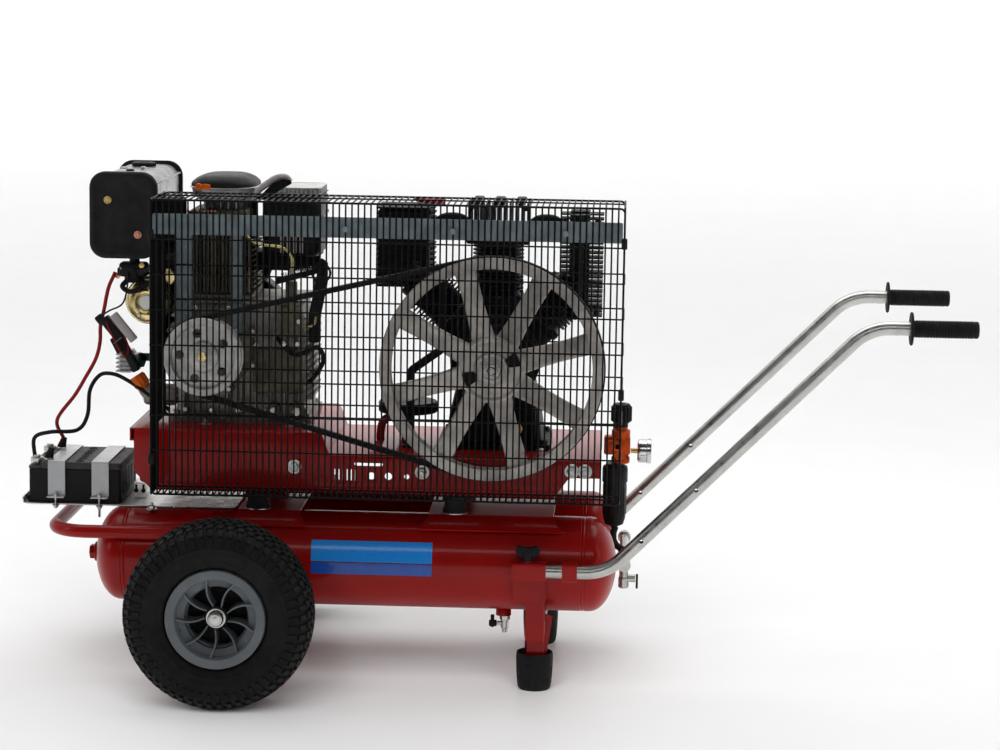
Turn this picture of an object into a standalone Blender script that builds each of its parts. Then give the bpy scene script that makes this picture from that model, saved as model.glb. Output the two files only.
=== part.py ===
"""Wheelbarrow air compressor: a diesel engine drives a three-cylinder pump by a V-belt inside a wire guard,
all on a folded frame with rubber mounts over twin air tanks, with two wheels, two feet and two handles.

+X runs from the battery tray to the handles, +Z is up and -Y is the belt side. The origin is on the ground,
under the middle of the whole machine. Stations along the machine are measured from the wheel axle.
"""

import math

import bmesh
import bpy
from mathutils import Matrix, Vector

# Driving dimensions, in metres
GAP = 0.0003  # clearance between neighbouring pieces
WHEEL_DIAMETER = 0.326
WHEEL_WIDTH = 0.122
WHEEL_Y = 0.352
AXLE_RADIUS = 0.010
HUB_HALF = 0.035
TANK_RADIUS = 0.0835
TANK_Y = 0.120
TANK_Z = 0.2145
TANK_ENDS = (-0.251, 0.671)
TANK_WALL = 0.003
TANK_DOME = 0.045
PORT_RADIUS = 0.007
FOOT_X = 0.5315
FOOT_Y = 0.170
FOOT_HEIGHT = 0.066
FRAME_WIDTH = 0.330
FRAME_BOTTOM = 0.339
ENGINE_DECK = 0.446
PUMP_DECK = 0.407
SHEET = 0.003
SADDLE_Z = 0.3045
BELT_Y = -0.186
BELT_WIDTH = 0.017
BELT_THICKNESS = 0.010
PUMP_X = 0.449
PUMP_Z = 0.568
PUMP_Y = 0.005
PUMP_GROOVE = 0.1855
PUMP_RIM = 0.195
PUMP_SHAFT = 0.016
HEAD_HALF = 0.056
PUMP_PAD = 0.108  # how far the cylinders stand from the crank axis
ENGINE_X = -0.052
ENGINE_Z = 0.579
ENGINE_GROOVE = 0.0590
ENGINE_RIM = 0.0685
ENGINE_SHAFT = 0.0125
ENGINE_TOP = 0.665
BELT_LIFT = 0.0013  # how far the belt rides above the bottom of both grooves
GUARD_X = (-0.137, 0.676)
GUARD_Y = (-0.250, -0.098)
GUARD_Z = (0.343, 0.858)
GUARD_WIRE = 0.005
HANDLE_Y = 0.2240
HANDLE_Z = 0.220
HANDLE_RADIUS = 0.012
GRIP_ENDS = (1.161, 1.277)
GRIP_Z = 0.659
SOCKETS = ((0.491, 0.550), (0.578, 0.604))
KNOB_X = 0.518
TRAY_END = -0.384
BATTERY_X = (-0.378, -0.209)
BATTERY_Y = (-0.120, 0.045)
BATTERY_Z = (0.3020, 0.3745)
STRAPS = (-0.324, -0.246)
FUEL_X = (-0.268, -0.148)
FUEL_Y = (-0.100, 0.200)
FUEL_Z = (0.736, 0.889)
REGULATOR_X = 0.6675
REGULATOR_Y = -0.020
# name, lean in degrees, reach, head stations, head heights
PUMP_CYLINDERS = (("left", -48, 0.205, (0.234, 0.337), (0.690, 0.838)),
                  ("centre", 0, 0.215, (0.392, 0.508), (0.770, 0.848)),
                  ("right", 48, 0.190, (0.559, 0.636), (0.640, 0.838)))
RECOIL_START = (0.010, 0.150, 0.690)  # where the recoil cord leaves its housing
RECOIL_WAY = (0.5, 0.0, 0.8660254)  # the way the cord is pulled
DECOMPRESSION_PIVOT = (-0.078, -0.0760, 0.864)
FILLER = (-0.208, 0.120)  # station and side of the fuel filler
GAUGE_PLACE = (0.7040, REGULATOR_Y, 0.402)
GAUGE_REST = math.radians(-45)  # the pointer at no pressure
DRAIN_PLACE = (0.476, -TANK_Y)

AXLE_Z = WHEEL_DIAMETER / 2
AXLE_X = -(TRAY_END + GRIP_ENDS[1]) / 2
SIDES = (("left", -1), ("right", 1))

# name: (colour, roughness, metallic)
FINISHES = {
    "red_paint": ((0.42, 0.006, 0.008), 0.25, 0.0),
    "tyre_rubber": ((0.018, 0.018, 0.018), 0.8, 0.0),
    "black_rubber": ((0.012, 0.012, 0.012), 0.6, 0.0),
    "rim_plastic": ((0.13, 0.145, 0.155), 0.5, 0.0),
    "zinc_steel": ((0.62, 0.62, 0.58), 0.3, 1.0),
    "black_plastic": ((0.015, 0.015, 0.016), 0.45, 0.0),
    "black_metal": ((0.012, 0.012, 0.012), 0.5, 0.3),
    "cast_black": ((0.014, 0.014, 0.014), 0.6, 0.2),
    "cast_aluminium": ((0.24, 0.23, 0.21), 0.5, 0.8),
    "wheel_casting": ((0.32, 0.30, 0.27), 0.45, 0.6),
    "bright_steel": ((0.55, 0.55, 0.55), 0.3, 1.0),
    "grey_steel": ((0.10, 0.13, 0.15), 0.45, 0.3),
    "tank_silver": ((0.62, 0.62, 0.62), 0.35, 0.7),
    "tray_aluminium": ((0.6, 0.6, 0.6), 0.4, 0.9),
    "zinc_yellow": ((0.50, 0.36, 0.12), 0.35, 0.9),
    "orange_plastic": ((0.75, 0.14, 0.02), 0.4, 0.0),
    "regulator_orange": ((0.60, 0.06, 0.01), 0.4, 0.2),
    "chrome": ((0.75, 0.75, 0.74), 0.15, 1.0),
}


def clear_scene():
    for obj in list(bpy.data.objects):
        bpy.data.objects.remove(obj)


def new_collection(name):
    collection = bpy.data.collections.new(name)
    bpy.context.scene.collection.children.link(collection)
    return collection


def make_material(name):
    colour, roughness, metallic = FINISHES[name]
    material = bpy.data.materials.new(name)
    material.use_nodes = True
    shader = material.node_tree.nodes["Principled BSDF"]
    shader.inputs["Base Color"].default_value = (*colour, 1)
    shader.inputs["Roughness"].default_value = roughness
    shader.inputs["Metallic"].default_value = metallic
    return material


clear_scene()
PARTS = new_collection("wheelbarrow_air_compressor")
CUTTERS = new_collection("cutters")
MATERIALS = {name: make_material(name) for name in FINISHES}


def at(x, y, z):
    """A point given by its station from the wheel axle, its side and its height above the ground."""
    return Vector((AXLE_X + x, y, z))


def along(axis):
    """The rotation that turns +Z to the axis."""
    return Vector(axis).to_track_quat("Z", "Y").to_matrix().to_4x4()


def add_object(name, data, finish=None):
    obj = bpy.data.objects.new(name, data)
    if finish:
        data.materials.append(MATERIALS[finish])
        PARTS.objects.link(obj)
    else:
        obj.hide_render = True
        obj.display_type = "WIRE"
        CUTTERS.objects.link(obj)
    return obj


def shade(obj, sharp_degrees=35):
    obj.data.shade_smooth()
    obj.data.set_sharp_from_angle(angle=math.radians(sharp_degrees))
    return obj


def round_edges(obj, width, segments=1):
    bevel = obj.modifiers.new("rounded_edges", "BEVEL")
    bevel.width = width
    bevel.segments = segments
    bevel.limit_method = "ANGLE"
    return obj


def box(name, x, y, z, finish=None, rounding=0.0):
    """A block between pairs of stations, sides and heights; its origin is its centre."""
    low = at(x[0], y[0], z[0])
    high = at(x[1], y[1], z[1])
    mesh = bpy.data.meshes.new(name)
    shape = bmesh.new()
    bmesh.ops.create_cube(shape, size=1.0)
    bmesh.ops.scale(shape, vec=high - low, verts=shape.verts)
    shape.to_mesh(mesh)
    shape.free()
    obj = add_object(name, mesh, finish)
    obj.location = (low + high) / 2
    return round_edges(obj, rounding) if rounding else obj


def rod(name, start, end, radius, finish=None, segments=16):
    """A straight round bar from one point to another; its origin is its middle."""
    mesh = bpy.data.meshes.new(name)
    shape = bmesh.new()
    bmesh.ops.create_cone(shape, cap_ends=True, segments=segments, radius1=radius, radius2=radius,
                          depth=(end - start).length)
    shape.to_mesh(mesh)
    shape.free()
    obj = add_object(name, mesh, finish)
    obj.matrix_world = Matrix.Translation((start + end) / 2) @ along(end - start)
    return shade(obj) if finish else obj


def turned(name, profile, origin, axis, segments, finish=None):
    """A turned piece. The profile holds (radius, distance along the axis), as a loop or from axis to axis."""
    ends_on_axis = profile[0][0] == 0
    points = list(profile)
    doubled_area = sum(a[0] * b[1] - b[0] * a[1] for a, b in zip(points, points[1:] + points[:1]))
    if doubled_area > 0:
        points.reverse()
    mesh = bpy.data.meshes.new(name)
    edges = [(i, i + 1) for i in range(len(points) - 1)]
    if not ends_on_axis:
        edges.append((len(points) - 1, 0))
    mesh.from_pydata([(radius, 0, height) for radius, height in points], edges, [])
    obj = add_object(name, mesh, finish)
    obj.matrix_world = Matrix.Translation(origin) @ along(axis)
    screw = obj.modifiers.new("turned", "SCREW")
    screw.steps = segments
    screw.render_steps = segments
    screw.use_merge_vertices = True
    screw.merge_threshold = 0.00001
    screw.use_smooth_shade = True
    return obj


def as_mesh(obj):
    """Replaces a curve, or a mesh with modifiers, by the plain mesh it shows."""
    bpy.context.view_layer.update()
    graph = bpy.context.evaluated_depsgraph_get()
    mesh = bpy.data.meshes.new_from_object(obj.evaluated_get(graph))
    shape = bmesh.new()
    shape.from_mesh(mesh)
    bmesh.ops.remove_doubles(shape, verts=shape.verts, dist=0.00001)
    shape.to_mesh(mesh)
    shape.free()
    name = obj.name
    plain = bpy.data.objects.new(name + "_mesh", mesh)
    plain.matrix_world = obj.matrix_world
    for collection in obj.users_collection:
        collection.objects.link(plain)
    plain.hide_render = obj.hide_render
    plain.display_type = obj.display_type
    bpy.data.objects.remove(obj)
    plain.name = name
    return plain


def combine(obj, others, operation):
    for other in others:
        boolean = obj.modifiers.new(operation.lower(), "BOOLEAN")
        boolean.operation = operation
        boolean.solver = "EXACT"
        boolean.object = other
    return obj


def cut(obj, *cutters):
    return combine(obj, cutters, "DIFFERENCE")


def join(obj, *pieces):
    return combine(obj, pieces, "UNION")


def turned_solid(*arguments, **options):
    return as_mesh(turned(*arguments, **options))


def rounded_path(corners, radius, steps=4):
    """The corner points joined by straight runs, with an arc of the radius at each inner corner."""
    path = [corners[0]]
    for before, corner, after in zip(corners, corners[1:], corners[2:]):
        towards_start = (before - corner).normalized()
        towards_end = (after - corner).normalized()
        half_angle = towards_start.angle(towards_end) / 2
        centre_way = (towards_start + towards_end).normalized()
        centre = corner + centre_way * (radius / math.sin(half_angle))
        first = corner + towards_start * (radius / math.tan(half_angle)) - centre
        last = corner + towards_end * (radius / math.tan(half_angle)) - centre
        turn = first.angle(last) / steps
        hinge = first.cross(last)
        path += [centre + Matrix.Rotation(turn * step, 3, hinge) @ first for step in range(steps + 1)]
    return path + [corners[-1]]


def tube(name, path, radius, finish, roundness=1, wall=0.0):
    """A bent tube along a path: solid with flat ends, or hollow with open ends when it has a wall."""
    curve = bpy.data.curves.new(name, "CURVE")
    curve.dimensions = "3D"
    curve.bevel_depth = radius
    curve.bevel_resolution = roundness
    curve.use_fill_caps = not wall
    spline = curve.splines.new("POLY")
    spline.points.add(len(path) - 1)
    for point, place in zip(spline.points, path):
        point.co = (*place, 1)
    obj = add_object(name, curve, finish)
    if wall:
        solidify = obj.modifiers.new("tube_wall", "SOLIDIFY")
        solidify.thickness = wall
        solidify.offset = -1
    return obj


def plate(name, outlines, thickness, origin, normal_y=True, finish=None):
    """A flat piece of constant thickness from closed outlines; the outlines after the first are holes."""
    curve = bpy.data.curves.new(name, "CURVE")
    curve.dimensions = "2D"
    curve.fill_mode = "BOTH"
    curve.extrude = thickness / 2
    for outline in outlines:
        spline = curve.splines.new("POLY")
        spline.points.add(len(outline) - 1)
        spline.use_cyclic_u = True
        for point, place in zip(spline.points, outline):
            point.co = (*place, 0, 1)
    obj = add_object(name, curve, finish)
    obj.location = origin
    if normal_y:
        obj.rotation_euler = (math.radians(90), 0, 0)
    return obj


# ---------------------------------------------------------------- air tanks and the steelwork welded to them


def make_tanks():
    start, end = TANK_ENDS
    inner = TANK_RADIUS - TANK_WALL

    def dome(centre, direction, radius, depth, first_degrees, steps):
        angles = [math.radians(first_degrees + (90 - first_degrees) * step / steps)
                  for step in range(steps + 1)]
        return [(radius * math.sin(a), centre + direction * depth * math.cos(a)) for a in angles]

    outside_start = dome(start + TANK_DOME, -1, TANK_RADIUS, TANK_DOME, 10, 4)
    outside_end = dome(end - TANK_DOME, 1, TANK_RADIUS, TANK_DOME, 5, 4)[::-1]
    inside_end = dome(end - TANK_DOME, 1, inner, TANK_DOME - TANK_WALL, 8, 3)
    inside_start = dome(start + TANK_DOME, -1, inner, TANK_DOME - TANK_WALL, 0, 3)[::-1]
    boss = [(0.0, start - 0.014), (0.014, start - 0.014)]
    port = [(PORT_RADIUS, end), (PORT_RADIUS, end - TANK_WALL)]
    profile = boss + outside_start + outside_end + port + inside_end + inside_start
    for side, sign in SIDES:
        turned(f"{side}_tank", profile, at(0, sign * TANK_Y, TANK_Z), (1, 0, 0), 20, "red_paint")


def make_axle_cradle():
    """The cross beam under the tanks, the web between them, the rear saddle on top and both stub axles."""
    beam = box("axle_cradle", (-0.030, 0.030), (-0.236, 0.236), (0.092, 0.1295), "red_paint")
    web = box("cradle_web", (0.000, 0.028), (-0.004, 0.004), (0.120, SADDLE_Z - 0.002))
    saddle = box("cradle_saddle", (0.004, 0.115), (-0.160, 0.160), (0.300, SADDLE_Z))
    pieces = [web, saddle]
    for side, sign in SIDES:
        across = sorted((sign * 0.222, sign * 0.234))
        pieces.append(box(f"{side}_axle_plate", (-0.026, 0.026), across, (0.100, 0.205)))
        hub_inner = sign * (WHEEL_Y - HUB_HALF - 0.0015)
        hub_outer = sign * (WHEEL_Y + HUB_HALF + 0.0015)
        stub_end = hub_outer + sign * 0.013
        nut_end = hub_outer + sign * 0.010
        pieces.append(rod(f"{side}_stub", at(0, sign * 0.228, AXLE_Z), at(0, stub_end, AXLE_Z), AXLE_RADIUS))
        pieces.append(rod(f"{side}_collar", at(0, sign * 0.230, AXLE_Z), at(0, hub_inner, AXLE_Z), 0.015))
        pieces.append(rod(f"{side}_nut", at(0, hub_outer, AXLE_Z), at(0, nut_end, AXLE_Z), 0.0145,
                          segments=6))
    join(beam, *pieces)


def make_leg_cradle():
    """The cross bar with both legs, the web and front saddle, and the side plates with the handle sockets."""
    bar = box("leg_cradle", (0.514, 0.549), (-0.206, 0.206), (0.100, 0.1300), "red_paint")
    web = box("leg_web", (0.516, 0.547), (-0.004, 0.004), (0.120, SADDLE_Z - 0.002))
    saddle = box("leg_saddle", (0.340, 0.560), (-0.160, 0.160), (0.300, SADDLE_Z))
    pieces = [web, saddle]
    bores = []
    outer = HANDLE_RADIUS + 0.0035
    for side, sign in SIDES:
        leg_across = sorted((sign * (FOOT_Y - 0.018), sign * (FOOT_Y + 0.018)))
        plate_across = sorted((sign * 0.2040, sign * 0.2090))
        handle_across = (sign * HANDLE_Y - outer, sign * HANDLE_Y + outer)
        pieces.append(box(f"{side}_leg", (0.5142, 0.5488), leg_across, (0.0125, 0.128)))
        pieces.append(box(f"{side}_side_plate", (SOCKETS[0][0] + 0.0005, SOCKETS[0][1] - 0.0005),
                          plate_across, (0.150, HANDLE_Z + outer - 0.001)))
        pieces.append(box(f"{side}_leg_plate", (0.5145, 0.5485), plate_across, (0.102, 0.160)))
        pieces.append(box(f"{side}_link", (0.540, SOCKETS[1][1] - 0.001), plate_across,
                          (HANDLE_Z - 0.008, HANDLE_Z + 0.008)))
        for number, ends in enumerate(SOCKETS):
            pieces.append(box(f"{side}_socket_{number}", ends, handle_across,
                              (HANDLE_Z - outer, HANDLE_Z + outer)))
        bores.append(rod(f"{side}_bore", at(0.45, sign * HANDLE_Y, HANDLE_Z),
                         at(0.65, sign * HANDLE_Y, HANDLE_Z), HANDLE_RADIUS + GAP, segments=12))
        bores.append(rod(f"{side}_stud_hole", at(KNOB_X, sign * HANDLE_Y, HANDLE_Z),
                         at(KNOB_X, sign * HANDLE_Y, HANDLE_Z + 0.03), 0.0043, segments=8))
    join(bar, *pieces)
    cut(bar, *bores)


def make_feet():
    profile = [(0.0, 0.0), (0.0275, 0.0), (0.0305, 0.010), (0.0325, FOOT_HEIGHT), (0.0290, FOOT_HEIGHT),
               (0.0290, 0.012), (0.0, 0.012)]
    for side, sign in SIDES:
        turned(f"{side}_foot", profile, at(FOOT_X, sign * FOOT_Y, 0), (0, 0, 1), 20, "black_rubber")


def make_bumper():
    start = -0.060
    nose = -0.3185
    corners = [at(start, -0.2005, 0.2675), at(nose, -0.2005, 0.2675), at(nose, 0.2005, 0.2675),
               at(start, 0.2005, 0.2675)]
    tube("bumper_tube", rounded_path(corners, 0.062), 0.0135, "red_paint", wall=0.002)


# ---------------------------------------------------------------- wheels


def make_wheels():
    half = WHEEL_WIDTH / 2
    outside = [(0.0867, 0.043), (0.104, 0.0575), (0.130, half), (0.153, 0.052), (AXLE_Z, 0.032)]
    inside = [(0.1540, 0.030), (0.130, 0.051), (0.104, 0.0475), (0.0867, 0.033)]
    tyre = [(r, -s) for r, s in outside] + outside[::-1] + inside[::-1] + [(r, -s) for r, s in inside]
    rim = [(0.0855, -0.052), (0.0855, 0.052), (0.0800, 0.052), (0.0800, 0.005), (0.030, 0.005),
           (0.030, HUB_HALF),
           (AXLE_RADIUS + GAP, HUB_HALF), (AXLE_RADIUS + GAP, -HUB_HALF), (0.030, -HUB_HALF), (0.030, -0.005),
           (0.0800, -0.005), (0.0800, -0.052)]
    for side, sign in SIDES:
        centre = at(0, sign * WHEEL_Y, AXLE_Z)
        turned(f"{side}_tyre", tyre, centre, (0, sign, 0), 24, "tyre_rubber")
        turned(f"{side}_rim", rim, centre, (0, sign, 0), 20, "rim_plastic")


# ---------------------------------------------------------------- handles


def make_handles():
    rise = math.tan(math.radians(45.0))
    lower_corner = 0.6545
    upper_corner = lower_corner + (GRIP_Z - HANDLE_Z) / rise
    tube_end = GRIP_ENDS[1] - 0.006
    bore = HANDLE_RADIUS + GAP
    grip = [(0.0, GRIP_ENDS[1]), (0.0135, GRIP_ENDS[1]), (0.0152, GRIP_ENDS[1] - 0.004),
            (0.0152, GRIP_ENDS[0] + 0.007), (0.0285, GRIP_ENDS[0] + 0.005), (0.0285, GRIP_ENDS[0]),
            (bore, GRIP_ENDS[0]), (bore, GRIP_ENDS[1] - 0.0045), (0.0, GRIP_ENDS[1] - 0.0045)]
    for side, sign in SIDES:
        across = sign * HANDLE_Y
        corners = [at(0.480, across, HANDLE_Z), at(lower_corner, across, HANDLE_Z),
                   at(upper_corner, across, GRIP_Z), at(tube_end, across, GRIP_Z)]
        tube(f"{side}_handle_tube", rounded_path(corners, 0.090), HANDLE_RADIUS, "zinc_steel", wall=0.002)
        turned(f"{side}_grip", grip, at(0, across, GRIP_Z), (1, 0, 0), 20, "black_rubber")
        make_clamp_knob(side, at(KNOB_X, across, 0))


def make_clamp_knob(side, foot):
    """A wing knob on a short stud that presses on the handle tube; its origin is on the stud's axis."""
    up = Vector((0, 0, 1))
    knob = rod(f"{side}_clamp_knob", foot + up * 0.2385, foot + up * 0.262, 0.010, "black_plastic", 12)
    stud = rod(f"{side}_stud_rod", foot + up * 0.2328, foot + up * 0.240, 0.0036, segments=8)
    wings = box(f"{side}_wings", (KNOB_X - 0.021, KNOB_X + 0.021), (foot.y - 0.005, foot.y + 0.005),
                (0.248, 0.267))
    join(knob, stud, wings)


# ---------------------------------------------------------------- frame, rubber mounts, tray and battery


def make_base_frame():
    """A folded channel with inward bottom lips, deep under the engine and shallow under the pump."""
    half = FRAME_WIDTH / 2
    lip = half - 0.045
    stations = [(-0.186, 0.366, ENGINE_DECK), (-0.150, FRAME_BOTTOM, ENGINE_DECK),
                (0.150, FRAME_BOTTOM, ENGINE_DECK),
                (0.168, FRAME_BOTTOM, PUMP_DECK), (0.560, FRAME_BOTTOM, PUMP_DECK), (0.585, 0.375, PUMP_DECK),
                (0.640, 0.375, PUMP_DECK)]
    shape = bmesh.new()
    rows = []
    for x, bottom, top in stations:
        section = [(-lip, bottom), (-half, bottom), (-half, top), (half, top), (half, bottom), (lip, bottom)]
        rows.append([shape.verts.new(at(x, y, z)) for y, z in section])
    for row, following in zip(rows, rows[1:]):
        for i in range(len(row) - 1):
            shape.faces.new((row[i + 1], row[i], following[i], following[i + 1]))
    mesh = bpy.data.meshes.new("base_frame")
    shape.to_mesh(mesh)
    shape.free()
    frame = add_object("base_frame", mesh, "red_paint")
    solidify = frame.modifiers.new("sheet", "SOLIDIFY")
    solidify.thickness = SHEET
    solidify.offset = -1
    solidify.use_even_offset = True


def make_dampers():
    bottom = SADDLE_Z + GAP
    top = FRAME_BOTTOM - GAP
    middle = (bottom + top) / 2
    profile = [(0.0, bottom), (0.022, bottom), (0.022, bottom + 0.006), (0.018, middle), (0.022, top - 0.006),
               (0.022, top), (0.0, top)]
    for end, x in (("rear", 0.038), ("front", 0.386)):
        for side, sign in SIDES:
            turned(f"damper_{end}_{side}", profile, at(x, sign * 0.138, 0), (0, 0, 1), 14, "black_rubber")


def make_battery_tray():
    """A thin tray over the tanks, with an upturned outer edge."""
    low = 0.2988
    tray = box("battery_tray", (TRAY_END, -0.003), (-0.128, 0.128), (low, low + 0.0025), "tray_aluminium")
    edge = box("tray_edge", (TRAY_END, TRAY_END + 0.0025), (-0.1275, 0.1275), (low + 0.0005, low + 0.014))
    join(tray, edge)


def make_battery():
    box("battery", BATTERY_X, BATTERY_Y, BATTERY_Z, "black_plastic", 0.004)
    thickness = 0.0018
    for number, x in enumerate(STRAPS, 1):
        ends = (x - 0.0155, x + 0.0155)
        top = (BATTERY_Z[1] + GAP, BATTERY_Z[1] + GAP + thickness)
        across = (BATTERY_Y[0] - GAP - thickness, BATTERY_Y[1] + GAP + thickness)
        strap = box(f"battery_strap_{number}", ends, across, top, "tray_aluminium")
        foot = 0.3125
        drops = [box(f"strap_{number}_drop_{i}", ends, sorted((y, y + way * thickness)), (foot, top[1]))
                 for i, (y, way) in enumerate(((across[0], 1), (across[1], -1)))]
        feet = [box(f"strap_{number}_foot_{i}", ends, sorted((y, y + way * 0.012)), (foot, foot + thickness))
                for i, (y, way) in enumerate(((across[0] + thickness, -1), (across[1] - thickness, 1)))]
        join(strap, *drops, *feet)


# ---------------------------------------------------------------- diesel engine


def make_engine():
    crank = at(ENGINE_X, 0, ENGINE_Z)
    y_way = Vector((0, 1, 0))
    block = box("engine_block", (-0.130, 0.125), (-0.085, 0.112), (ENGINE_DECK + GAP, ENGINE_TOP),
                "cast_aluminium")
    cover = rod("engine_front_cover", crank + y_way * -0.095, crank + y_way * -0.080, 0.070, segments=20)
    cavity = rod("engine_cavity", crank + y_way * -0.065, crank + y_way * 0.075, 0.056)
    bore = rod("engine_bore", crank + y_way * -0.150, crank + y_way * 0.150, ENGINE_SHAFT + 0.0005)
    join(block, cover)
    cut(block, cavity, bore)

    shaft = rod("engine_crankshaft", crank + y_way * -0.2060, crank + y_way * 0.140, ENGINE_SHAFT,
                "bright_steel")
    throw = crank + Vector((0, 0, -0.024))
    webs = [rod(f"engine_web_{i}", throw + y_way * y, throw + y_way * (y + 0.018), 0.027, segments=14)
            for i, y in enumerate((-0.030, 0.012))]
    join(shaft, *webs)

    cylinder = box("engine_cylinder", (-0.108, 0.018), (-0.072, 0.085), (ENGINE_TOP + GAP, 0.800),
                   "cast_aluminium", 0.006)
    head = box("engine_head", (-0.098, 0.008), (-0.062, 0.075), (0.790, 0.822))
    join(cylinder, head)
    box("air_cleaner", (-0.100, 0.018), (-0.070, 0.095), (0.822 + GAP, 0.881), "black_plastic", 0.012)
    muffler = box("muffler", (0.0300, 0.142), (-0.060, 0.092), (0.742, 0.864), "black_metal", 0.012)
    inside = box("muffler_inside", (0.0320, 0.140), (-0.058, 0.090), (0.744, 0.862))
    outlet = rod("muffler_outlet", at(0.130, 0.050, 0.800), at(0.150, 0.050, 0.800), 0.014, segments=12)
    cut(muffler, round_edges(inside, 0.0115), outlet)
    profile = [(0.0, -0.060), (0.030, -0.060), (0.040, -0.052), (0.040, 0.100), (0.032, 0.108), (0.0, 0.108)]
    turned("starter_motor", profile, at(-0.174, 0, 0.655), (0, 1, 0), 20, "zinc_yellow")
    make_recoil_starter()
    make_decompression_lever()


def make_recoil_starter():
    """The fan housing on the engine's far side and the pull grip in its guide."""
    crank = at(ENGINE_X, 0, ENGINE_Z)
    outer = [(0.122, 0.1125), (0.122, 0.170), (0.105, 0.188), (0.050, 0.200), (0.0, 0.200)]
    inner = [(0.0, 0.197), (0.049, 0.197), (0.1035, 0.1855), (0.119, 0.1685), (0.119, 0.1125)]
    turned("recoil_housing", inner + outer, crank, (0, 1, 0), 24, "black_metal")
    way = Vector(RECOIL_WAY)
    start = at(*RECOIL_START)
    grip = rod("recoil_grip", start + way * 0.012, start + way * 0.024, 0.0075, "black_plastic", 10)
    bar = rod("recoil_bar", start + way * 0.022 + Vector((0, -0.024, 0)),
              start + way * 0.022 + Vector((0, 0.024, 0)), 0.0075, segments=10)
    join(grip, bar)


def make_decompression_lever():
    """An orange lever beside the top of the cylinder head; its origin is on its pivot."""
    x, y, z = DECOMPRESSION_PIVOT
    hub = rod("decompression_lever", at(x, y - 0.004, z), at(x, y + 0.004, z), 0.006, "orange_plastic", 12)
    arm = box("decompression_arm", (x, x + 0.021), (y - 0.003, y + 0.003), (z - 0.004, z + 0.004))
    join(hub, arm)


def make_fuel_tank():
    """A hollow tank between two black end covers, with a filler neck under its cap."""
    edge = 0.006
    x = (FUEL_X[0] + edge, FUEL_X[1] - edge)
    z = (FUEL_Z[0] + edge, FUEL_Z[1] - edge)
    y = (FUEL_Y[0] + 0.0145, FUEL_Y[1] - 0.0145)
    wall = 0.0015
    body = box("fuel_tank", x, y, z, "tank_silver", 0.028)
    hollow = box("fuel_hollow", (x[0] + wall, x[1] - wall), (y[0] + wall, y[1] - wall),
                 (z[0] + wall, z[1] - wall), rounding=0.027)
    filler_x, filler_y = FILLER
    neck = rod("filler_hole", at(filler_x, filler_y, z[1] - 0.01), at(filler_x, filler_y, z[1] + 0.01), 0.016)
    cut(body, as_mesh(hollow), neck)
    for side, ends in (("left", (FUEL_Y[0], y[0] - GAP)), ("right", (y[1] + GAP, FUEL_Y[1]))):
        box(f"fuel_tank_cover_{side}", FUEL_X, ends, FUEL_Z, "black_metal", 0.0065)
    cap = [(0.0, z[1] + 0.008), (0.018, z[1] + 0.008), (0.022, z[1] + 0.006), (0.022, z[1] + GAP),
           (0.0145, z[1] + GAP), (0.0145, z[1] - 0.010), (0.0, z[1] - 0.010)]
    turned("fuel_cap", cap, at(filler_x, filler_y, 0), (0, 0, 1), 20, "black_plastic")


# ---------------------------------------------------------------- pump


def make_pump():
    """A W-shaped pump: crankcase with a hollow for the crank, and three cylinders on flat pads."""
    crank = at(PUMP_X, 0, PUMP_Z)
    y_way = Vector((0, 1, 0))
    half = 0.090
    ends = (PUMP_Y - half, PUMP_Y + half)
    case = rod("pump_crankcase", crank + y_way * ends[0], crank + y_way * ends[1], 0.080, "cast_black", 24)
    sump = box("pump_sump", (PUMP_X - 0.100, PUMP_X + 0.100), (ends[0] + 0.006, ends[1] - 0.006),
               (PUMP_DECK + GAP, 0.500))
    cavity = rod("pump_cavity", crank + y_way * (ends[0] + 0.014), crank + y_way * (ends[1] - 0.014), 0.062)
    bore = rod("pump_bore", crank + y_way * (ends[0] - 0.05), crank + y_way * (ends[0] + 0.05),
               PUMP_SHAFT + 0.0005)
    pads = []
    for name, degrees, reach, head_x, head_z in PUMP_CYLINDERS:
        way = Vector((math.sin(math.radians(degrees)), 0, math.cos(math.radians(degrees))))
        pads.append(aligned_block(f"pad_{name}", crank + y_way * PUMP_Y, way, (0.050, PUMP_PAD),
                                  (0.092, 0.110)))
        make_pump_cylinder(name, crank + y_way * PUMP_Y, way, reach, head_x, head_z)
    join(case, sump, *pads)
    cut(case, cavity, bore)

    shaft = rod("pump_crankshaft", crank + y_way * -0.2150, crank + y_way * 0.070, PUMP_SHAFT, "bright_steel",
                24)
    throw = crank + Vector((0, 0, -0.024))
    web = rod("pump_web", throw + y_way * -0.045, throw + y_way * 0.055, 0.030, segments=16)
    join(shaft, web)
    make_intake_filter()
    head_face = PUMP_Y - HEAD_HALF - GAP
    lane = head_face - 0.020
    corners = [at(0.305, head_face, 0.728), at(0.305, lane, 0.728), at(0.355, lane, 0.700),
               at(0.355, lane, 0.585), at(0.300, lane, 0.545), at(0.300, lane, PUMP_DECK + 0.0006)]
    tube("delivery_pipe", rounded_path(corners, 0.012, 3), 0.0075, "cast_black")


# name, lean in degrees, reach of the barrel from the crank axis, stations and heights of the head


def aligned_block(name, origin, way, span, size, finish=None, rounding=0.0):
    """A block along a direction in the XZ plane: its reach from the origin, then its width and Y length."""
    mesh = bpy.data.meshes.new(name)
    shape = bmesh.new()
    bmesh.ops.create_cube(shape, size=1.0)
    bmesh.ops.scale(shape, vec=(size[0], size[1], span[1] - span[0]), verts=shape.verts)
    shape.to_mesh(mesh)
    shape.free()
    obj = add_object(name, mesh, finish)
    turn = Matrix.Rotation(math.atan2(way.x, way.z), 4, "Y")
    obj.matrix_world = Matrix.Translation(origin + way * (sum(span) / 2)) @ turn
    return round_edges(obj, rounding) if rounding else obj


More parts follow.
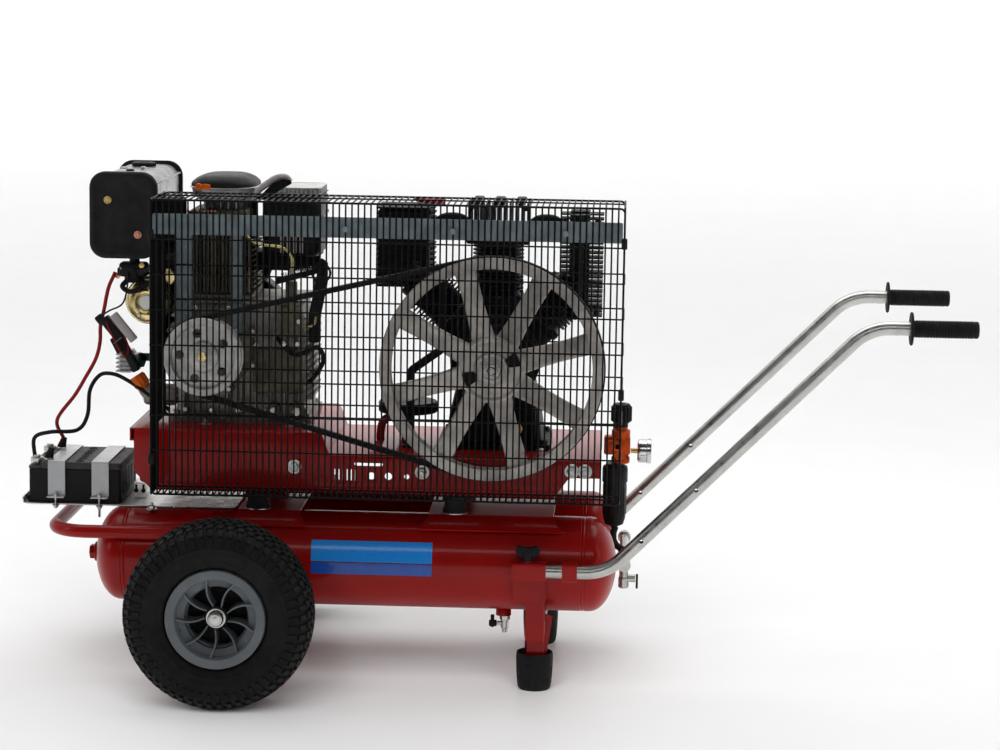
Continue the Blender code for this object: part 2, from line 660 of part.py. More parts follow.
def make_pump_cylinder(name, origin, way, reach, head_x, head_z):
    """One leaning cylinder barrel, open towards the crankcase, with its upright finned head."""
    foot = PUMP_PAD + GAP
    barrel = rod(f"pump_cylinder_{name}", origin + way * foot, origin + way * reach, 0.046, "cast_black", 20)
    head = box(f"head_{name}", head_x, (PUMP_Y - HEAD_HALF, PUMP_Y + HEAD_HALF), head_z)
    bore = rod(f"bore_{name}", origin + way * (foot - 0.010), origin + way * (reach - 0.012), 0.034,
               segments=14)
    join(barrel, head)
    cut(barrel, bore)


def make_intake_filter():
    """The round intake filter on its short pipe, beside the crankcase."""
    profile = [(0.0, PUMP_DECK + GAP), (0.012, PUMP_DECK + GAP), (0.012, 0.458), (0.050, 0.458),
               (0.0535, 0.462), (0.0535, 0.474), (0.048, 0.479), (0.0, 0.479)]
    turned("intake_filter", profile, at(0.2900, 0.010, 0), (0, 0, 1), 20, "black_plastic")


# ---------------------------------------------------------------- belt drive


def make_flywheel():
    """The pump's belt wheel: a grooved rim, a hub disc and eight flat spokes."""
    centre = at(PUMP_X, BELT_Y, PUMP_Z)
    groove = BELT_WIDTH / 2 + 0.0008
    half = 0.016
    rim = [(0.1740, -half), (PUMP_RIM, -half), (PUMP_RIM, -groove), (PUMP_GROOVE, -groove),
           (PUMP_GROOVE, groove), (PUMP_RIM, groove), (PUMP_RIM, half), (0.1740, half)]
    wheel = turned_solid("pump_flywheel", rim, centre, (0, 1, 0), 36, "wheel_casting")
    bore = PUMP_SHAFT + 0.0003
    hub = turned_solid("flywheel_hub", [(bore, -0.018), (0.058, -0.018), (0.058, 0.014), (0.034, 0.020),
                                        (0.034, 0.060), (bore, 0.060)], centre, (0, 1, 0), 20)
    spokes = []
    for number in range(8):
        angle = math.radians(16 + 45 * number)
        way = Vector((math.cos(angle), 0, math.sin(angle)))
        spokes.append(aligned_block(f"spoke_{number}", centre, way, (0.050, 0.178), (0.034, 0.010)))
    join(wheel, hub, *spokes)


def make_engine_pulley():
    centre = at(ENGINE_X, BELT_Y, ENGINE_Z)
    groove = BELT_WIDTH / 2 + 0.0008
    bore = ENGINE_SHAFT + 0.0003
    profile = [(bore, -0.014), (ENGINE_RIM, -0.014), (ENGINE_RIM, -groove), (ENGINE_GROOVE, -groove),
               (ENGINE_GROOVE, groove), (ENGINE_RIM, groove), (ENGINE_RIM, 0.014), (0.030, 0.014),
               (0.030, 0.060), (bore, 0.060)]
    pulley = turned_solid("engine_pulley", profile, centre, (0, 1, 0), 24, "cast_aluminium")
    holes = []
    for number in range(5):
        angle = math.radians(33 + 72 * number)
        place = centre + Vector((math.cos(angle), 0, math.sin(angle))) * 0.042
        holes.append(rod(f"pulley_hole_{number}", place + Vector((0, -0.03, 0)), place + Vector((0, 0.03, 0)),
                         0.008, segments=8))
    cut(pulley, *holes)


def belt_outline(pump_radius, engine_radius, steps=10):
    """The closed line that wraps both pulleys: an arc on each and the straight runs between."""
    run = Vector((PUMP_X - ENGINE_X, PUMP_Z - ENGINE_Z))
    heading = math.atan2(run.y, run.x)
    lean = math.acos((pump_radius - engine_radius) / run.length)
    outline = []
    big_half = math.pi - lean
    for step in range(2 * steps + 1):
        angle = heading - big_half + 2 * big_half * step / (2 * steps)
        outline.append((PUMP_X + pump_radius * math.cos(angle), PUMP_Z + pump_radius * math.sin(angle)))
    for step in range(steps + 1):
        angle = heading + big_half + 2 * lean * step / steps
        outline.append((ENGINE_X + engine_radius * math.cos(angle),
                        ENGINE_Z + engine_radius * math.sin(angle)))
    return outline


def make_belt():
    pump_inner = PUMP_GROOVE + BELT_LIFT
    engine_inner = ENGINE_GROOVE + BELT_LIFT
    inner = belt_outline(pump_inner, engine_inner)
    outer = belt_outline(pump_inner + BELT_THICKNESS, engine_inner + BELT_THICKNESS)
    plate("v_belt", [outer, inner], BELT_WIDTH, at(0, BELT_Y, 0), finish="black_rubber")


# ---------------------------------------------------------------- belt guard


def make_guard():
    """An open lattice round the belt: front, top, both ends, a shallow floor and a rear above the frame."""
    columns = 6
    xs = [GUARD_X[0] + (GUARD_X[1] - GUARD_X[0]) * i / columns for i in range(columns + 1)]
    front, rear = GUARD_Y
    shelf = -FRAME_WIDTH / 2 - 0.006
    sill = ENGINE_DECK + 0.012
    middle = (sill + GUARD_Z[1]) / 2
    inset = GUARD_WIRE / 2
    front += inset
    levels = [GUARD_Z[0] + inset, sill, middle, GUARD_Z[1] - inset]
    xs[0] += inset
    xs[-1] -= inset
    shape = bmesh.new()
    corners = {}

    def corner(x, y, z):
        key = (round(x, 5), round(y, 5), round(z, 5))
        if key not in corners:
            corners[key] = shape.verts.new(at(x, y, z))
        return corners[key]

    def wall(places):
        shape.faces.new([corner(*place) for place in places])

    for a, b in zip(xs, xs[1:]):
        for low, high in zip(levels, levels[1:]):
            wall([(a, front, low), (b, front, low), (b, front, high), (a, front, high)])
        for low, high in zip(levels[1:], levels[2:]):
            wall([(a, rear, low), (a, rear, high), (b, rear, high), (b, rear, low)])
        for y0, y1 in ((front, shelf), (shelf, rear)):
            wall([(a, y0, levels[-1]), (b, y0, levels[-1]), (b, y1, levels[-1]), (a, y1, levels[-1])])
        wall([(a, front, levels[0]), (a, shelf, levels[0]), (b, shelf, levels[0]), (b, front, levels[0])])
    for x in (xs[0], xs[-1]):
        wall([(x, front, levels[0]), (x, front, levels[1]), (x, shelf, levels[1]), (x, shelf, levels[0])])
        for low, high in zip(levels[1:], levels[2:]):
            for y0, y1 in ((front, shelf), (shelf, rear)):
                wall([(x, y0, low), (x, y0, high), (x, y1, high), (x, y1, low)])
    bmesh.ops.recalc_face_normals(shape, faces=shape.faces)
    mesh = bpy.data.meshes.new("guard_cage")
    shape.to_mesh(mesh)
    shape.free()
    cage = add_object("guard_cage", mesh, "black_metal")
    wires = cage.modifiers.new("wires", "WIREFRAME")
    wires.thickness = GUARD_WIRE
    wires.offset = 0
    wires.use_boundary = True
    wires.use_even_offset = False

    bar_y = (GUARD_Y[0] + GUARD_WIRE + 0.0008, GUARD_Y[0] + GUARD_WIRE + 0.0048)
    box("guard_bar", (GUARD_X[0] + 0.006, GUARD_X[1] - 0.006), bar_y, (0.791, 0.831), "grey_steel")


# ---------------------------------------------------------------- air outlet


def make_regulator():
    x, y = REGULATOR_X, REGULATOR_Y
    box("pressure_regulator", (x - 0.023, x + 0.024), (y - 0.022, y + 0.022), (0.379, 0.4445),
        "regulator_orange", 0.004)
    knob = [(0.0, 0.487), (0.0165, 0.487), (0.0190, 0.484), (0.0190, 0.452), (0.0140, 0.4448), (0.0, 0.4448)]
    turned("regulator_knob", knob, at(x + 0.007, y, 0), (0, 0, 1), 20, "black_plastic")
    bowl = [(0.0, 0.256), (0.006, 0.256), (0.006, 0.263), (0.019, 0.266), (0.0228, 0.272), (0.0228, 0.3787),
            (0.0, 0.3787)]
    turned("filter_bowl", bowl, at(x - 0.002, y, 0), (0, 0, 1), 20, "black_plastic")


def make_gauge():
    """The gauge faces the operator; the pointer turns on the dial's centre."""
    x, y, z = GAUGE_PLACE
    profile = [(0.0, -0.0120), (0.005, -0.0120), (0.005, 0.0), (0.0215, 0.0), (0.0225, 0.002),
               (0.0225, 0.0255), (0.0200, 0.0255), (0.0200, 0.0215), (0.0, 0.0215)]
    turned("gauge", profile, at(x, y, z), (1, 0, 0), 20, "chrome")
    pointer = rod("gauge_needle", at(x + 0.0220, y, z), at(x + 0.0238, y, z), 0.0025, "black_plastic", 10)
    reach = 0.0150
    hand = box("needle_hand", (x + 0.0222, x + 0.0232), (y - 0.0009, y + 0.0009), (z, z + reach))
    hand.location = at(x + 0.0227, y, z) + Vector((0, math.sin(GAUGE_REST),
                                                   -math.cos(GAUGE_REST))) * reach / 2
    hand.rotation_euler = (GAUGE_REST, 0, 0)
    join(pointer, hand)


def make_outlet():
    """The pipe between the tank ports, the tap that hangs from it and the drain cock of the left tank."""
    across = 0.6850
    cross = rod("outlet_manifold", at(across, -TANK_Y - 0.008, TANK_Z), at(across, TANK_Y + 0.008, TANK_Z),
                0.008, "zinc_steel", 12)
    stubs = [rod(f"{side}_port_stub", at(TANK_ENDS[1] - 0.010, sign * TANK_Y, TANK_Z),
                 at(across, sign * TANK_Y, TANK_Z),
                 PORT_RADIUS - 0.0007, segments=12) for side, sign in SIDES]
    drop = rod("outlet_drop", at(across, REGULATOR_Y, TANK_Z), at(across, REGULATOR_Y, 0.150), 0.0095,
               segments=12)
    nose = rod("outlet_nose", at(across, REGULATOR_Y, 0.168), at(0.706, REGULATOR_Y, 0.168), 0.0075,
               segments=12)
    join(cross, *stubs, drop, nose)
    lever = box("outlet_lever", (0.7070, 0.7110), (REGULATOR_Y - 0.006, REGULATOR_Y + 0.006), (0.150, 0.176),
                "chrome", 0.0015)
    move_origin(lever, at(0.7090, REGULATOR_Y, 0.168))

    x, y = DRAIN_PLACE
    cock = rod("drain_cock", at(x, y, 0.087), at(x, y, 0.1300), 0.0072, "zinc_steel", 12)
    nut = rod("drain_nut", at(x, y, 0.110), at(x, y, 0.121), 0.0105, segments=6)
    stem = rod("drain_stem", at(x, y, 0.103), at(x - 0.014, y, 0.103), 0.0045, segments=10)
    join(cock, nut, stem)
    tap = box("drain_lever", (x - 0.028, x - 0.0143), (y - 0.0055, y + 0.0055), (0.096, 0.118),
              "black_plastic", 0.002)
    move_origin(tap, at(x - 0.020, y, 0.103))


def move_origin(obj, place):
    """Puts the origin of an unrotated mesh object on a point without moving its shape."""
    obj.data.transform(Matrix.Translation(obj.location - place))
    obj.location = place


make_tanks()
make_axle_cradle()
make_leg_cradle()
make_feet()
make_bumper()
make_wheels()
make_handles()
make_base_frame()
make_dampers()
make_battery_tray()
make_battery()
make_engine()
make_fuel_tank()
make_pump()
make_flywheel()
make_engine_pulley()
make_belt()
make_guard()
make_regulator()
make_gauge()
make_outlet()
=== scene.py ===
"""Looks of the wheelbarrow air compressor: every visible piece, its materials, the studio and the camera.

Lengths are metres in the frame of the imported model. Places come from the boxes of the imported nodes; stations
along the machine are measured from the wheel axle, as at(x, y, z) says.
"""

import math
import random

import bmesh
import bpy
from mathutils import Matrix, Vector


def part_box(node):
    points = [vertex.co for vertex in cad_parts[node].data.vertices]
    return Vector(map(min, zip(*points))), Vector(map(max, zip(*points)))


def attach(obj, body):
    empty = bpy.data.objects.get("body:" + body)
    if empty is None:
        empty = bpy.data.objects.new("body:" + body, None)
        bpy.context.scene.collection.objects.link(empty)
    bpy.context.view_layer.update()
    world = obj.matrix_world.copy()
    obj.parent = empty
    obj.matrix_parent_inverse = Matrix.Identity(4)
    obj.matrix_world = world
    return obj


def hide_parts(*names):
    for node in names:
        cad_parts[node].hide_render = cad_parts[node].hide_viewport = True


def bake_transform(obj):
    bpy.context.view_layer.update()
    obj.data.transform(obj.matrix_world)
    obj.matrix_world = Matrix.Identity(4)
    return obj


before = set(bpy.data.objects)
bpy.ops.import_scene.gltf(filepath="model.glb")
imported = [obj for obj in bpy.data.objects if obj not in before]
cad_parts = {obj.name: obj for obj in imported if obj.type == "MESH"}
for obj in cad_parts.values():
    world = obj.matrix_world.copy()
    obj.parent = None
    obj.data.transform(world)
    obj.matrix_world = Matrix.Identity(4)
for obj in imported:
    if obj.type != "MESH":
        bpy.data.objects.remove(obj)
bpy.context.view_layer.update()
SEED = 7

X = Vector((1, 0, 0))
Y = Vector((0, 1, 0))
Z = Vector((0, 0, 1))


class Node:
    """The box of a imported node: its low and high corners, middle and size."""

    def __init__(self, name):
        self.name = name
        self.low, self.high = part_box(name)
        self.mid = (self.low + self.high) / 2
        self.size = self.high - self.low


AXLE = Node("left_rim").mid
SIDES = (("left", -1), ("right", 1))


def at(x, y, z):
    """A point given by its station from the wheel axle, its side and its height."""
    return Vector((AXLE.x + x, y, z))


# ---------------------------------------------------------------- mesh building


def new_shape():
    return bmesh.new()


def piece(name, shape, finish, body, replaces=(), smooth=32):
    """Turns a bmesh into a piece that rides on a body, with its material and its smooth shading."""
    bmesh.ops.recalc_face_normals(shape, faces=shape.faces)
    mesh = bpy.data.meshes.new(name)
    shape.to_mesh(mesh)
    shape.free()
    return mesh_piece(name, mesh, finish, body, replaces, smooth)


def mesh_piece(name, mesh, finish, body, replaces=(), smooth=32):
    obj = bpy.data.objects.new(name, mesh)
    bpy.context.scene.collection.objects.link(obj)
    mesh.materials.clear()
    mesh.materials.append(MATERIALS[finish])
    mesh.shade_smooth()
    mesh.set_sharp_from_angle(angle=math.radians(smooth))
    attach(obj, body)
    if replaces:
        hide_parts(*([replaces] if isinstance(replaces, str) else replaces))
    return obj


def towards(axis):
    """The 3x3 rotation that turns +Z to the axis."""
    return Vector(axis).to_track_quat("Z", "Y").to_matrix()


def moved(shape, verts, matrix):
    bmesh.ops.transform(shape, matrix=matrix, verts=verts)


def bevelled(shape, verts, width, segments):
    edges = list({edge for vert in verts for edge in vert.link_edges})
    bmesh.ops.bevel(shape, geom=edges, offset=width, segments=segments, profile=0.5, affect="EDGES",
                    clamp_overlap=True)


def add_box(shape, low, high, bevel=0.0, segments=2, turn=None):
    """A block between two corners, turned about its own middle, with rounded edges."""
    low, high = Vector(low), Vector(high)
    size = Vector([abs(high[i] - low[i]) for i in range(3)])
    verts = bmesh.ops.create_cube(shape, size=1.0)["verts"]
    matrix = Matrix.Translation((low + high) / 2) @ (turn.to_4x4() if turn else Matrix.Identity(4))
    moved(shape, verts, matrix @ Matrix.Diagonal((*size, 1)))
    if bevel:
        bevelled(shape, verts, bevel, segments)


def add_turned(shape, profile, origin, axis=(0, 0, 1), segments=48, phase=0.0):
    """A turned solid. The profile holds (radius, distance along the axis), as a loop or from axis to axis."""
    turn = towards(axis)
    origin = Vector(origin)
    rings = []
    for radius, height in profile:
        count = segments if radius > 0 else 1
        ring = []
        for i in range(count):
            angle = phase + 2 * math.pi * i / segments
            ring.append(shape.verts.new(origin + turn @ Vector((radius * math.cos(angle), radius * math.sin(angle),
                                                                height))))
        rings.append(ring)
    pairs = list(zip(rings, rings[1:]))
    if profile[0][0] > 0:
        pairs.append((rings[-1], rings[0]))
    for a, b in pairs:
        if len(a) == 1 and len(b) == 1:
            continue
        for i in range(segments):
            corners = (a[i % len(a)], a[(i + 1) % len(a)], b[(i + 1) % len(b)], b[i % len(b)])
            shape.faces.new(list(dict.fromkeys(corners)))


def add_rod(shape, start, end, radius, segments=24, chamfer=0.0):
    """A straight round bar with optional chamfered ends."""
    start, end = Vector(start), Vector(end)
    length = (end - start).length
    c = chamfer
    profile = [(0, 0), (radius - c, 0), (radius, c), (radius, length - c), (radius - c, length), (0, length)]
    if not c:
        profile = [(0, 0), (radius, 0), (radius, length), (0, length)]
    add_turned(shape, profile, start, end - start, segments)


def path_frames(path, closed=False):
    """For each point of a path, its two cross directions, carried along without twist."""
    count = len(path)
    tangents = []
    for i in range(count):
        before = path[(i - 1) % count] if closed or i > 0 else path[i]
        after = path[(i + 1) % count] if closed or i < count - 1 else path[i]
        tangents.append((after - before).normalized())
    side = tangents[0].orthogonal().normalized()
    frames = []
    for i, tangent in enumerate(tangents):
        if i:
            side = tangents[i - 1].rotation_difference(tangent) @ side
        side = (side - tangent * side.dot(tangent)).normalized()
        frames.append((side, tangent.cross(side)))
    return frames


def add_tube(shape, path, radius, sides=16, wall=0.0, closed=False, radii=None):
    """A tube along a path: solid with flat ends, or hollow with a wall. radii may give a radius for each point."""
    path = [Vector(point) for point in path]
    frames = path_frames(path, closed)

    def skin(offset):
        rings = []
        for i, (point, (a, b)) in enumerate(zip(path, frames)):
            r = (radii[i] if radii else radius) - offset
            rings.append([shape.verts.new(point + a * (r * math.cos(2 * math.pi * k / sides))
                                          + b * (r * math.sin(2 * math.pi * k / sides))) for k in range(sides)])
        spans = list(zip(rings, rings[1:]))
        if closed:
            spans.append((rings[-1], rings[0]))
        for lower, upper in spans:
            for k in range(sides):
                shape.faces.new((lower[k], lower[(k + 1) % sides], upper[(k + 1) % sides], upper[k]))
        return rings

    outer = skin(0)
    if closed:
        return
    if wall:
        inner = skin(wall)
        for out_ring, in_ring in ((outer[0], inner[0]), (outer[-1], inner[-1])):
            for k in range(sides):
                shape.faces.new((out_ring[k], out_ring[(k + 1) % sides], in_ring[(k + 1) % sides], in_ring[k]))
    else:
        shape.faces.new(outer[0])
        shape.faces.new(list(reversed(outer[-1])))


def rounded_path(corners, radius, steps=8, closed=False):
    """Corner points joined by straight runs, with an arc of the radius at each corner between two runs."""
    corners = [Vector(c) for c in corners]
    count = len(corners)
    path = []
    for i, corner in enumerate(corners):
        if not closed and i in (0, count - 1):
            path.append(corner)
            continue
        to_start = (corners[i - 1] - corner).normalized()
        to_end = (corners[(i + 1) % count] - corner).normalized()
        half = to_start.angle(to_end) / 2
        centre = corner + (to_start + to_end).normalized() * (radius / math.sin(half))
        first = corner + to_start * (radius / math.tan(half)) - centre
        last = corner + to_end * (radius / math.tan(half)) - centre
        hinge = first.cross(last)
        turn = first.angle(last) / steps
        path += [centre + Matrix.Rotation(turn * k, 3, hinge) @ first for k in range(steps + 1)]
    return path


def smooth_path(points, steps=8):
    """A Catmull-Rom curve through the points."""
    points = [Vector(p) for p in points]
    padded = [points[0] * 2 - points[1]] + points + [points[-1] * 2 - points[-2]]
    path = []
    for a, b, c, d in zip(padded, padded[1:], padded[2:], padded[3:]):
        for k in range(steps):
            t = k / steps
            path.append(0.5 * ((2 * b) + (c - a) * t + (2 * a - 5 * b + 4 * c - d) * t ** 2
                               + (3 * b - a - 3 * c + d) * t ** 3))
    return path + [points[-1]]


def add_loft(shape, sections, closed=False):
    """A skin over sections of equal point count, with flat ends unless it closes on itself."""
    rings = [[shape.verts.new(Vector(p)) for p in section] for section in sections]
    count = len(rings[0])
    spans = list(zip(rings, rings[1:]))
    if closed:
        spans.append((rings[-1], rings[0]))
    for a, b in spans:
        for k in range(count):
            shape.faces.new((a[k], a[(k + 1) % count], b[(k + 1) % count], b[k]))
    if not closed:
        shape.faces.new(rings[0])
        shape.faces.new(list(reversed(rings[-1])))


def rounded_outline(half_a, half_b, radius, steps=6):
    """A rounded rectangle about the origin, as (a, b) points."""
    points = []
    for quarter, (sa, sb) in enumerate(((1, 1), (-1, 1), (-1, -1), (1, -1))):
        for k in range(steps + 1):
            angle = math.radians(90 * quarter + 90 * k / steps)
            points.append((sa * (half_a - radius) + radius * math.cos(angle),
                           sb * (half_b - radius) + radius * math.sin(angle)))
    return points


def rounded_polygon(corners, radius, steps=4):
    """A closed 2D outline whose corners are rounded by the radius."""
    path = rounded_path([(a, b, 0) for a, b in corners], radius, steps, closed=True)
    return [(p.x, p.y) for p in path]


def add_prism(shape, outline, span, to_place, bevel=0.0):
    """An outline of (a, b) points extruded between two depths; to_place(a, b, depth) gives each point.
    A bevel draws the outline in a little at both faces."""
    centre_a = sum(p[0] for p in outline) / len(outline)
    centre_b = sum(p[1] for p in outline) / len(outline)
    reach = max(math.hypot(a - centre_a, b - centre_b) for a, b in outline)
    shrink = 1 - bevel / reach

    def section(depth, scale):
        return [to_place(centre_a + (a - centre_a) * scale, centre_b + (b - centre_b) * scale, depth)
                for a, b in outline]

    low, high = span
    if bevel:
        step = bevel if high > low else -bevel
        rows = [section(low, shrink), section(low + step, 1), section(high - step, 1), section(high, shrink)]
    else:
        rows = [section(low, 1), section(high, 1)]
    add_loft(shape, rows)


def across_y(a, b, depth):
    """Outline in the XZ plane, depth along Y."""
    return Vector((a, depth, b))


def across_x(a, b, depth):
    """Outline in the YZ plane, depth along X."""
    return Vector((depth, a, b))


def across_z(a, b, depth):
    """Outline in the XY plane, depth along Z."""
    return Vector((a, b, depth))


def add_hex(shape, place, axis, across_flats, height, chamfer=0.12):
    """A hexagon head or nut standing on a point."""
    r = across_flats / math.sqrt(3)
    c = across_flats * chamfer
    profile = [(0, 0), (r, 0), (r, height - c), (r - c, height), (0, height)]
    add_turned(shape, profile, place, axis, 6)


def add_washer(shape, place, axis, radius, thickness):
    profile = [(0, 0), (radius, 0), (radius, thickness * 0.6), (radius * 0.96, thickness), (0, thickness)]
    add_turned(shape, profile, place, axis, 24)


def add_bolt(shape, place, axis, across_flats=0.013, washer=True, stud=0.0):
    """A hexagon bolt head on a washer, with an optional stud end above it."""
    axis = Vector(axis).normalized()
    place = Vector(place)
    lift = 0.0
    if washer:
        add_washer(shape, place, axis, across_flats * 0.85, across_flats * 0.12)
        lift = across_flats * 0.12
    add_hex(shape, place + axis * lift, axis, across_flats, across_flats * 0.55)
    if stud:
        top = place + axis * (lift + across_flats * 0.5)
        add_rod(shape, top, top + axis * stud, across_flats * 0.28, 12, across_flats * 0.05)


def add_cap_screw(shape, place, axis, radius=0.0045):
    """A round socket-headed screw with its socket sunk in."""
    r = radius
    profile = [(0, 0), (r, 0), (r, r * 1.1), (r * 0.9, r * 1.25), (r * 0.5, r * 1.25), (r * 0.5, r * 0.6), (0, r * 0.6)]
    add_turned(shape, profile, place, axis, 18)


def cut_piece(obj, cutter_shape):
    """Takes the closed shells of a bmesh out of a piece, for real holes and slots."""
    bmesh.ops.recalc_face_normals(cutter_shape, faces=cutter_shape.faces)
    mesh = bpy.data.meshes.new("cutter")
    cutter_shape.to_mesh(mesh)
    cutter_shape.free()
    cutter = bpy.data.objects.new("cutter", mesh)
    bpy.context.scene.collection.objects.link(cutter)
    modifier = obj.modifiers.new("cut", "BOOLEAN")
    modifier.operation = "DIFFERENCE"
    modifier.solver = "EXACT"
    modifier.object = cutter
    bpy.context.view_layer.update()
    result = bpy.data.meshes.new_from_object(obj.evaluated_get(bpy.context.evaluated_depsgraph_get()))
    obj.modifiers.clear()
    old = obj.data
    obj.data = result
    result.name = old.name
    bpy.data.meshes.remove(old)
    bpy.data.objects.remove(cutter)
    result.shade_smooth()
    result.set_sharp_from_angle(angle=math.radians(30))
    return obj


# ---------------------------------------------------------------- materials


class Shader:
    """A material's node tree, with short calls for the nodes used here. Coordinates are metres on the piece."""

    def __init__(self, name):
        self.material = bpy.data.materials.new(name)
        self.material.use_nodes = True
        self.tree = self.material.node_tree
        self.surface = self.tree.nodes["Principled BSDF"]
        self.place = self.tree.nodes.new("ShaderNodeTexCoord").outputs["Object"]

    def feed(self, socket, value):
        if isinstance(value, bpy.types.NodeSocket):
            self.tree.links.new(value, socket)
        else:
            socket.default_value = value

    def node(self, kind, inputs=(), **settings):
        made = self.tree.nodes.new(kind)
        for key, value in settings.items():
            setattr(made, key, value)
        for key, value in dict(inputs).items():
            self.feed(made.inputs[key], value)
        return made

    def stretched(self, scale):
        return self.node("ShaderNodeMapping", {"Vector": self.place, "Scale": scale}).outputs["Vector"]

    def noise(self, scale, detail=3.0, rough=0.5, stretch=None, distortion=0.0):
        place = self.stretched(stretch) if stretch else self.place
        return self.node("ShaderNodeTexNoise", {"Vector": place, "Scale": scale, "Detail": detail,
                                                "Roughness": rough, "Distortion": distortion}).outputs["Fac"]

    def cells(self, scale, output="Distance"):
        return self.node("ShaderNodeTexVoronoi", {"Vector": self.place, "Scale": scale}).outputs[output]

    def ramp(self, fac, *stops):
        made = self.node("ShaderNodeValToRGB", {"Fac": fac})
        elements = made.color_ramp.elements
        while len(elements) < len(stops):
            elements.new(0.5)
        for element, (position, colour) in zip(elements, stops):
            element.position = position
            element.color = (*colour, 1) if isinstance(colour, tuple) else (colour, colour, colour, 1)
        return made.outputs["Color"]

    def spread(self, fac, low, high, out_low=0.0, out_high=1.0):
        return self.node("ShaderNodeMapRange", {"Value": fac, "From Min": low, "From Max": high, "To Min": out_low,
                                                "To Max": out_high}).outputs["Result"]

    def math(self, operation, a, b=0.0):
        return self.node("ShaderNodeMath", {0: a, 1: b}, operation=operation).outputs[0]

    def mix(self, fac, a, b):
        made = self.node("ShaderNodeMix", {0: fac}, data_type="RGBA")
        for socket, value in ((made.inputs[6], a), (made.inputs[7], b)):
            self.feed(socket, (*value, 1) if isinstance(value, tuple) else value)
        return made.outputs[2]

    def axis(self, index, source="Position"):
        """One coordinate: of the place on the piece, or of the surface's direction."""
        if source == "Normal":
            vector = self.node("ShaderNodeNewGeometry").outputs["Normal"]
        else:
            vector = self.place
        return self.node("ShaderNodeSeparateXYZ", {"Vector": vector}).outputs[index]

    def worn_edges(self, radius):
        """1 on sharp edges, 0 on flat places."""
        rounded = self.node("ShaderNodeBevel", {"Radius": radius}, samples=3).outputs["Normal"]
        true = self.node("ShaderNodeNewGeometry").outputs["Normal"]
        level = self.node("ShaderNodeVectorMath", {0: rounded, 1: true}, operation="DOT_PRODUCT").outputs["Value"]
        return self.spread(level, 0.985, 0.90)

    def bump(self, height, distance, strength=1.0, under=None):
        inputs = {"Height": height, "Distance": distance, "Strength": strength}
        if under is not None:
            inputs["Normal"] = under
        return self.node("ShaderNodeBump", inputs).outputs["Normal"]

    def finish(self, colour, roughness, metallic=0.0, normal=None, **others):
        self.feed(self.surface.inputs["Base Color"], (*colour, 1) if isinstance(colour, tuple) else colour)
        self.feed(self.surface.inputs["Roughness"], roughness)
        self.feed(self.surface.inputs["Metallic"], metallic)
        if normal is not None:
            self.feed(self.surface.inputs["Normal"], normal)
        others.setdefault("Specular_IOR_Level", 0.13)
        for key, value in others.items():
            self.feed(self.surface.inputs[key.replace("_", " ")], value)
        return self.material


def shade(colour, factor):
    return tuple(min(1.0, c * factor) for c in colour)


def gloss_paint(name, colour, roughness=0.36, coat=0.34):
    """Sprayed gloss enamel: orange peel, faint dust on upward faces and lighter rubbed edges."""
    s = Shader(name)
    tone = s.ramp(s.noise(9, 4), (0.3, shade(colour, 0.86)), (0.7, shade(colour, 1.12)))
    edges = s.math("MULTIPLY", s.worn_edges(0.0012), s.spread(s.noise(160, 4), 0.45, 0.62))
    tone = s.mix(s.math("MULTIPLY", edges, 0.35), tone, shade(colour, 2.2))
    up = s.spread(s.axis(2, "Normal"), 0.35, 1.0)
    dust = s.math("MULTIPLY", s.math("MULTIPLY", up, s.spread(s.noise(34, 6, 0.65), 0.42, 0.7)), 0.014)
    tone = s.mix(dust, tone, (0.42, 0.36, 0.33))
    peel = s.bump(s.noise(420, 2), 0.00006)
    coarse = s.spread(s.noise(22, 4), 0.35, 0.7, 0.035, 0.10)
    made = s.finish(tone, roughness, normal=s.bump(s.noise(1500, 2), 0.00003), Coat_Weight=coat,
                    Coat_Roughness=coarse, Coat_IOR=1.38)
    s.feed(s.surface.inputs["Coat Normal"], peel)
    return made


def powder_coat(name, colour, roughness=0.45, metallic=0.0, worn=(0.30, 0.30, 0.30)):
    """Satin powder coat or stove enamel with a fine pebble and a few rubbed edges."""
    s = Shader(name)
    tone = s.ramp(s.noise(40, 5), (0.3, shade(colour, 0.75)), (0.72, shade(colour, 1.35)))
    edges = s.math("MULTIPLY", s.worn_edges(0.0008), s.spread(s.noise(240, 4), 0.5, 0.66))
    tone = s.mix(s.math("MULTIPLY", edges, 0.5), tone, worn)
    rough = s.spread(s.noise(70, 4), 0.3, 0.7, roughness - 0.08, roughness + 0.10)
    return s.finish(tone, rough, metallic, s.bump(s.noise(900, 3), 0.00008))


def casting(name, colour, roughness=0.55, metallic=0.7, grain=0.00025, grime=0.45):
    """Sand-cast metal: granular skin, oily stains and brighter, rubbed edges."""
    s = Shader(name)
    tone = s.ramp(s.noise(28, 6, 0.6), (0.32, shade(colour, 0.62)), (0.68, shade(colour, 1.18)))
    stain = s.spread(s.noise(11, 5, 0.6, distortion=0.6), 0.52, 0.72)
    tone = s.mix(s.math("MULTIPLY", stain, grime), tone, shade(colour, 0.28))
    edges = s.math("MULTIPLY", s.worn_edges(0.001), s.spread(s.noise(190, 3), 0.4, 0.6))
    tone = s.mix(s.math("MULTIPLY", edges, 0.55), tone, shade(colour, 1.9))
    rough = s.spread(s.noise(60, 4), 0.3, 0.7, roughness - 0.12, roughness + 0.12)
    pits = s.bump(s.noise(620, 5, 0.65), grain)
    return s.finish(tone, rough, metallic, s.bump(s.cells(420), grain * 0.4, under=pits))


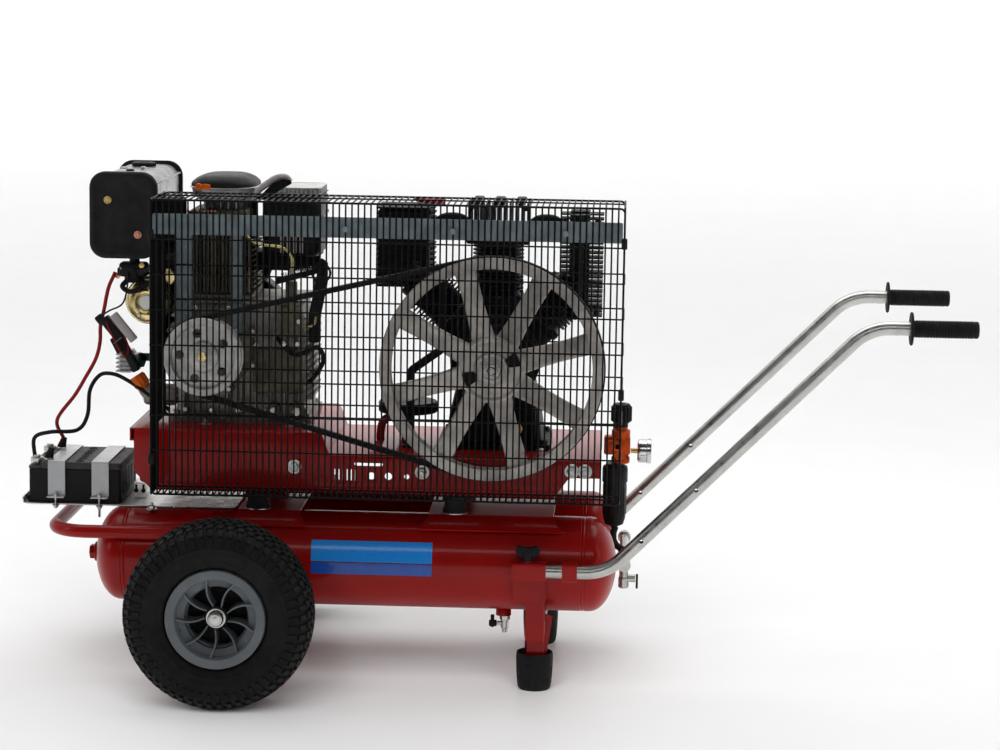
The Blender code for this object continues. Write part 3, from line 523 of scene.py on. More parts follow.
def moulded(name, colour, roughness=0.5, grain=0.00006, **others):
    """Injection-moulded plastic with a fine eroded grain and dusty, scuffed high places."""
    s = Shader(name)
    tone = s.ramp(s.noise(25, 4), (0.3, shade(colour, 0.85)), (0.7, shade(colour, 1.15)))
    scuffs = s.math("MULTIPLY", s.worn_edges(0.0009), s.spread(s.noise(300, 4), 0.4, 0.7))
    tone = s.mix(s.math("MULTIPLY", scuffs, 0.3), tone, tuple(c * 1.6 + 0.05 for c in colour))
    rough = s.spread(s.noise(110, 5), 0.3, 0.7, roughness - 0.08, roughness + 0.1)
    return s.finish(tone, rough, 0.0, s.bump(s.noise(1400, 3), grain), **others)


def rubber(name, colour, roughness=0.7, bloom=0.10):
    """Black rubber with a dusty grey bloom and a slightly pitted skin."""
    s = Shader(name)
    tone = s.ramp(s.noise(30, 6, 0.6), (0.3, shade(colour, 0.8)), (0.75, shade(colour, 1.5)))
    dust = s.math("MULTIPLY", s.spread(s.noise(90, 6, 0.7), 0.48, 0.75), bloom)
    tone = s.mix(dust, tone, (0.16, 0.15, 0.14))
    rough = s.spread(s.noise(55, 5), 0.3, 0.7, roughness - 0.1, roughness + 0.12)
    return s.finish(tone, rough, 0.0, s.bump(s.noise(1000, 4), 0.00009))


def tyre_rubber():
    """Tyre rubber: matt with a dusty tread, a smoother sidewall and fine moulding rings round the axle."""
    s = Shader("tyre_rubber")
    x = s.math("SUBTRACT", s.axis(0), AXLE.x)
    z = s.math("SUBTRACT", s.axis(2), AXLE.z)
    radius = s.math("SQRT", s.math("ADD", s.math("MULTIPLY", x, x), s.math("MULTIPLY", z, z)))
    tread = s.spread(radius, 0.138, 0.160)
    tone = s.ramp(s.noise(45, 6, 0.6), (0.3, (0.008, 0.008, 0.0085)), (0.7, (0.015, 0.015, 0.015)))
    dust = s.math("MULTIPLY", s.spread(s.noise(120, 6, 0.7), 0.45, 0.72), s.math("MULTIPLY", tread, 0.32))
    tone = s.mix(dust, tone, (0.12, 0.115, 0.10))
    rings = s.math("MULTIPLY", s.math("SINE", s.math("MULTIPLY", radius, 2600)), s.spread(radius, 0.132, 0.120))
    skin = s.bump(rings, 0.00008, 0.6)
    return s.finish(tone, s.spread(s.noise(60, 4), 0.3, 0.7, 0.52, 0.78), 0.0,
                    s.bump(s.noise(900, 4), 0.00012, under=skin))


def plated(name, colour, roughness=0.28, streak=(1, 1, 1), stain=(0.40, 0.38, 0.30), amount=0.25, metallic=1.0):
    """Electroplated or bare bright steel with cloudy tone, faint drawing lines and dull spots."""
    s = Shader(name)
    tone = s.ramp(s.noise(30, 5, 0.6), (0.3, shade(colour, 0.8)), (0.7, shade(colour, 1.1)))
    spots = s.math("MULTIPLY", s.spread(s.noise(75, 6, 0.7), 0.5, 0.72), amount)
    tone = s.mix(spots, tone, stain)
    rough = s.spread(s.noise(60, 4, stretch=streak), 0.3, 0.7, roughness - 0.05, roughness + 0.08)
    return s.finish(tone, rough, metallic, s.bump(s.noise(700, 3, stretch=streak), 0.0000015))


def brushed(name, colour, roughness=0.35, streak=(1, 60, 60), metallic=0.95):
    """Sheet metal with long fine rolling lines, fingerprints and dull patches."""
    s = Shader(name)
    lines = s.noise(60, 4, 0.6, stretch=streak)
    tone = s.ramp(lines, (0.3, shade(colour, 0.85)), (0.7, shade(colour, 1.1)))
    tone = s.mix(s.math("MULTIPLY", s.spread(s.noise(18, 5), 0.45, 0.7), 0.25), tone, shade(colour, 0.6))
    rough = s.spread(s.noise(40, 5), 0.3, 0.7, roughness - 0.1, roughness + 0.15)
    return s.finish(tone, rough, metallic, s.bump(lines, 0.00004))


def turned_metal(name, colour, centre, axis_index, pitch=0.0009, roughness=0.3):
    """Machined metal with tool rings round an axis."""
    s = Shader(name)
    parts = [s.math("SUBTRACT", s.axis(i), centre[i]) for i in range(3) if i != axis_index]
    squares = [s.math("MULTIPLY", p, p) for p in parts]
    radius = s.math("SQRT", s.math("ADD", squares[0], squares[1]))
    rings = s.math("SINE", s.math("MULTIPLY", radius, 2 * math.pi / pitch))
    tone = s.ramp(s.noise(50, 5), (0.3, shade(colour, 0.75)), (0.7, shade(colour, 1.15)))
    stain = s.math("MULTIPLY", s.spread(s.noise(24, 5, 0.6), 0.5, 0.72), 0.35)
    tone = s.mix(stain, tone, shade(colour, 0.4))
    skin = s.bump(rings, 0.00004, 0.8)
    return s.finish(tone, s.spread(s.noise(80, 4), 0.3, 0.7, roughness - 0.08, roughness + 0.12), 0.85,
                    s.bump(s.noise(500, 4), 0.00008, under=skin))


def yellow_zinc():
    """Yellow passivate: gold drifting to green and rose in clouds."""
    s = Shader("zinc_yellow")
    clouds = s.noise(38, 4, 0.55, distortion=1.2)
    tone = s.ramp(clouds, (0.28, (0.42, 0.50, 0.20)), (0.42, (0.70, 0.56, 0.24)), (0.56, (0.80, 0.66, 0.34)),
                  (0.74, (0.62, 0.34, 0.22)))
    rough = s.spread(s.noise(120, 4), 0.3, 0.7, 0.18, 0.36)
    return s.finish(tone, rough, 1.0, s.bump(s.noise(500, 3), 0.00005))


def decal_film(box):
    """A plain printed film: a pale blue band over a dark blue one, a thin dark red line between, and no lettering."""
    s = Shader("decal_film")
    height = s.spread(s.axis(2), box[0], box[1])
    tone = s.ramp(height, (0.0, (0.004, 0.085, 0.46)), (0.34, (0.005, 0.095, 0.50)), (0.35, (0.14, 0.02, 0.05)),
                  (0.39, (0.010, 0.30, 0.92)))
    s.tree.nodes[-1].color_ramp.interpolation = "CONSTANT"
    shift = s.mix(s.math("MULTIPLY", s.noise(60, 4), 0.03), tone, (0.5, 0.5, 0.52))
    return s.finish(shift, s.spread(s.noise(140, 4), 0.3, 0.7, 0.22, 0.36), 0.0, s.bump(s.noise(800, 2), 0.00002),
                    Coat_Weight=0.6, Coat_Roughness=0.12)


def wire_insulation(name, colour):
    """Flexible cable sheath with a slight draw texture and dirt in places."""
    s = Shader(name)
    tone = s.ramp(s.noise(60, 5), (0.3, shade(colour, 0.8)), (0.7, shade(colour, 1.2)))
    dirt = s.math("MULTIPLY", s.spread(s.noise(70, 5, 0.7), 0.5, 0.75), 0.35)
    tone = s.mix(dirt, tone, (0.05, 0.04, 0.04))
    return s.finish(tone, s.spread(s.noise(120, 4), 0.3, 0.7, 0.34, 0.5), 0.0, s.bump(s.noise(1100, 3), 0.00006))


def dial_face():
    """A white dial with a printed ring of plain graduations, left open at the bottom, without lettering."""
    s = Shader("dial_face")
    gauge = Node("gauge")
    y = s.math("SUBTRACT", s.axis(1), gauge.mid.y)
    z = s.math("SUBTRACT", s.axis(2), gauge.mid.z)
    radius = s.math("SQRT", s.math("ADD", s.math("MULTIPLY", y, y), s.math("MULTIPLY", z, z)))
    angle = s.math("ARCTAN2", y, s.math("MULTIPLY", z, -1.0))
    ticks = s.math("GREATER_THAN", s.math("SINE", s.math("MULTIPLY", angle, 32.0)), 0.75)
    band = s.math("MULTIPLY", s.math("GREATER_THAN", radius, 0.0150), s.math("LESS_THAN", radius, 0.0180))
    sweep = s.math("GREATER_THAN", s.math("ABSOLUTE", angle), math.radians(42))
    marks = s.math("MULTIPLY", s.math("MULTIPLY", ticks, band), sweep)
    paper = s.ramp(s.noise(90, 4), (0.3, (0.70, 0.70, 0.66)), (0.7, (0.80, 0.80, 0.77)))
    return s.finish(s.mix(marks, paper, (0.02, 0.02, 0.02)), 0.4, 0.0, s.bump(s.noise(600, 2), 0.00002))


def floor_finish():
    """Pale studio floor with a soft sheen, slight random tonal drift, and painted shade: darker near the front,
    brightening towards the backdrop.
    """
    s = Shader("studio_floor")
    # Painted light falloff: the floor colour runs from darker near the front to nearly white towards the backdrop.
    tone = s.ramp(s.spread(s.axis(1), -1.0, 10.0), (0.0, (0.68, 0.68, 0.68)), (0.14, (0.76, 0.76, 0.76)),
                  (0.41, (0.86, 0.86, 0.86)), (1.0, (0.97, 0.97, 0.97)))
    tone = s.mix(s.math("MULTIPLY", s.spread(s.noise(1.3, 4), 0.3, 0.7), 0.05), tone, (0.60, 0.60, 0.61))
    return s.finish(tone, s.spread(s.noise(5, 4), 0.3, 0.7, 0.32, 0.45), 0.0, s.bump(s.noise(45, 3), 0.0004, 0.3))


PUMP_AXIS = Node("pump_flywheel").mid
ENGINE_AXIS = Node("engine_pulley").mid

MATERIALS = {
    "red_paint": gloss_paint("red_paint", (0.34, 0.0035, 0.0020)),
    "red_hose": gloss_paint("red_hose", (0.42, 0.006, 0.008), 0.4, 0.4),
    "tyre_rubber": tyre_rubber(),
    "black_rubber": rubber("black_rubber", (0.014, 0.014, 0.014)),
    "belt_rubber": rubber("belt_rubber", (0.010, 0.010, 0.011), 0.6, 0.2),
    "rim_plastic": moulded("rim_plastic", (0.150, 0.165, 0.178), 0.42, Coat_Weight=0.15, Coat_Roughness=0.3),
    "rim_dark": moulded("rim_dark", (0.010, 0.010, 0.011), 0.55),
    "zinc_steel": plated("zinc_steel", (0.54, 0.54, 0.515), 0.30, (1, 1, 1), (0.40, 0.38, 0.32), 0.12),
    "bolt_steel": plated("bolt_steel", (0.58, 0.58, 0.56), 0.30, (1, 1, 1), (0.45, 0.42, 0.36), 0.3),
    "bright_steel": turned_metal("bright_steel", (0.58, 0.57, 0.55), PUMP_AXIS, 1),
    "black_plastic": moulded("black_plastic", (0.013, 0.013, 0.014), 0.42),
    "black_metal": powder_coat("black_metal", (0.010, 0.010, 0.011), 0.40, 0.1),
    "guard_wire": powder_coat("guard_wire", (0.0035, 0.0035, 0.0040), 0.42, 0.0, (0.03, 0.03, 0.03)),
    "cover_black": powder_coat("cover_black", (0.018, 0.018, 0.020), 0.58, 0.0, (0.12, 0.12, 0.12)),
    "cast_black": casting("cast_black", (0.008, 0.008, 0.0085), 0.5, 0.1, 0.0003, 0.3),
    "cast_aluminium": casting("cast_aluminium", (0.32, 0.305, 0.275), 0.52, 0.75, 0.0003, 0.6),
    "elbow_cast": casting("elbow_cast", (0.50, 0.46, 0.45), 0.45, 0.25, 0.0001, 0.15),
    "dirty_aluminium": casting("dirty_aluminium", (0.185, 0.17, 0.125), 0.55, 0.6, 0.0003, 0.7),
    "pulley_casting": turned_metal("pulley_casting", (0.62, 0.61, 0.59), ENGINE_AXIS, 1, 0.0011, 0.42),
    "wheel_casting": casting("wheel_casting", (0.55, 0.515, 0.48), 0.46, 0.55, 0.0002, 0.2),
    "grey_steel": powder_coat("grey_steel", (0.190, 0.232, 0.250), 0.42, 0.3, (0.4, 0.42, 0.42)),
    "tank_silver": casting("tank_silver", (0.44, 0.43, 0.43), 0.34, 0.75, 0.00006, 0.12),
    "tray_aluminium": brushed("tray_aluminium", (0.74, 0.74, 0.73), 0.32),
    "strap_aluminium": brushed("strap_aluminium", (0.62, 0.63, 0.64), 0.38, (60, 1, 60), 0.8),
    "zinc_yellow": yellow_zinc(),
    "brass": plated("brass", (0.74, 0.52, 0.20), 0.26, (1, 1, 1), (0.30, 0.20, 0.08), 0.4),
    "copper": plated("copper", (0.72, 0.33, 0.20), 0.3, (1, 1, 1), (0.25, 0.12, 0.08), 0.4),
    "orange_plastic": moulded("orange_plastic", (0.80, 0.15, 0.015), 0.36),
    "regulator_orange": casting("regulator_orange", (0.62, 0.085, 0.012), 0.36, 0.35, 0.00015, 0.15),
    "chrome": plated("chrome", (0.66, 0.66, 0.66), 0.16, (1, 1, 1), (0.5, 0.5, 0.5), 0.15),
    "red_cable": wire_insulation("red_cable", (0.35, 0.012, 0.012)),
    "black_cable": wire_insulation("black_cable", (0.014, 0.014, 0.015)),
    "grey_plastic": moulded("grey_plastic", (0.46, 0.42, 0.43), 0.5),
    "green_board": moulded("green_board", (0.010, 0.055, 0.036), 0.45),
    "label_grey": moulded("label_grey", (0.060, 0.058, 0.058), 0.5),
    "dial_face": dial_face(),
}


# ---------------------------------------------------------------- air tanks and steelwork


def make_tank(side, sign):
    """A pressed tank: two dished ends welded to a rolled shell, a plug, ports and its seam."""
    node = Node(f"{side}_tank")
    plug_length = 0.014
    dome = 0.046
    radius = node.size.z / 2
    start = node.low.x + plug_length
    end = node.high.x
    axis_y, axis_z = node.mid.y, node.mid.z
    steps = 14
    left = [(radius * math.sin(a), start + dome * (1 - math.cos(a)))
            for a in (math.radians(90 * k / steps) for k in range(steps + 1))]
    right = [(radius * math.sin(a), end - dome * (1 - math.cos(a)))
             for a in (math.radians(90 * k / steps) for k in range(steps, -1, -1))]
    bead = 0.0009
    seams = []
    for seam in (start + dome + 0.012, end - dome - 0.012):
        seams += [(radius, seam - 0.004), (radius - bead, seam - 0.003), (radius - bead * 0.2, seam - 0.0015),
                  (radius - bead * 0.1, seam + 0.0015), (radius - bead, seam + 0.003), (radius, seam + 0.004)]
    shape = new_shape()
    add_turned(shape, left + seams + right, (0, axis_y, axis_z), X, 96)
    for x, way in ((start + 0.001, -1), (end - 0.001, 1)):
        boss_end = 0.005 if way < 0 else 0.0
        add_turned(shape, [(0, -0.006), (0.0175, -0.006), (0.0175, boss_end - 0.001), (0.0165, boss_end),
                           (0, boss_end)], (x, axis_y, axis_z), X * way, 32)
    add_box(shape, (start + dome + 0.03, axis_y - 0.0035, axis_z - radius - 0.0006),
            (end - dome - 0.03, axis_y + 0.0035, axis_z - radius + 0.002), 0.0006, 1)
    tank = piece(f"{side}_air_tank", shape, "red_paint", "chassis", f"{side}_tank")

    shape = new_shape()
    add_hex(shape, (start - 0.004, axis_y, axis_z), -X, 0.0235, plug_length - 0.0045, 0.08)
    piece(f"{side}_tank_plug", shape, "red_paint", "chassis", smooth=20)
    return tank


def make_tank_fittings():
    """Welded lugs and drain bosses on both tanks, and the bracket nuts."""
    left, right = Node("left_tank"), Node("right_tank")
    shape = new_shape()
    for node in (left, right):
        top = node.high.z
        for station in (-0.166, -0.055):
            x = AXLE.x + station
            outline = [(x - 0.014, top - 0.012), (x + 0.014, top - 0.012), (x + 0.014, top + 0.001),
                       (x - 0.014, top + 0.001)]
            y = node.mid.y - 0.030 * (1 if node is left else -1)
            add_prism(shape, outline, (y - 0.002, y + 0.002), across_y)
        drain = Node("drain_cock").mid
        add_turned(shape, [(0, 0), (0.0135, 0), (0.0135, 0.012), (0.0110, 0.017), (0, 0.017)],
                   (drain.x, node.mid.y, node.low.z - 0.0125), Z, 32)
    piece("tank_lugs_and_bosses", shape, "red_paint", "chassis")

    shape = new_shape()
    place = Vector((AXLE.x - 0.150, left.mid.y - 0.026, left.high.z + 0.0006))
    add_bolt(shape, place, Z, 0.011, stud=0.006)
    add_bolt(shape, Vector((place.x, -place.y, place.z)), Z, 0.011, stud=0.006)
    piece("tank_bracket_nuts", shape, "bolt_steel", "chassis")


def make_tank_panel():
    """The plain two-tone film on the left tank, wrapped on its curve."""
    tank = Node("left_tank")
    radius = tank.size.z / 2 + 0.0004
    start, end = AXLE.x + 0.1390, AXLE.x + 0.3505
    first, last = math.radians(-8), math.radians(33)
    rows = []
    steps = 20
    for k in range(steps + 1):
        angle = first + (last - first) * k / steps
        y = tank.mid.y - radius * math.cos(angle)
        z = tank.mid.z + radius * math.sin(angle)
        back_y = tank.mid.y - (radius - 0.0008) * math.cos(angle)
        back_z = tank.mid.z + (radius - 0.0008) * math.sin(angle)
        rows.append([(start, y, z), (end, y, z), (end, back_y, back_z), (start, back_y, back_z)])
    shape = new_shape()
    add_loft(shape, rows)
    low = tank.mid.z + radius * math.sin(first)
    high = tank.mid.z + radius * math.sin(last)
    MATERIALS["decal_film"] = decal_film((low, high))
    piece("tank_panel_film", shape, "decal_film", "chassis")


def saddle_sheet(shape, start, end, top, half, drop, flare, lean):
    """A pressed sheet lying over both tanks, its two long sides turned down and flared onto them."""
    thick = 0.003
    for sign in (-1, 1):
        rows = []
        for a, b in ((half - 0.006, top), (half, top - 0.003), (half + flare, top - drop)):
            spread = 0 if b > top - 0.004 else lean
            rows.append([(start - spread, sign * a, b), (end + spread, sign * a, b),
                         (end + spread, sign * (a - thick * 0.6), b - thick), (start - spread, sign * (a - thick * 0.6),
                                                                            b - thick)])
        add_loft(shape, rows)
    add_box(shape, (start, -half + 0.004, top - thick), (end, half - 0.004, top), 0.0006, 1)


def make_axle_cradle():
    """Cross beam, axle plates and saddle that carry the wheels."""
    node = Node("axle_cradle")
    saddle_top = node.high.z
    half_beam = 0.236
    shape = new_shape()
    beam = (AXLE.x - 0.030, AXLE.x + 0.030)
    add_box(shape, (beam[0], -half_beam, node.low.z), (beam[1], half_beam, node.low.z + 0.0375), 0.004, 3)
    add_box(shape, (AXLE.x, -0.004, 0.120), (AXLE.x + 0.028, 0.004, saddle_top - 0.002))
    saddle_sheet(shape, AXLE.x + 0.004, AXLE.x + 0.115, saddle_top, 0.160, 0.022, 0.022, 0.012)
    for sign in (-1, 1):
        outline = rounded_polygon([(AXLE.x - 0.030, 0.096), (AXLE.x + 0.030, 0.096), (AXLE.x + 0.030, 0.170),
                                   (AXLE.x + 0.014, 0.205), (AXLE.x - 0.014, 0.205), (AXLE.x - 0.030, 0.170)], 0.006)
        add_prism(shape, outline, (sign * 0.222, sign * 0.2338), across_y, 0.0008)
    piece("axle_cradle_weldment", shape, "red_paint", "chassis", "axle_cradle")

    shape = new_shape()
    wheel_y = abs(Node("left_rim").mid.y)
    hub = Node("left_rim").size.y / 2
    for sign in (-1, 1):
        centre = Vector((AXLE.x, 0, AXLE.z))
        outer = sign * (wheel_y + 0.035 + 0.0015)
        inner = sign * (wheel_y - 0.035 - 0.0015)
        add_rod(shape, centre + Y * sign * 0.230, centre + Y * (outer + sign * 0.0125), 0.0098, 32, 0.0015)
        add_rod(shape, centre + Y * sign * 0.2335, centre + Y * inner, 0.0148, 32, 0.001)
    piece("axle_stubs", shape, "bolt_steel", "chassis")

    shape = new_shape()
    for sign in (-1, 1):
        outer = Vector((AXLE.x, sign * (wheel_y + 0.035 + 0.0015), AXLE.z))
        add_turned(shape, [(0, 0), (0.0165, 0), (0.0165, 0.0015), (0, 0.0015)], outer, Y * sign, 40)
        add_turned(shape, [(0, 0.001), (0.0135, 0.001), (0.0135, 0.0075), (0.0115, 0.0110), (0.006, 0.0125),
                           (0, 0.0130)], outer, Y * sign, 40)
    piece("axle_nuts", shape, "bolt_steel", "chassis")


def make_leg_cradle():
    """Cross bar, angle legs with their gussets, front saddle, side plates and the handle sockets."""
    node = Node("leg_cradle")
    saddle_top = node.high.z
    foot = Node("left_foot")
    handle = Node("left_handle_tube")
    socket_half = 0.0155
    handle_y = abs(Node("left_grip").mid.y)
    handle_z = Node("left_handle_tube").low.z + 0.012
    shape = new_shape()
    add_box(shape, at(0.514, -0.203, 0.100), at(0.549, 0.203, 0.130), 0.002, 2)
    add_box(shape, at(0.516, -0.004, 0.120), at(0.547, 0.004, saddle_top - 0.002))
    saddle_sheet(shape, AXLE.x + 0.340, AXLE.x + 0.560, saddle_top, 0.160, 0.022, 0.022, 0.014)
    for side, sign in SIDES:
        leg_y = sign * (abs(foot.mid.y) + 0.0175)
        inner = sign * (abs(foot.mid.y) - 0.0165)
        low = foot.low.z + 0.0135
        near = sorted((leg_y, leg_y - sign * 0.004))
        add_box(shape, at(0.5145, near[0], low), at(0.5485, near[1], 0.150), 0.0008, 1)
        add_box(shape, at(0.5145, min(leg_y, inner), low), at(0.5185, max(leg_y, inner), 0.128), 0.0008, 1)
        outline = [(AXLE.x + 0.5470, 0.060), (AXLE.x + 0.5525, 0.062), (AXLE.x + 0.5620, 0.132),
                   (AXLE.x + 0.5470, 0.136)]
        add_prism(shape, outline, (sign * 0.1790, sign * 0.1750), across_y, 0.0004)
        plate = rounded_polygon([(AXLE.x + 0.4915, 0.160), (AXLE.x + 0.5495, 0.160), (AXLE.x + 0.5495, 0.2345),
                                 (AXLE.x + 0.4915, 0.2345)], 0.004)
        add_prism(shape, plate, (sign * 0.2040, sign * 0.2088), across_y, 0.0006)
        strut = [(AXLE.x + 0.5152, 0.092), (AXLE.x + 0.5480, 0.092), (AXLE.x + 0.5480, 0.170), (AXLE.x + 0.5152, 0.170)]
        add_prism(shape, strut, (sign * 0.1985, sign * 0.2060), across_y, 0.0006)
        for start, end in ((0.491, 0.550), (0.578, 0.604)):
            outer_skin = rounded_outline(socket_half, socket_half, 0.004)
            bore = [(0.0124 * math.cos(t), 0.0124 * math.sin(t))
                    for t in (2 * math.pi * k / len(outer_skin) + math.radians(0) for k in range(len(outer_skin)))]
            rows = [[at(x, sign * handle_y + a, handle_z + b) for a, b in line]
                    for x, line in ((start, outer_skin), (end, outer_skin), (end, bore), (start, bore))]
            add_loft(shape, rows, closed=True)
        link = rounded_polygon([(AXLE.x + 0.540, handle_z - 0.008), (AXLE.x + 0.603, handle_z - 0.008),
                                (AXLE.x + 0.603, handle_z + 0.008), (AXLE.x + 0.540, handle_z + 0.008)], 0.002)
        add_prism(shape, link, (sign * 0.2042, sign * 0.2086), across_y, 0.0005)
        knob_x = Node(f"{side}_clamp_knob").mid.x
        add_turned(shape, [(0.0045, 0), (0.0090, 0), (0.0090, 0.0030), (0.0045, 0.0030)],
                   (knob_x, sign * handle_y, handle_z + socket_half - 0.0006), Z, 24)
    piece("leg_cradle_weldment", shape, "red_paint", "chassis", "leg_cradle", 28)


def make_feet():
    for side, sign in SIDES:
        node = Node(f"{side}_foot")
        low, high = node.low.z, node.high.z
        r = node.size.x / 2
        profile = [(0, low), (r * 0.80, low), (r * 0.88, low + 0.003), (r * 0.935, low + 0.012)]
        for k in range(1, 7):
            t = k / 7
            profile.append((r * (0.935 + 0.065 * math.sin(t * math.pi * 0.62)), low + 0.012 + (high - low - 0.012) * t))
        profile += [(r * 0.985, high - 0.003), (r * 0.965, high), (r * 0.90, high), (r * 0.875, high - 0.0025),
                    (r * 0.865, low + 0.013), (0, low + 0.012)]
        shape = new_shape()
        add_turned(shape, profile, (node.mid.x, node.mid.y, 0), Z, 64)
        piece(f"{side}_rubber_foot", shape, "black_rubber", "chassis", f"{side}_foot")


def make_bumper():
    """The bent tube round the engine end, with two small brackets near each end."""
    node = Node("bumper_tube")
    radius = node.size.z / 2
    half = node.size.y / 2 - radius
    z = node.mid.z
    corners = [(node.high.x, -half, z), (node.low.x + radius, -half, z), (node.low.x + radius, half, z),
               (node.high.x, half, z)]
    shape = new_shape()
    add_tube(shape, rounded_path(corners, 0.062, 14), radius, 28, wall=0.002)
    for sign in (-1, 1):
        y = sign * half
        for x in (node.high.x - 0.052, node.high.x - 0.012):
            add_box(shape, (x, min(y, y - sign * 0.010) - 0.001, z - radius - 0.004),
                    (x + 0.006, max(y, y - sign * 0.010) + 0.001, z + radius * 0.2), 0.001, 1)
    piece("bumper_hoop", shape, "red_paint", "chassis", "bumper_tube")


def make_base_frame():
    """The folded deck: its sides are turned down with rounded bends, slotted and pierced, and lipped inwards."""
    node = Node("base_frame")
    half = node.size.y / 2
    deck_high = node.high.z
    deck_low = 0.407
    bottom = node.low.z
    bend = 0.005
    sheet = 0.003
    lip = 0.030

    def section(x, low, high, widen=0.0):
        """The outer line of the channel at a station: lip, side, top, side, lip, with rounded bends."""
        h = half + widen
        line = [(-(h - lip), low)]
        for cy, cz, first in ((-(h - bend), low + bend, 270), (-(h - bend), high - bend, 180)):
            line += [(cy + bend * math.cos(math.radians(first - 90 * k / 4)),
                      cz + bend * math.sin(math.radians(first - 90 * k / 4))) for k in range(5)]
        for cy, cz, first in (((h - bend), high - bend, 90), ((h - bend), low + bend, 0)):
            line += [(cy + bend * math.cos(math.radians(first - 90 * k / 4)),
                      cz + bend * math.sin(math.radians(first - 90 * k / 4))) for k in range(5)]
        line.append((h - lip, low))
        return [at(x, y, z) for y, z in line]

    stations = [(-0.178, 0.370, deck_high), (-0.176, 0.366, deck_high), (-0.150, bottom, deck_high),
                (0.148, bottom, deck_high), (0.152, bottom, deck_high - 0.002), (0.165, bottom, deck_low + 0.002),
                (0.169, bottom, deck_low), (0.560, bottom, deck_low), (0.586, 0.375, deck_low),
                (0.640, 0.375, deck_low)]
    shape = new_shape()
    rows = [[shape.verts.new(p) for p in section(*s)] for s in stations]
    for a, b in zip(rows, rows[1:]):
        for k in range(len(a) - 1):
            shape.faces.new((a[k], a[k + 1], b[k + 1], b[k]))
    bmesh.ops.recalc_face_normals(shape, faces=shape.faces)
    mesh = bpy.data.meshes.new("deck_channel")
    shape.to_mesh(mesh)
    shape.free()
    deck = bpy.data.objects.new("deck_channel", mesh)
    bpy.context.scene.collection.objects.link(deck)
    solidify = deck.modifiers.new("sheet", "SOLIDIFY")
    solidify.thickness = sheet
    top_face = max(mesh.polygons, key=lambda face: face.center.z)
    solidify.offset = -1 if top_face.normal.z > 0 else 1
    solidify.use_even_offset = True
    bpy.context.view_layer.update()
    solid = bpy.data.meshes.new_from_object(deck.evaluated_get(bpy.context.evaluated_depsgraph_get()))
    bpy.data.objects.remove(deck)
    deck = mesh_piece("deck_channel", solid, "red_paint", "chassis", "base_frame", 25)

    cutters = new_shape()
    for x, z, r in ((0.240, 0.371, 0.0065), (0.270, 0.371, 0.0065), (0.302, 0.371, 0.0045)):
        add_rod(cutters, at(x, -half - 0.02, z), at(x, half + 0.02, z), r, 20)
    slot = rounded_outline(0.025, 0.0035, 0.0034, 4)
    near_wall = (-half - 0.02, -half + 0.02)
    add_prism(cutters, [(AXLE.x + 0.235 + a, 0.392 + b) for a, b in slot], near_wall, across_y)
    for k in range(6):
        x = AXLE.x + 0.176 + 0.0072 * k
        add_prism(cutters, [(x - 0.0008, 0.362), (x + 0.0008, 0.362), (x + 0.0008, 0.382), (x - 0.0008, 0.382)],
                  near_wall, across_y)
    for x in (-0.05, 0.02, 0.09):
        add_prism(cutters, [(AXLE.x + x - 0.012 + a, 0.03 + b) for a, b in rounded_outline(0.020, 0.045, 0.010, 4)],
                  (deck_high - 0.02, deck_high + 0.02), across_z)
    cut_piece(deck, cutters)

    shape = new_shape()
    x0, x1 = node.low.x, AXLE.x - 0.176
    add_box(shape, (x0, -half + 0.004, deck_high - 0.023), (x0 + 0.003, half - 0.004, deck_high), 0.0006, 1)
    add_box(shape, (x0 + 0.002, -half + 0.004, deck_high - 0.0031), (x1 + 0.004, half - 0.004, deck_high - 0.0001),
            0.0006, 1)
    add_box(shape, (x0 + 0.002, -half + 0.004, deck_high - 0.023), (x0 + 0.012, half - 0.004, deck_high - 0.020),
            0.0006, 1)
    for sign in (-1, 1):
        rib = rounded_polygon([(AXLE.x - 0.168, 0.352), (AXLE.x - 0.140, 0.343), (AXLE.x - 0.128, 0.380),
                               (AXLE.x - 0.140, 0.425), (AXLE.x - 0.168, 0.430)], 0.006)
        add_prism(shape, rib, (sign * (half - 0.003), sign * (half - 0.0005)), across_y, 0.0004)
    add_box(shape, (x1 + 0.002, -half + 0.010, 0.385), (x1 + 0.005, half - 0.010, deck_high - 0.002), 0.0006, 1)
    piece("deck_end_flange", shape, "red_paint", "chassis")

    shape = new_shape()
    for x, z in ((0.1050, 0.3845), (0.3290, 0.3800), (0.5900, 0.3880), (0.6130, 0.3880)):
        for sign in (-1, 1):
            add_bolt(shape, at(x, sign * (half + 0.0001), z), Y * sign, 0.0150, stud=0.004)
    piece("deck_side_bolts", shape, "bolt_steel", "chassis")

    shape = new_shape()
    for station, deck_z in ((-0.060, deck_high), (0.090, deck_high)):
        for y in (-0.100, 0.125):
            add_bolt(shape, at(station, y, deck_z), Z, 0.013)
    for station in (0.366, 0.532):
        for y in (-0.098, 0.104):
            add_bolt(shape, at(station, y, deck_low), Z, 0.013)
    piece("deck_top_bolts", shape, "bolt_steel", "chassis")


def make_dampers():
    """Rubber bobbins between two washers, waisted in the middle."""
    for end in ("front", "rear"):
        for side, sign in SIDES:
            node = Node(f"damper_{end}_{side}")
            low, high, r = node.low.z, node.high.z, node.size.x / 2
            waist = [(r * (1 - 0.16 * math.sin(math.pi * k / 8)), low + 0.003 + (high - low - 0.006) * k / 8)
                     for k in range(9)]
            shape = new_shape()
            add_turned(shape, [(0, low + 0.0012), (r, low + 0.0012)] + waist + [(r, high - 0.0012), (0, high - 0.0012)],
                       (node.mid.x, node.mid.y, 0), Z, 40)
            piece(f"damper_{end}_{side}_rubber", shape, "black_rubber", "chassis", node.name)
            shape = new_shape()
            for base in (low, high - 0.0012):
                add_turned(shape, [(0, base), (r * 1.02, base), (r * 1.02, base + 0.0012), (0, base + 0.0012)],
                           (node.mid.x, node.mid.y, 0), Z, 40)
            piece(f"damper_{end}_{side}_plates", shape, "bolt_steel", "chassis")


# ---------------------------------------------------------------- wheels and handles


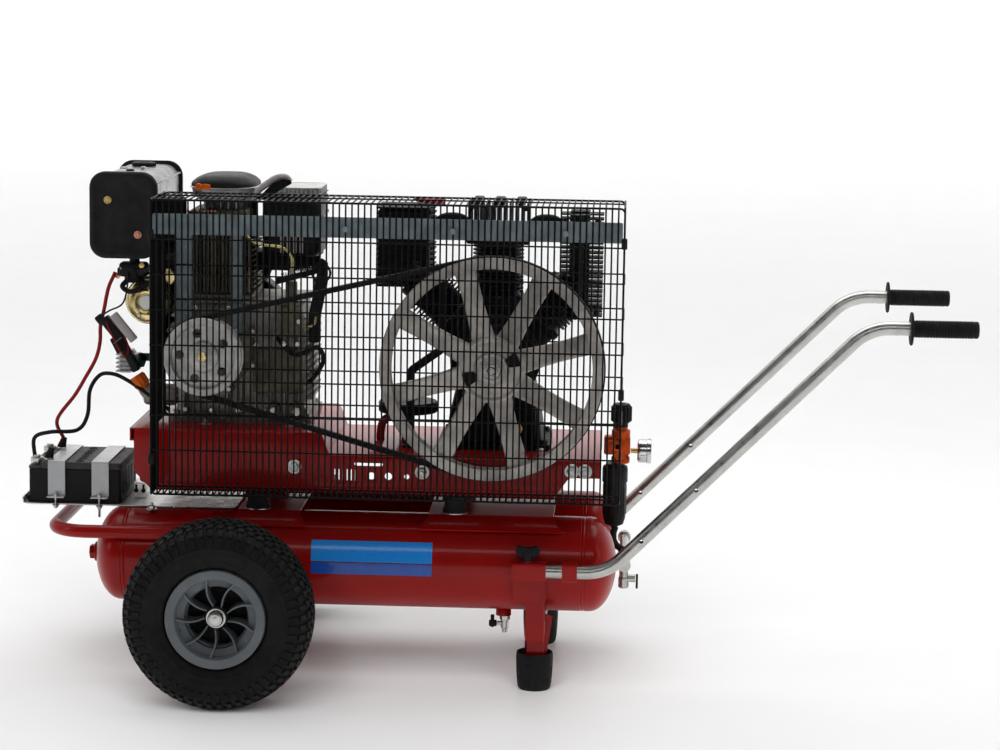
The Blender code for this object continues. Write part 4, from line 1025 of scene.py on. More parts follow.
def carcass_line():
    """Half of the tyre's outer line, from the crown to the bead, as (side, radius) points."""
    tyre = Node("left_tyre")
    crown = tyre.size.z / 2 - 0.0052
    wide = tyre.size.y / 2
    bead = 0.0868
    knots = [(0, crown), (0.017, crown - 0.0008), (0.032, crown - 0.0030), (0.0440, crown - 0.0078),
             (0.0520, crown - 0.0150), (0.0565, crown - 0.0245), (0.0588, crown - 0.0370), (0.0588, crown - 0.0480),
             (0.0560, bead + 0.0120), (0.0505, bead + 0.0035), (0.0445, bead)]
    line = smooth_path([(a, r, 0) for a, r in knots], 5)
    return [(min(p.x, wide), p.y) for p in line]


def make_tyre(side, sign):
    """A turf tyre: a smooth carcass with moulded rings on its wall, rows of tread blocks and shoulder bars."""
    node = Node(f"{side}_tyre")
    half = carcass_line()
    ringed = []
    for a, r in half:
        lift = sum(height * math.exp(-((r - place) / 0.0009) ** 2) for place, height in ((0.1235, 0.0010),
                                                                                      (0.1010, 0.0009)))
        ringed.append((a + lift, r))
    wall = 0.006
    inside = [(a - wall, r - (wall if r > 0.12 else 0.0)) for a, r in half if a > 0.020][::-1]
    outer = [(r, -a) for a, r in ringed[::-1]] + [(r, a) for a, r in ringed[1:]]
    inner = [(max(r, 0.0869), a) for a, r in inside] + [(max(r, 0.0869), -a) for a, r in inside[::-1]]
    shape = new_shape()
    add_turned(shape, outer + inner, node.mid, Y * sign, 128)

    def surface(t):
        """Place and outward direction on the carcass line at a signed side distance along it."""
        line = half
        target = abs(t)
        run = 0.0
        for (a0, r0), (a1, r1) in zip(line, line[1:]):
            step = math.hypot(a1 - a0, r1 - r0)
            if run + step >= target:
                k = (target - run) / step
                direction = ((a1 - a0) / step, (r1 - r0) / step)
                return ((a0 + (a1 - a0) * k) * (1 if t >= 0 else -1), r0 + (r1 - r0) * k,
                        (-direction[1]) * (1 if t >= 0 else -1), direction[0])
            run += step
        return (line[-1][0], line[-1][1], 1, 0)

    def block(t0, t1, first, last, height, skew=0.0, lift_in=0.0010):
        rows = []
        corners = ((t0, first), (t1, first + skew), (t1, last + skew), (t0, last))
        base, top = [], []
        mid_t, mid_a = (t0 + t1) / 2, (first + last + skew) / 2
        for t, angle in corners:
            for target, level, pull in ((base, -lift_in, 1.0), (top, height, 0.86)):
                tt = mid_t + (t - mid_t) * pull
                aa = mid_a + (angle - mid_a) * pull
                a, r, na, nr = surface(tt)
                nr = abs(nr)
                side_at = a + na * level
                radius_at = r + nr * level
                target.append(node.mid + Vector((radius_at * math.cos(aa), side_at * sign, radius_at * math.sin(aa))))
        add_loft(shape, [base, top])

    count = 56
    pitch = 2 * math.pi / count
    rows = ((-0.0405, -0.0290, 0.30), (-0.0265, -0.0150, 0.0), (-0.0125, -0.0010, 0.5), (0.0010, 0.0125, 0.0),
            (0.0150, 0.0265, 0.5), (0.0290, 0.0405, 0.20))
    for i in range(count):
        base = i * pitch
        for t0, t1, shift in rows:
            start = base + shift * pitch
            block(t0, t1, start, start + pitch * 0.70, 0.0050, skew=pitch * 0.10 * (1 if t0 > 0 else -1))
        for way in (-1, 1):
            start = base + (0.15 if way > 0 else 0.65) * pitch
            block(way * 0.0425, way * 0.0560, start, start + pitch * 0.58, 0.0042)
            block(way * 0.0580, way * 0.0740, start + pitch * 0.06, start + pitch * 0.46, 0.0030)
    piece(f"{side}_turf_tyre", shape, "tyre_rubber", f"{side}_wheel", f"{side}_tyre", 40)

    shape = new_shape()
    rng = random.Random(SEED)
    angle = math.radians(200 + rng.random())
    base = Node(f"{side}_rim").mid + Vector((0.0735 * math.cos(angle), sign * 0.010, 0.0735 * math.sin(angle)))
    tip = base + Vector((-math.cos(angle) * 0.006, sign * 0.026, -math.sin(angle) * 0.006))
    add_tube(shape, [base, base.lerp(tip, 0.6), base.lerp(tip, 0.62), tip], 0.004, 16,
             radii=[0.0048, 0.0042, 0.0036, 0.0036])
    piece(f"{side}_tyre_valve", shape, "black_rubber", f"{side}_wheel")


def make_rim(side, sign):
    """A moulded rim: flat outer ring, a tapered recess, nine thin curved ribs, and a near-black hub sleeve with a web
    disc across the dish whose black is painted shade.
    """
    node = Node(f"{side}_rim")
    r = node.size.x / 2
    face = 0.0518
    shape = new_shape()
    profile = [(r, -face), (r, face - 0.003), (r - 0.0012, face), (r - 0.0035, face + 0.0002), (r * 0.815, face - 0.001),
               (r * 0.795, face - 0.004), (r * 0.775, face - 0.016), (r * 0.640, face - 0.021), (r * 0.630, 0.022),
               (r * 0.600, 0.020), (r * 0.600, -0.020), (r * 0.630, -0.022), (r * 0.640, -face + 0.021),
               (r * 0.775, -face + 0.016), (r * 0.795, -face + 0.004), (r * 0.815, -face + 0.001),
               (r - 0.0035, -face)]
    add_turned(shape, profile, node.mid, Y * sign, 96)
    hub = 0.0185
    for way in (-1, 1):
        for k in range(9):
            angle = math.radians(23 + 40 * k)
            out, across = Vector((math.cos(angle), 0, math.sin(angle))), Vector((-math.sin(angle), 0, math.cos(angle)))
            sections = []
            for step in range(9):
                t = step / 8
                reach = hub - 0.003 + (r * 0.800 - hub + 0.003) * t
                bow = 0.0050 * math.sin(t * math.pi * 1.15 - 0.25)
                width = 0.0015 + 0.0007 * t
                top = way * (0.0330 + 0.0125 * t)
                low = way * 0.004
                middle = node.mid + out * reach + across * bow
                sections.append([middle + across * width + Y * sign * low, middle - across * width + Y * sign * low,
                                 middle - across * width * 0.7 + Y * sign * top,
                                 middle + across * width * 0.7 + Y * sign * top])
            add_loft(shape, sections)
    piece(f"{side}_moulded_rim", shape, "rim_plastic", f"{side}_wheel", f"{side}_rim", 30)

    shape = new_shape()
    add_turned(shape, [(0.0107, -0.035), (0.0195, -0.035), (0.0205, -0.033), (0.0205, 0.033), (0.0195, 0.035),
                       (0.0107, 0.035)], node.mid, Y * sign, 48)
    # The web disc across the dish is near-black as painted shade, standing for the deep shade between the ribs; the
    # sleeve round the axle is black plastic.
    add_turned(shape, [(0.0200, -0.004), (r * 0.610, -0.004), (r * 0.610, 0.004), (0.0200, 0.004)], node.mid, Y * sign, 72)
    piece(f"{side}_hub_sleeve_and_shade_web", shape, "rim_dark", f"{side}_wheel")


def make_handle(side, sign):
    """A plated tube bent twice, with two drilled holes, and its ribbed grip."""
    node = Node(f"{side}_handle_tube")
    grip = Node(f"{side}_grip")
    radius = 0.012
    y = grip.mid.y
    low_z = node.low.z + radius
    high_z = grip.mid.z
    rise = math.tan(math.radians(45.0))
    lower = AXLE.x + 0.6545
    upper = lower + (high_z - low_z) / rise
    corners = [(AXLE.x + 0.4925, y, low_z), (lower, y, low_z), (upper, y, high_z), (node.high.x, y, high_z)]
    shape = new_shape()
    add_tube(shape, rounded_path(corners, 0.090, 16), radius, 36, wall=0.002)
    tube = piece(f"{side}_handle_bar", shape, "zinc_steel", f"{side}_handle", node.name, 40)
    cutters = new_shape()
    for share in (0.135, 0.345):
        x = lower + (upper - lower) * share
        z = low_z + (high_z - low_z) * share
        add_rod(cutters, (x, y - 0.03, z), (x, y + 0.03, z), 0.0035, 20)
    cut_piece(tube, cutters)

    length = grip.size.x
    flange = grip.size.z / 2
    body = 0.0150
    profile = [(0.0124, 0), (flange * 0.96, 0), (flange, 0.0008), (flange, 0.0030), (flange * 0.96, 0.0042),
               (0.0165, 0.0052), (body - 0.0008, 0.0075)]
    ribs = 20
    start, end = 0.0085, length - 0.009
    pitch = (end - start) / ribs
    for k in range(ribs):
        x = start + pitch * k
        profile += [(body - 0.0014, x), (body, x + pitch * 0.18), (body, x + pitch * 0.72), (body - 0.0014, x + pitch * 0.9)]
    profile += [(body - 0.0005, length - 0.008), (body - 0.0003, length - 0.003), (body - 0.002, length - 0.0006),
                (body - 0.004, length), (0, length), (0, length - 0.0045), (0.0124, length - 0.0045)]
    shape = new_shape()
    add_turned(shape, profile, (grip.low.x, y, high_z), X, 64)
    piece(f"{side}_hand_grip", shape, "black_rubber", f"{side}_handle", grip.name, 28)


def make_clamp_knob(side):
    """A two-winged clamp knob with a waisted boss on its plated stud."""
    node = Node(f"{side}_clamp_knob")
    x, y = node.mid.x, node.mid.y
    low = node.low.z
    top = node.high.z
    shape = new_shape()
    add_turned(shape, [(0, low + 0.0070), (0.0095, low + 0.0070), (0.0105, low + 0.0090), (0.0100, low + 0.0150),
                       (0.0115, low + 0.0215), (0.0080, top - 0.0040), (0, top - 0.0030)], (x, y, 0), Z, 40)
    half = node.size.x / 2
    for way in (-1, 1):
        sections = []
        for k in range(8):
            t = k / 7
            reach = 0.003 + (half - 0.003) * t
            thick = 0.0056 - 0.0016 * t
            bottom = low + 0.0115 + 0.0050 * t * t
            crown = top - 0.0045 + 0.0045 * math.sin(min(1.0, t * 1.25) * math.pi / 2) - 0.0040 * max(0, t - 0.82) / 0.18
            if k == 7:
                reach -= 0.0006
                bottom += 0.004
                crown -= 0.003
                thick *= 0.6
            middle_z = (bottom + crown) / 2
            half_z = (crown - bottom) / 2
            outline = rounded_outline(thick, half_z, min(thick, half_z) * 0.8, 4)
            sections.append([(x + way * reach, y + a, middle_z + b) for a, b in outline])
        add_loft(shape, sections)
    piece(f"{side}_wing_knob", shape, "black_plastic", f"{side}_knob", node.name, 45)

    shape = new_shape()
    add_rod(shape, (x, y, low), (x, y, low + 0.0085), 0.0036, 24, 0.0004)
    add_turned(shape, [(0.0037, 0), (0.0072, 0), (0.0072, 0.0018), (0.0037, 0.0018)], (x, y, low + 0.0056), Z, 30)
    piece(f"{side}_knob_stud", shape, "bolt_steel", f"{side}_knob")


# ---------------------------------------------------------------- battery and its tray


def make_tray():
    """A folded aluminium tray with an upturned end and a small clip plate beside the battery."""
    node = Node("battery_tray")
    low, high = node.low, node.high
    thick = 0.0025
    shape = new_shape()
    outline = rounded_polygon([(low.x + 0.002, low.y), (high.x, low.y), (high.x, high.y), (low.x + 0.002, high.y)], 0.010)
    add_prism(shape, outline, (low.z, low.z + thick), across_z, 0.0003)
    edge = rounded_outline((high.y - low.y) / 2 - 0.0005, 0.0068, 0.006, 5)
    middle_y = (low.y + high.y) / 2
    add_prism(shape, [(middle_y + a, low.z + 0.0072 + b) for a, b in edge], (low.x, low.x + thick), across_x, 0.0003)
    battery = Node("battery")
    plate_x = battery.high.x + 0.012
    add_box(shape, (plate_x, -0.060, low.z + thick), (plate_x + 0.0015, 0.070, low.z + 0.030), 0.0006, 1)
    add_box(shape, (plate_x, -0.060, low.z + thick), (plate_x + 0.020, 0.070, low.z + thick + 0.0015), 0.0006, 1)
    add_box(shape, (plate_x, -0.060, low.z + 0.0285), (plate_x + 0.024, 0.070, low.z + 0.030), 0.0006, 1)
    piece("battery_tray_sheet", shape, "tray_aluminium", "chassis", "battery_tray")

    shape = new_shape()
    for k in range(2):
        x = plate_x + 0.005 + 0.013 * k
        add_turned(shape, [(0, 0), (0.0030, 0.0010), (0.0042, 0.0055), (0.0020, 0.0085), (0.0022, 0.0150), (0, 0.0155)],
                   (x, -0.062, low.z + 0.0120), Z, 20)
    piece("tray_push_clips", shape, "black_plastic", "chassis")


def make_battery():
    """A lead battery: ribbed case on a hold-down ledge, grey lid with vent caps, two posts with clamps."""
    node = Node("battery")
    low, high = node.low, node.high
    lid_z = high.z - 0.013
    shape = new_shape()
    case = rounded_polygon([(low.x + 0.004, low.y + 0.0015), (high.x - 0.001, low.y + 0.0015), (high.x - 0.001, high.y - 0.0015),
                            (low.x + 0.004, high.y - 0.0015)], 0.005, 5)
    add_prism(shape, case, (low.z, lid_z - 0.0006), across_z, 0.0012)
    ledge = rounded_polygon([(low.x, low.y + 0.0035), (high.x, low.y + 0.0035), (high.x, high.y - 0.0035),
                             (low.x, high.y - 0.0035)], 0.004, 4)
    add_prism(shape, ledge, (low.z, low.z + 0.011), across_z, 0.002)
    for k in range(5):
        y = low.y + 0.025 + k * 0.029
        add_box(shape, (low.x + 0.0028, y, low.z + 0.014), (high.x - 0.0002, y + 0.0022, lid_z - 0.006), 0.0006, 1)
    piece("battery_case", shape, "black_plastic", "chassis", "battery")

    shape = new_shape()
    lid = rounded_polygon([(low.x + 0.024, low.y + 0.0002), (high.x, low.y + 0.0002), (high.x, high.y - 0.0002),
                           (low.x + 0.024, high.y - 0.0002)], 0.006, 5)
    add_prism(shape, lid, (lid_z, high.z - 0.0006), across_z, 0.0015)
    shelf = rounded_polygon([(low.x + 0.0035, low.y + 0.0002), (low.x + 0.026, low.y + 0.0002),
                             (low.x + 0.026, high.y - 0.0002), (low.x + 0.0035, high.y - 0.0002)], 0.004, 4)
    add_prism(shape, shelf, (lid_z, high.z - 0.0085), across_z, 0.001)
    piece("battery_lid", shape, "label_grey", "chassis")

    shape = new_shape()
    for k in range(6):
        y = low.y + 0.018 + k * 0.0255
        add_turned(shape, [(0, 0), (0.0078, 0), (0.0078, 0.0012), (0.0062, 0.0016), (0.0062, 0.0008), (0.0015, 0.0008),
                           (0.0012, 0.0016), (0, 0.0016)], ((STRAP_X[0] + STRAP_X[1]) / 2, y, high.z - 0.0009), Z, 28)
    piece("battery_vent_caps", shape, "black_plastic", "chassis")

    shape = new_shape()
    posts = [Vector((low.x + 0.0145, y, high.z - 0.0085)) for y in (low.y + 0.024, high.y - 0.028)]
    for post in posts:
        add_turned(shape, [(0, 0), (0.0075, 0), (0.0062, 0.0155), (0.0052, 0.0165), (0, 0.0165)], post, Z, 32)
        add_turned(shape, [(0.0070, 0), (0.0112, 0), (0.0118, 0.0015), (0.0118, 0.0095), (0.0108, 0.0110),
                           (0.0066, 0.0110)], post + Z * 0.0015, Z, 32)
        add_box(shape, post + Vector((0.004, -0.0055, 0.003)), post + Vector((0.027, 0.0055, 0.0115)), 0.0015, 2)
        add_rod(shape, post + Vector((0.018, -0.012, 0.0072)), post + Vector((0.018, 0.013, 0.0072)), 0.0026, 16, 0.0004)
        add_hex(shape, post + Vector((0.018, -0.0055, 0.0072)), -Y, 0.0085, 0.0045)
    piece("battery_clamps", shape, "bolt_steel", "chassis")
    return posts


STRAP_X = [Node("battery_strap_1").mid.x, Node("battery_strap_2").mid.x]


def make_straps():
    """Two bent aluminium straps over the battery, each pulled down by a threaded hook bolt on both sides."""
    for number, x in enumerate(STRAP_X, 1):
        node = Node(f"battery_strap_{number}")
        half = node.size.x / 2
        thick = 0.0018
        top = node.high.z
        foot_z = node.low.z
        left_y = Node("battery").low.y - 0.0003
        right_y = Node("battery").high.y + 0.0003
        reach = 0.0155
        line = rounded_path([Vector((0, left_y - reach, foot_z)), Vector((0, left_y - thick, foot_z)),
                             Vector((0, left_y - thick, top)), Vector((0, right_y + thick, top)),
                             Vector((0, right_y + thick, foot_z)), Vector((0, right_y + reach, foot_z))], 0.0022, 5)
        inner = rounded_path([Vector((0, left_y - reach, foot_z + thick)), Vector((0, left_y, foot_z + thick)),
                              Vector((0, left_y, top - thick)), Vector((0, right_y, top - thick)),
                              Vector((0, right_y, foot_z + thick)), Vector((0, right_y + reach, foot_z + thick))], 0.0006, 5)
        shape = new_shape()
        rows = []
        for a, b in zip(line, inner):
            rows.append([(x - half + 0.0003, a.y, a.z), (x + half - 0.0003, a.y, a.z), (x + half - 0.0003, b.y, b.z),
                         (x - half + 0.0003, b.y, b.z)])
        add_loft(shape, rows)
        piece(f"battery_strap_{number}_sheet", shape, "strap_aluminium", "chassis", node.name)

        shape = new_shape()
        for y in (left_y - 0.0095, right_y + 0.0095):
            tail = 0.020 if number == 1 else 0.034
            add_rod(shape, (x, y, foot_z - tail), (x, y, foot_z + 0.0075), 0.0021, 16, 0.0004)
            for k in range(int((tail - 0.004) / 0.0011)):
                add_turned(shape, [(0.0019, 0), (0.00245, 0.00045), (0.0019, 0.0009)], (x, y, foot_z - tail + 0.001 + k * 0.0011),
                           Z, 12)
            add_washer(shape, (x, y, foot_z + thick), Z, 0.0062, 0.0010)
            add_hex(shape, (x, y, foot_z + thick + 0.0010), Z, 0.0080, 0.0036)
            tray = Node("battery_tray")
            add_washer(shape, (x, y, tray.low.z), -Z, 0.0062, 0.0010)
            add_hex(shape, (x, y, tray.low.z - 0.0010), -Z, 0.0080, 0.0038)
        piece(f"battery_strap_{number}_hook_bolts", shape, "bolt_steel", "chassis")


def make_cables(posts):
    """Red and black starter cables: from the posts up to the solenoid, the starter and the engine."""
    near, far = posts
    boots = new_shape()
    for post, way in ((near, 1), (far, 1)):
        start = post + Vector((0.019, 0.002, 0.006))
        end = start + Vector((0.006 * way, 0.004, 0.022))
        add_tube(boots, [start, start.lerp(end, 0.3), start.lerp(end, 0.65), end], 0.006, 20,
                 radii=[0.0085, 0.0078, 0.0062, 0.0050])
    piece("cable_boots", boots, "black_rubber", "chassis")

    solenoid = at(-0.218, -0.058, 0.690)
    red = [far + Vector((0.024, 0.004, 0.026)), at(-0.345, -0.010, 0.431), at(-0.308, -0.030, 0.481),
           at(-0.288, -0.040, 0.513), at(-0.2665, -0.050, 0.550), at(-0.2577, -0.055, 0.581), at(-0.2555, -0.060, 0.612),
           at(-0.2493, -0.060, 0.640), at(-0.240, -0.066, 0.680), at(-0.2275, -0.066, 0.7085)]
    shape = new_shape()
    add_tube(shape, smooth_path(red, 8), 0.0034, 14)
    second = [at(-0.246, -0.070, 0.628), at(-0.233, -0.080, 0.600), at(-0.214, -0.080, 0.565), at(-0.206, -0.076, 0.560),
              at(-0.205, -0.070, 0.580), at(-0.222, -0.070, 0.620)]
    add_tube(shape, smooth_path(second, 8), 0.0013, 10)
    piece("red_battery_cable", shape, "red_cable", "chassis")

    black = [near + Vector((-0.004, 0.0, 0.010)), near + Vector((-0.006, 0.006, 0.045)), at(-0.3416, -0.090, 0.4224),
             at(-0.2970, -0.070, 0.4237), at(-0.2789, -0.065, 0.4505), at(-0.2761, -0.055, 0.4943), at(-0.2589, -0.050, 0.5210),
             at(-0.2350, -0.050, 0.5235), at(-0.2103, -0.050, 0.5131), at(-0.1762, -0.060, 0.4938), at(-0.132, -0.060, 0.462)]
    shape = new_shape()
    add_tube(shape, smooth_path(black, 8), 0.0036, 14)
    loom = [at(-0.206, -0.062, 0.715), at(-0.204, -0.075, 0.690), at(-0.212, -0.080, 0.655), at(-0.238, -0.075, 0.640),
            at(-0.250, -0.070, 0.628), at(-0.238, -0.068, 0.606), at(-0.218, -0.068, 0.590)]
    add_tube(shape, smooth_path(loom, 8), 0.0016, 10)
    piece("black_battery_cable", shape, "black_cable", "chassis")


# ---------------------------------------------------------------- engine


def add_fins(shape, low, high, axis, pitch, thickness, bevel=0.0004):
    """Parallel plates filling a box along one axis."""
    low, high = Vector(low), Vector(high)
    count = int((high[axis] - low[axis] - thickness) / pitch) + 1
    start = low[axis] + ((high[axis] - low[axis]) - ((count - 1) * pitch + thickness)) / 2
    for k in range(count):
        a, b = low.copy(), high.copy()
        a[axis] = start + k * pitch
        b[axis] = a[axis] + thickness
        add_box(shape, a, b, bevel, 1)


def make_engine_block():
    """Crankcase with its flanged foot, ribbed front cover, bolt circle and side bosses."""
    node = Node("engine_block")
    low, high = node.low, node.high
    axis = ENGINE_AXIS
    front = low.y
    shape = new_shape()

    def ring(z, inset, radius):
        outline = rounded_outline((high.x - low.x) / 2 - inset, (high.y - low.y - 0.010) / 2 - inset, radius, 5)
        cx, cy = (low.x + high.x) / 2, (low.y + 0.010 + high.y) / 2
        return [(cx + a, cy + b, z) for a, b in outline]

    add_loft(shape, [ring(low.z, 0.001, 0.008), ring(low.z + 0.011, 0.001, 0.008), ring(low.z + 0.013, 0.010, 0.014),
                     ring(low.z + 0.035, 0.012, 0.020), ring(axis.z + 0.010, 0.011, 0.022), ring(high.z - 0.030, 0.015, 0.024),
                     ring(high.z - 0.008, 0.022, 0.020), ring(high.z - 0.007, 0.014, 0.014), ring(high.z, 0.014, 0.014)])
    for k in range(9):
        x = low.x + 0.026 + k * 0.0255
        add_box(shape, (x, front + 0.0105, low.z + 0.012), (x + 0.004, front + 0.030, high.z - 0.035), 0.001, 1)
    add_fins(shape, (high.x - 0.016, low.y + 0.035, low.z + 0.040), (high.x - 0.001, high.y - 0.030, high.z - 0.030), 2,
             0.013, 0.004)
    add_fins(shape, (low.x + 0.001, low.y + 0.035, low.z + 0.040), (low.x + 0.016, high.y - 0.030, high.z - 0.030), 2,
             0.016, 0.004)
    piece("engine_crankcase", shape, "cast_aluminium", "chassis", "engine_block")

    shape = new_shape()
    centre = Vector((axis.x, front, axis.z))
    add_turned(shape, [(0.0150, 0.0005), (0.030, 0.0005), (0.032, 0.004), (0.060, 0.007), (0.0715, 0.009), (0.0740, 0.012),
                       (0.0740, 0.0175), (0.0150, 0.0175)], centre, Y, 72)
    for k in range(8):
        angle = math.radians(22.5 + 45 * k)
        out = Vector((math.cos(angle), 0, math.sin(angle)))
        place = centre + out * 0.078 + Y * 0.0095
        add_turned(shape, [(0, 0), (0.0085, 0), (0.0090, 0.008), (0, 0.008)], place, Y, 24)
        root = centre + out * 0.034
        tip = centre + out * 0.070
        across = out.cross(Y) * 0.0017
        add_loft(shape, [[root + across + Y * 0.004, root - across + Y * 0.004, root - across - Y * 0.0005 + Y * 0.001,
                          root + across + Y * 0.0005],
                         [tip + across + Y * 0.012, tip - across + Y * 0.012, tip - across + Y * 0.0055,
                          tip + across + Y * 0.0055]])
    piece("engine_front_cover", shape, "dirty_aluminium", "chassis")

    shape = new_shape()
    for k in range(8):
        angle = math.radians(22.5 + 45 * k)
        place = centre + Vector((math.cos(angle), 0, math.sin(angle))) * 0.078 + Y * 0.0095
        add_bolt(shape, place, -Y, 0.0085, washer=False)
    for x in (low.x + 0.012, high.x - 0.012):
        for y in (front + 0.024, high.y - 0.014):
            add_bolt(shape, (x, y, low.z + 0.0112), Z, 0.012)
    for k in range(5):
        add_bolt(shape, (low.x + 0.030 + 0.047 * k, front + 0.012, low.z + 0.022), -Y, 0.0085, washer=False)
    piece("engine_cover_bolts", shape, "bolt_steel", "chassis")


def make_engine_side():
    """The injection pump, governor lever, filter canister and pipes on the engine's right front."""
    block = Node("engine_block")
    shape = new_shape()
    x0 = AXLE.x + 0.070
    add_box(shape, (x0, -0.086, 0.600), (x0 + 0.034, -0.062, 0.655), 0.004, 3)
    add_rod(shape, (x0 + 0.017, -0.073, 0.650), (x0 + 0.017, -0.073, 0.700), 0.0105, 28, 0.002)
    add_box(shape, (x0 - 0.050, -0.086, 0.500), (x0 + 0.040, -0.070, 0.580), 0.005, 3)
    add_fins(shape, (x0 - 0.044, -0.0885, 0.506), (x0 + 0.034, -0.080, 0.574), 0, 0.0092, 0.0028)
    add_rod(shape, (x0 + 0.030, -0.070, 0.470), (x0 + 0.030, -0.094, 0.470), 0.016, 32, 0.003)
    add_rod(shape, (x0 - 0.012, -0.070, 0.472), (x0 - 0.012, -0.092, 0.472), 0.012, 32, 0.002)
    piece("engine_injection_pump", shape, "dirty_aluminium", "chassis")

    shape = new_shape()
    for x, z, size in ((x0 + 0.006, 0.590, 0.009), (x0 + 0.030, 0.590, 0.009), (x0 - 0.043, 0.586, 0.009),
                       (x0 + 0.030, 0.470, 0.015), (x0 - 0.012, 0.472, 0.011), (x0 + 0.032, 0.630, 0.008)):
        add_bolt(shape, (x, -0.0875 if size < 0.01 else -0.0925, z), -Y, size, washer=False)
    for k, (dx, z) in enumerate(((0.0, 0.700), (0.0, 0.712))):
        add_hex(shape, (x0 + 0.017, -0.073, z - 0.002), Z, 0.014 - 0.003 * k, 0.010)
    piece("engine_side_bolts", shape, "bolt_steel", "chassis")

    shape = new_shape()
    pipe = [(x0 + 0.017, -0.073, 0.715), (x0 + 0.017, -0.073, 0.742), (x0 + 0.000, -0.080, 0.760),
            (x0 - 0.040, -0.085, 0.766), (x0 - 0.062, -0.080, 0.780), (x0 - 0.064, -0.070, 0.800)]
    add_tube(shape, smooth_path(pipe, 8), 0.0030, 14)
    drain = [(x0 + 0.034, -0.074, 0.620), (x0 + 0.058, -0.078, 0.625), (x0 + 0.062, -0.070, 0.660),
             (x0 + 0.056, -0.050, 0.700)]
    add_tube(shape, smooth_path(drain, 8), 0.0024, 12)
    piece("engine_fuel_pipes", shape, "zinc_yellow", "chassis")

    shape = new_shape()
    add_prism(shape, rounded_polygon([(AXLE.x + 0.118, 0.592), (AXLE.x + 0.140, 0.592), (AXLE.x + 0.140, 0.640),
                                      (AXLE.x + 0.152, 0.700), (AXLE.x + 0.152, 0.735), (AXLE.x + 0.138, 0.745),
                                      (AXLE.x + 0.128, 0.690), (AXLE.x + 0.118, 0.640)], 0.004), (-0.078, -0.0745),
              across_y, 0.0006)
    add_prism(shape, rounded_polygon([(AXLE.x + 0.060, 0.694), (AXLE.x + 0.142, 0.718), (AXLE.x + 0.142, 0.728),
                                      (AXLE.x + 0.060, 0.706)], 0.003), (-0.084, -0.081), across_y, 0.0006)
    add_tube(shape, [at(0.140, -0.076, 0.716) + Vector((0.016 * math.cos(t), 0, 0.016 * math.sin(t)))
                     for t in (2 * math.pi * k / 28 for k in range(28))], 0.0022, 10, closed=True)
    hose = [at(0.060, -0.070, 0.600), at(0.095, -0.092, 0.572), at(0.135, -0.088, 0.585), at(0.145, -0.080, 0.560),
            at(0.128, -0.080, 0.530), at(0.118, -0.070, 0.520)]
    add_tube(shape, smooth_path(hose, 8), 0.0042, 14)
    piece("engine_speed_bracket", shape, "black_metal", "chassis")

    shape = new_shape()
    coil = [at(0.070, -0.088, 0.712) + Vector((0.055 * k / 120, 0.0032 * math.cos(k * 0.72), 0.014 * k / 120
                                               + 0.0032 * math.sin(k * 0.72))) for k in range(121)]
    add_tube(shape, coil, 0.0006, 8)
    piece("governor_spring", shape, "bolt_steel", "chassis")


def make_engine_cylinder():
    """Finned barrel and head, with head studs and the row of small copper pins under the cleaner."""
    node = Node("engine_cylinder")
    low, high = node.low, node.high
    shape = new_shape()
    core_low = Vector((low.x + 0.014, low.y + 0.016, low.z))
    core_high = Vector((high.x - 0.012, high.y - 0.014, high.z))
    add_box(shape, core_low, core_high, 0.006, 3)
    add_fins(shape, (low.x + 0.004, low.y, low.z + 0.012), (high.x - 0.004, low.y + 0.030, high.z - 0.038), 0, 0.0066, 0.0022)
    add_fins(shape, (low.x, low.y + 0.018, low.z + 0.008), (high.x, high.y, high.z - 0.040), 2, 0.0095, 0.0026)
    add_box(shape, (low.x, low.y + 0.002, low.z), (high.x, high.y - 0.002, low.z + 0.008), 0.003, 2)
    add_box(shape, (low.x + 0.002, low.y + 0.001, high.z - 0.040), (high.x - 0.002, high.y - 0.002, high.z - 0.024), 0.003, 2)
    add_fins(shape, (low.x + 0.008, low.y + 0.005, high.z - 0.024), (high.x - 0.008, high.y - 0.004, high.z - 0.002), 0,
             0.0085, 0.0026)
    piece("engine_barrel_and_head", shape, "dirty_aluminium", "chassis", "engine_cylinder")

    shape = new_shape()
    for x in (low.x + 0.016, high.x - 0.018):
        for y in (low.y + 0.014, high.y - 0.020):
            add_bolt(shape, (x, y, high.z - 0.026), Z, 0.012, stud=0.006)
    piece("engine_head_studs", shape, "bolt_steel", "chassis")

    shape = new_shape()
    for k in range(9):
        x = low.x + 0.010 + 0.0062 * k
        add_rod(shape, (x, low.y - 0.006, high.z - 0.0010), (x, low.y + 0.008, high.z - 0.0010), 0.0017, 14, 0.0004)
    piece("head_copper_pins", shape, "copper", "chassis")


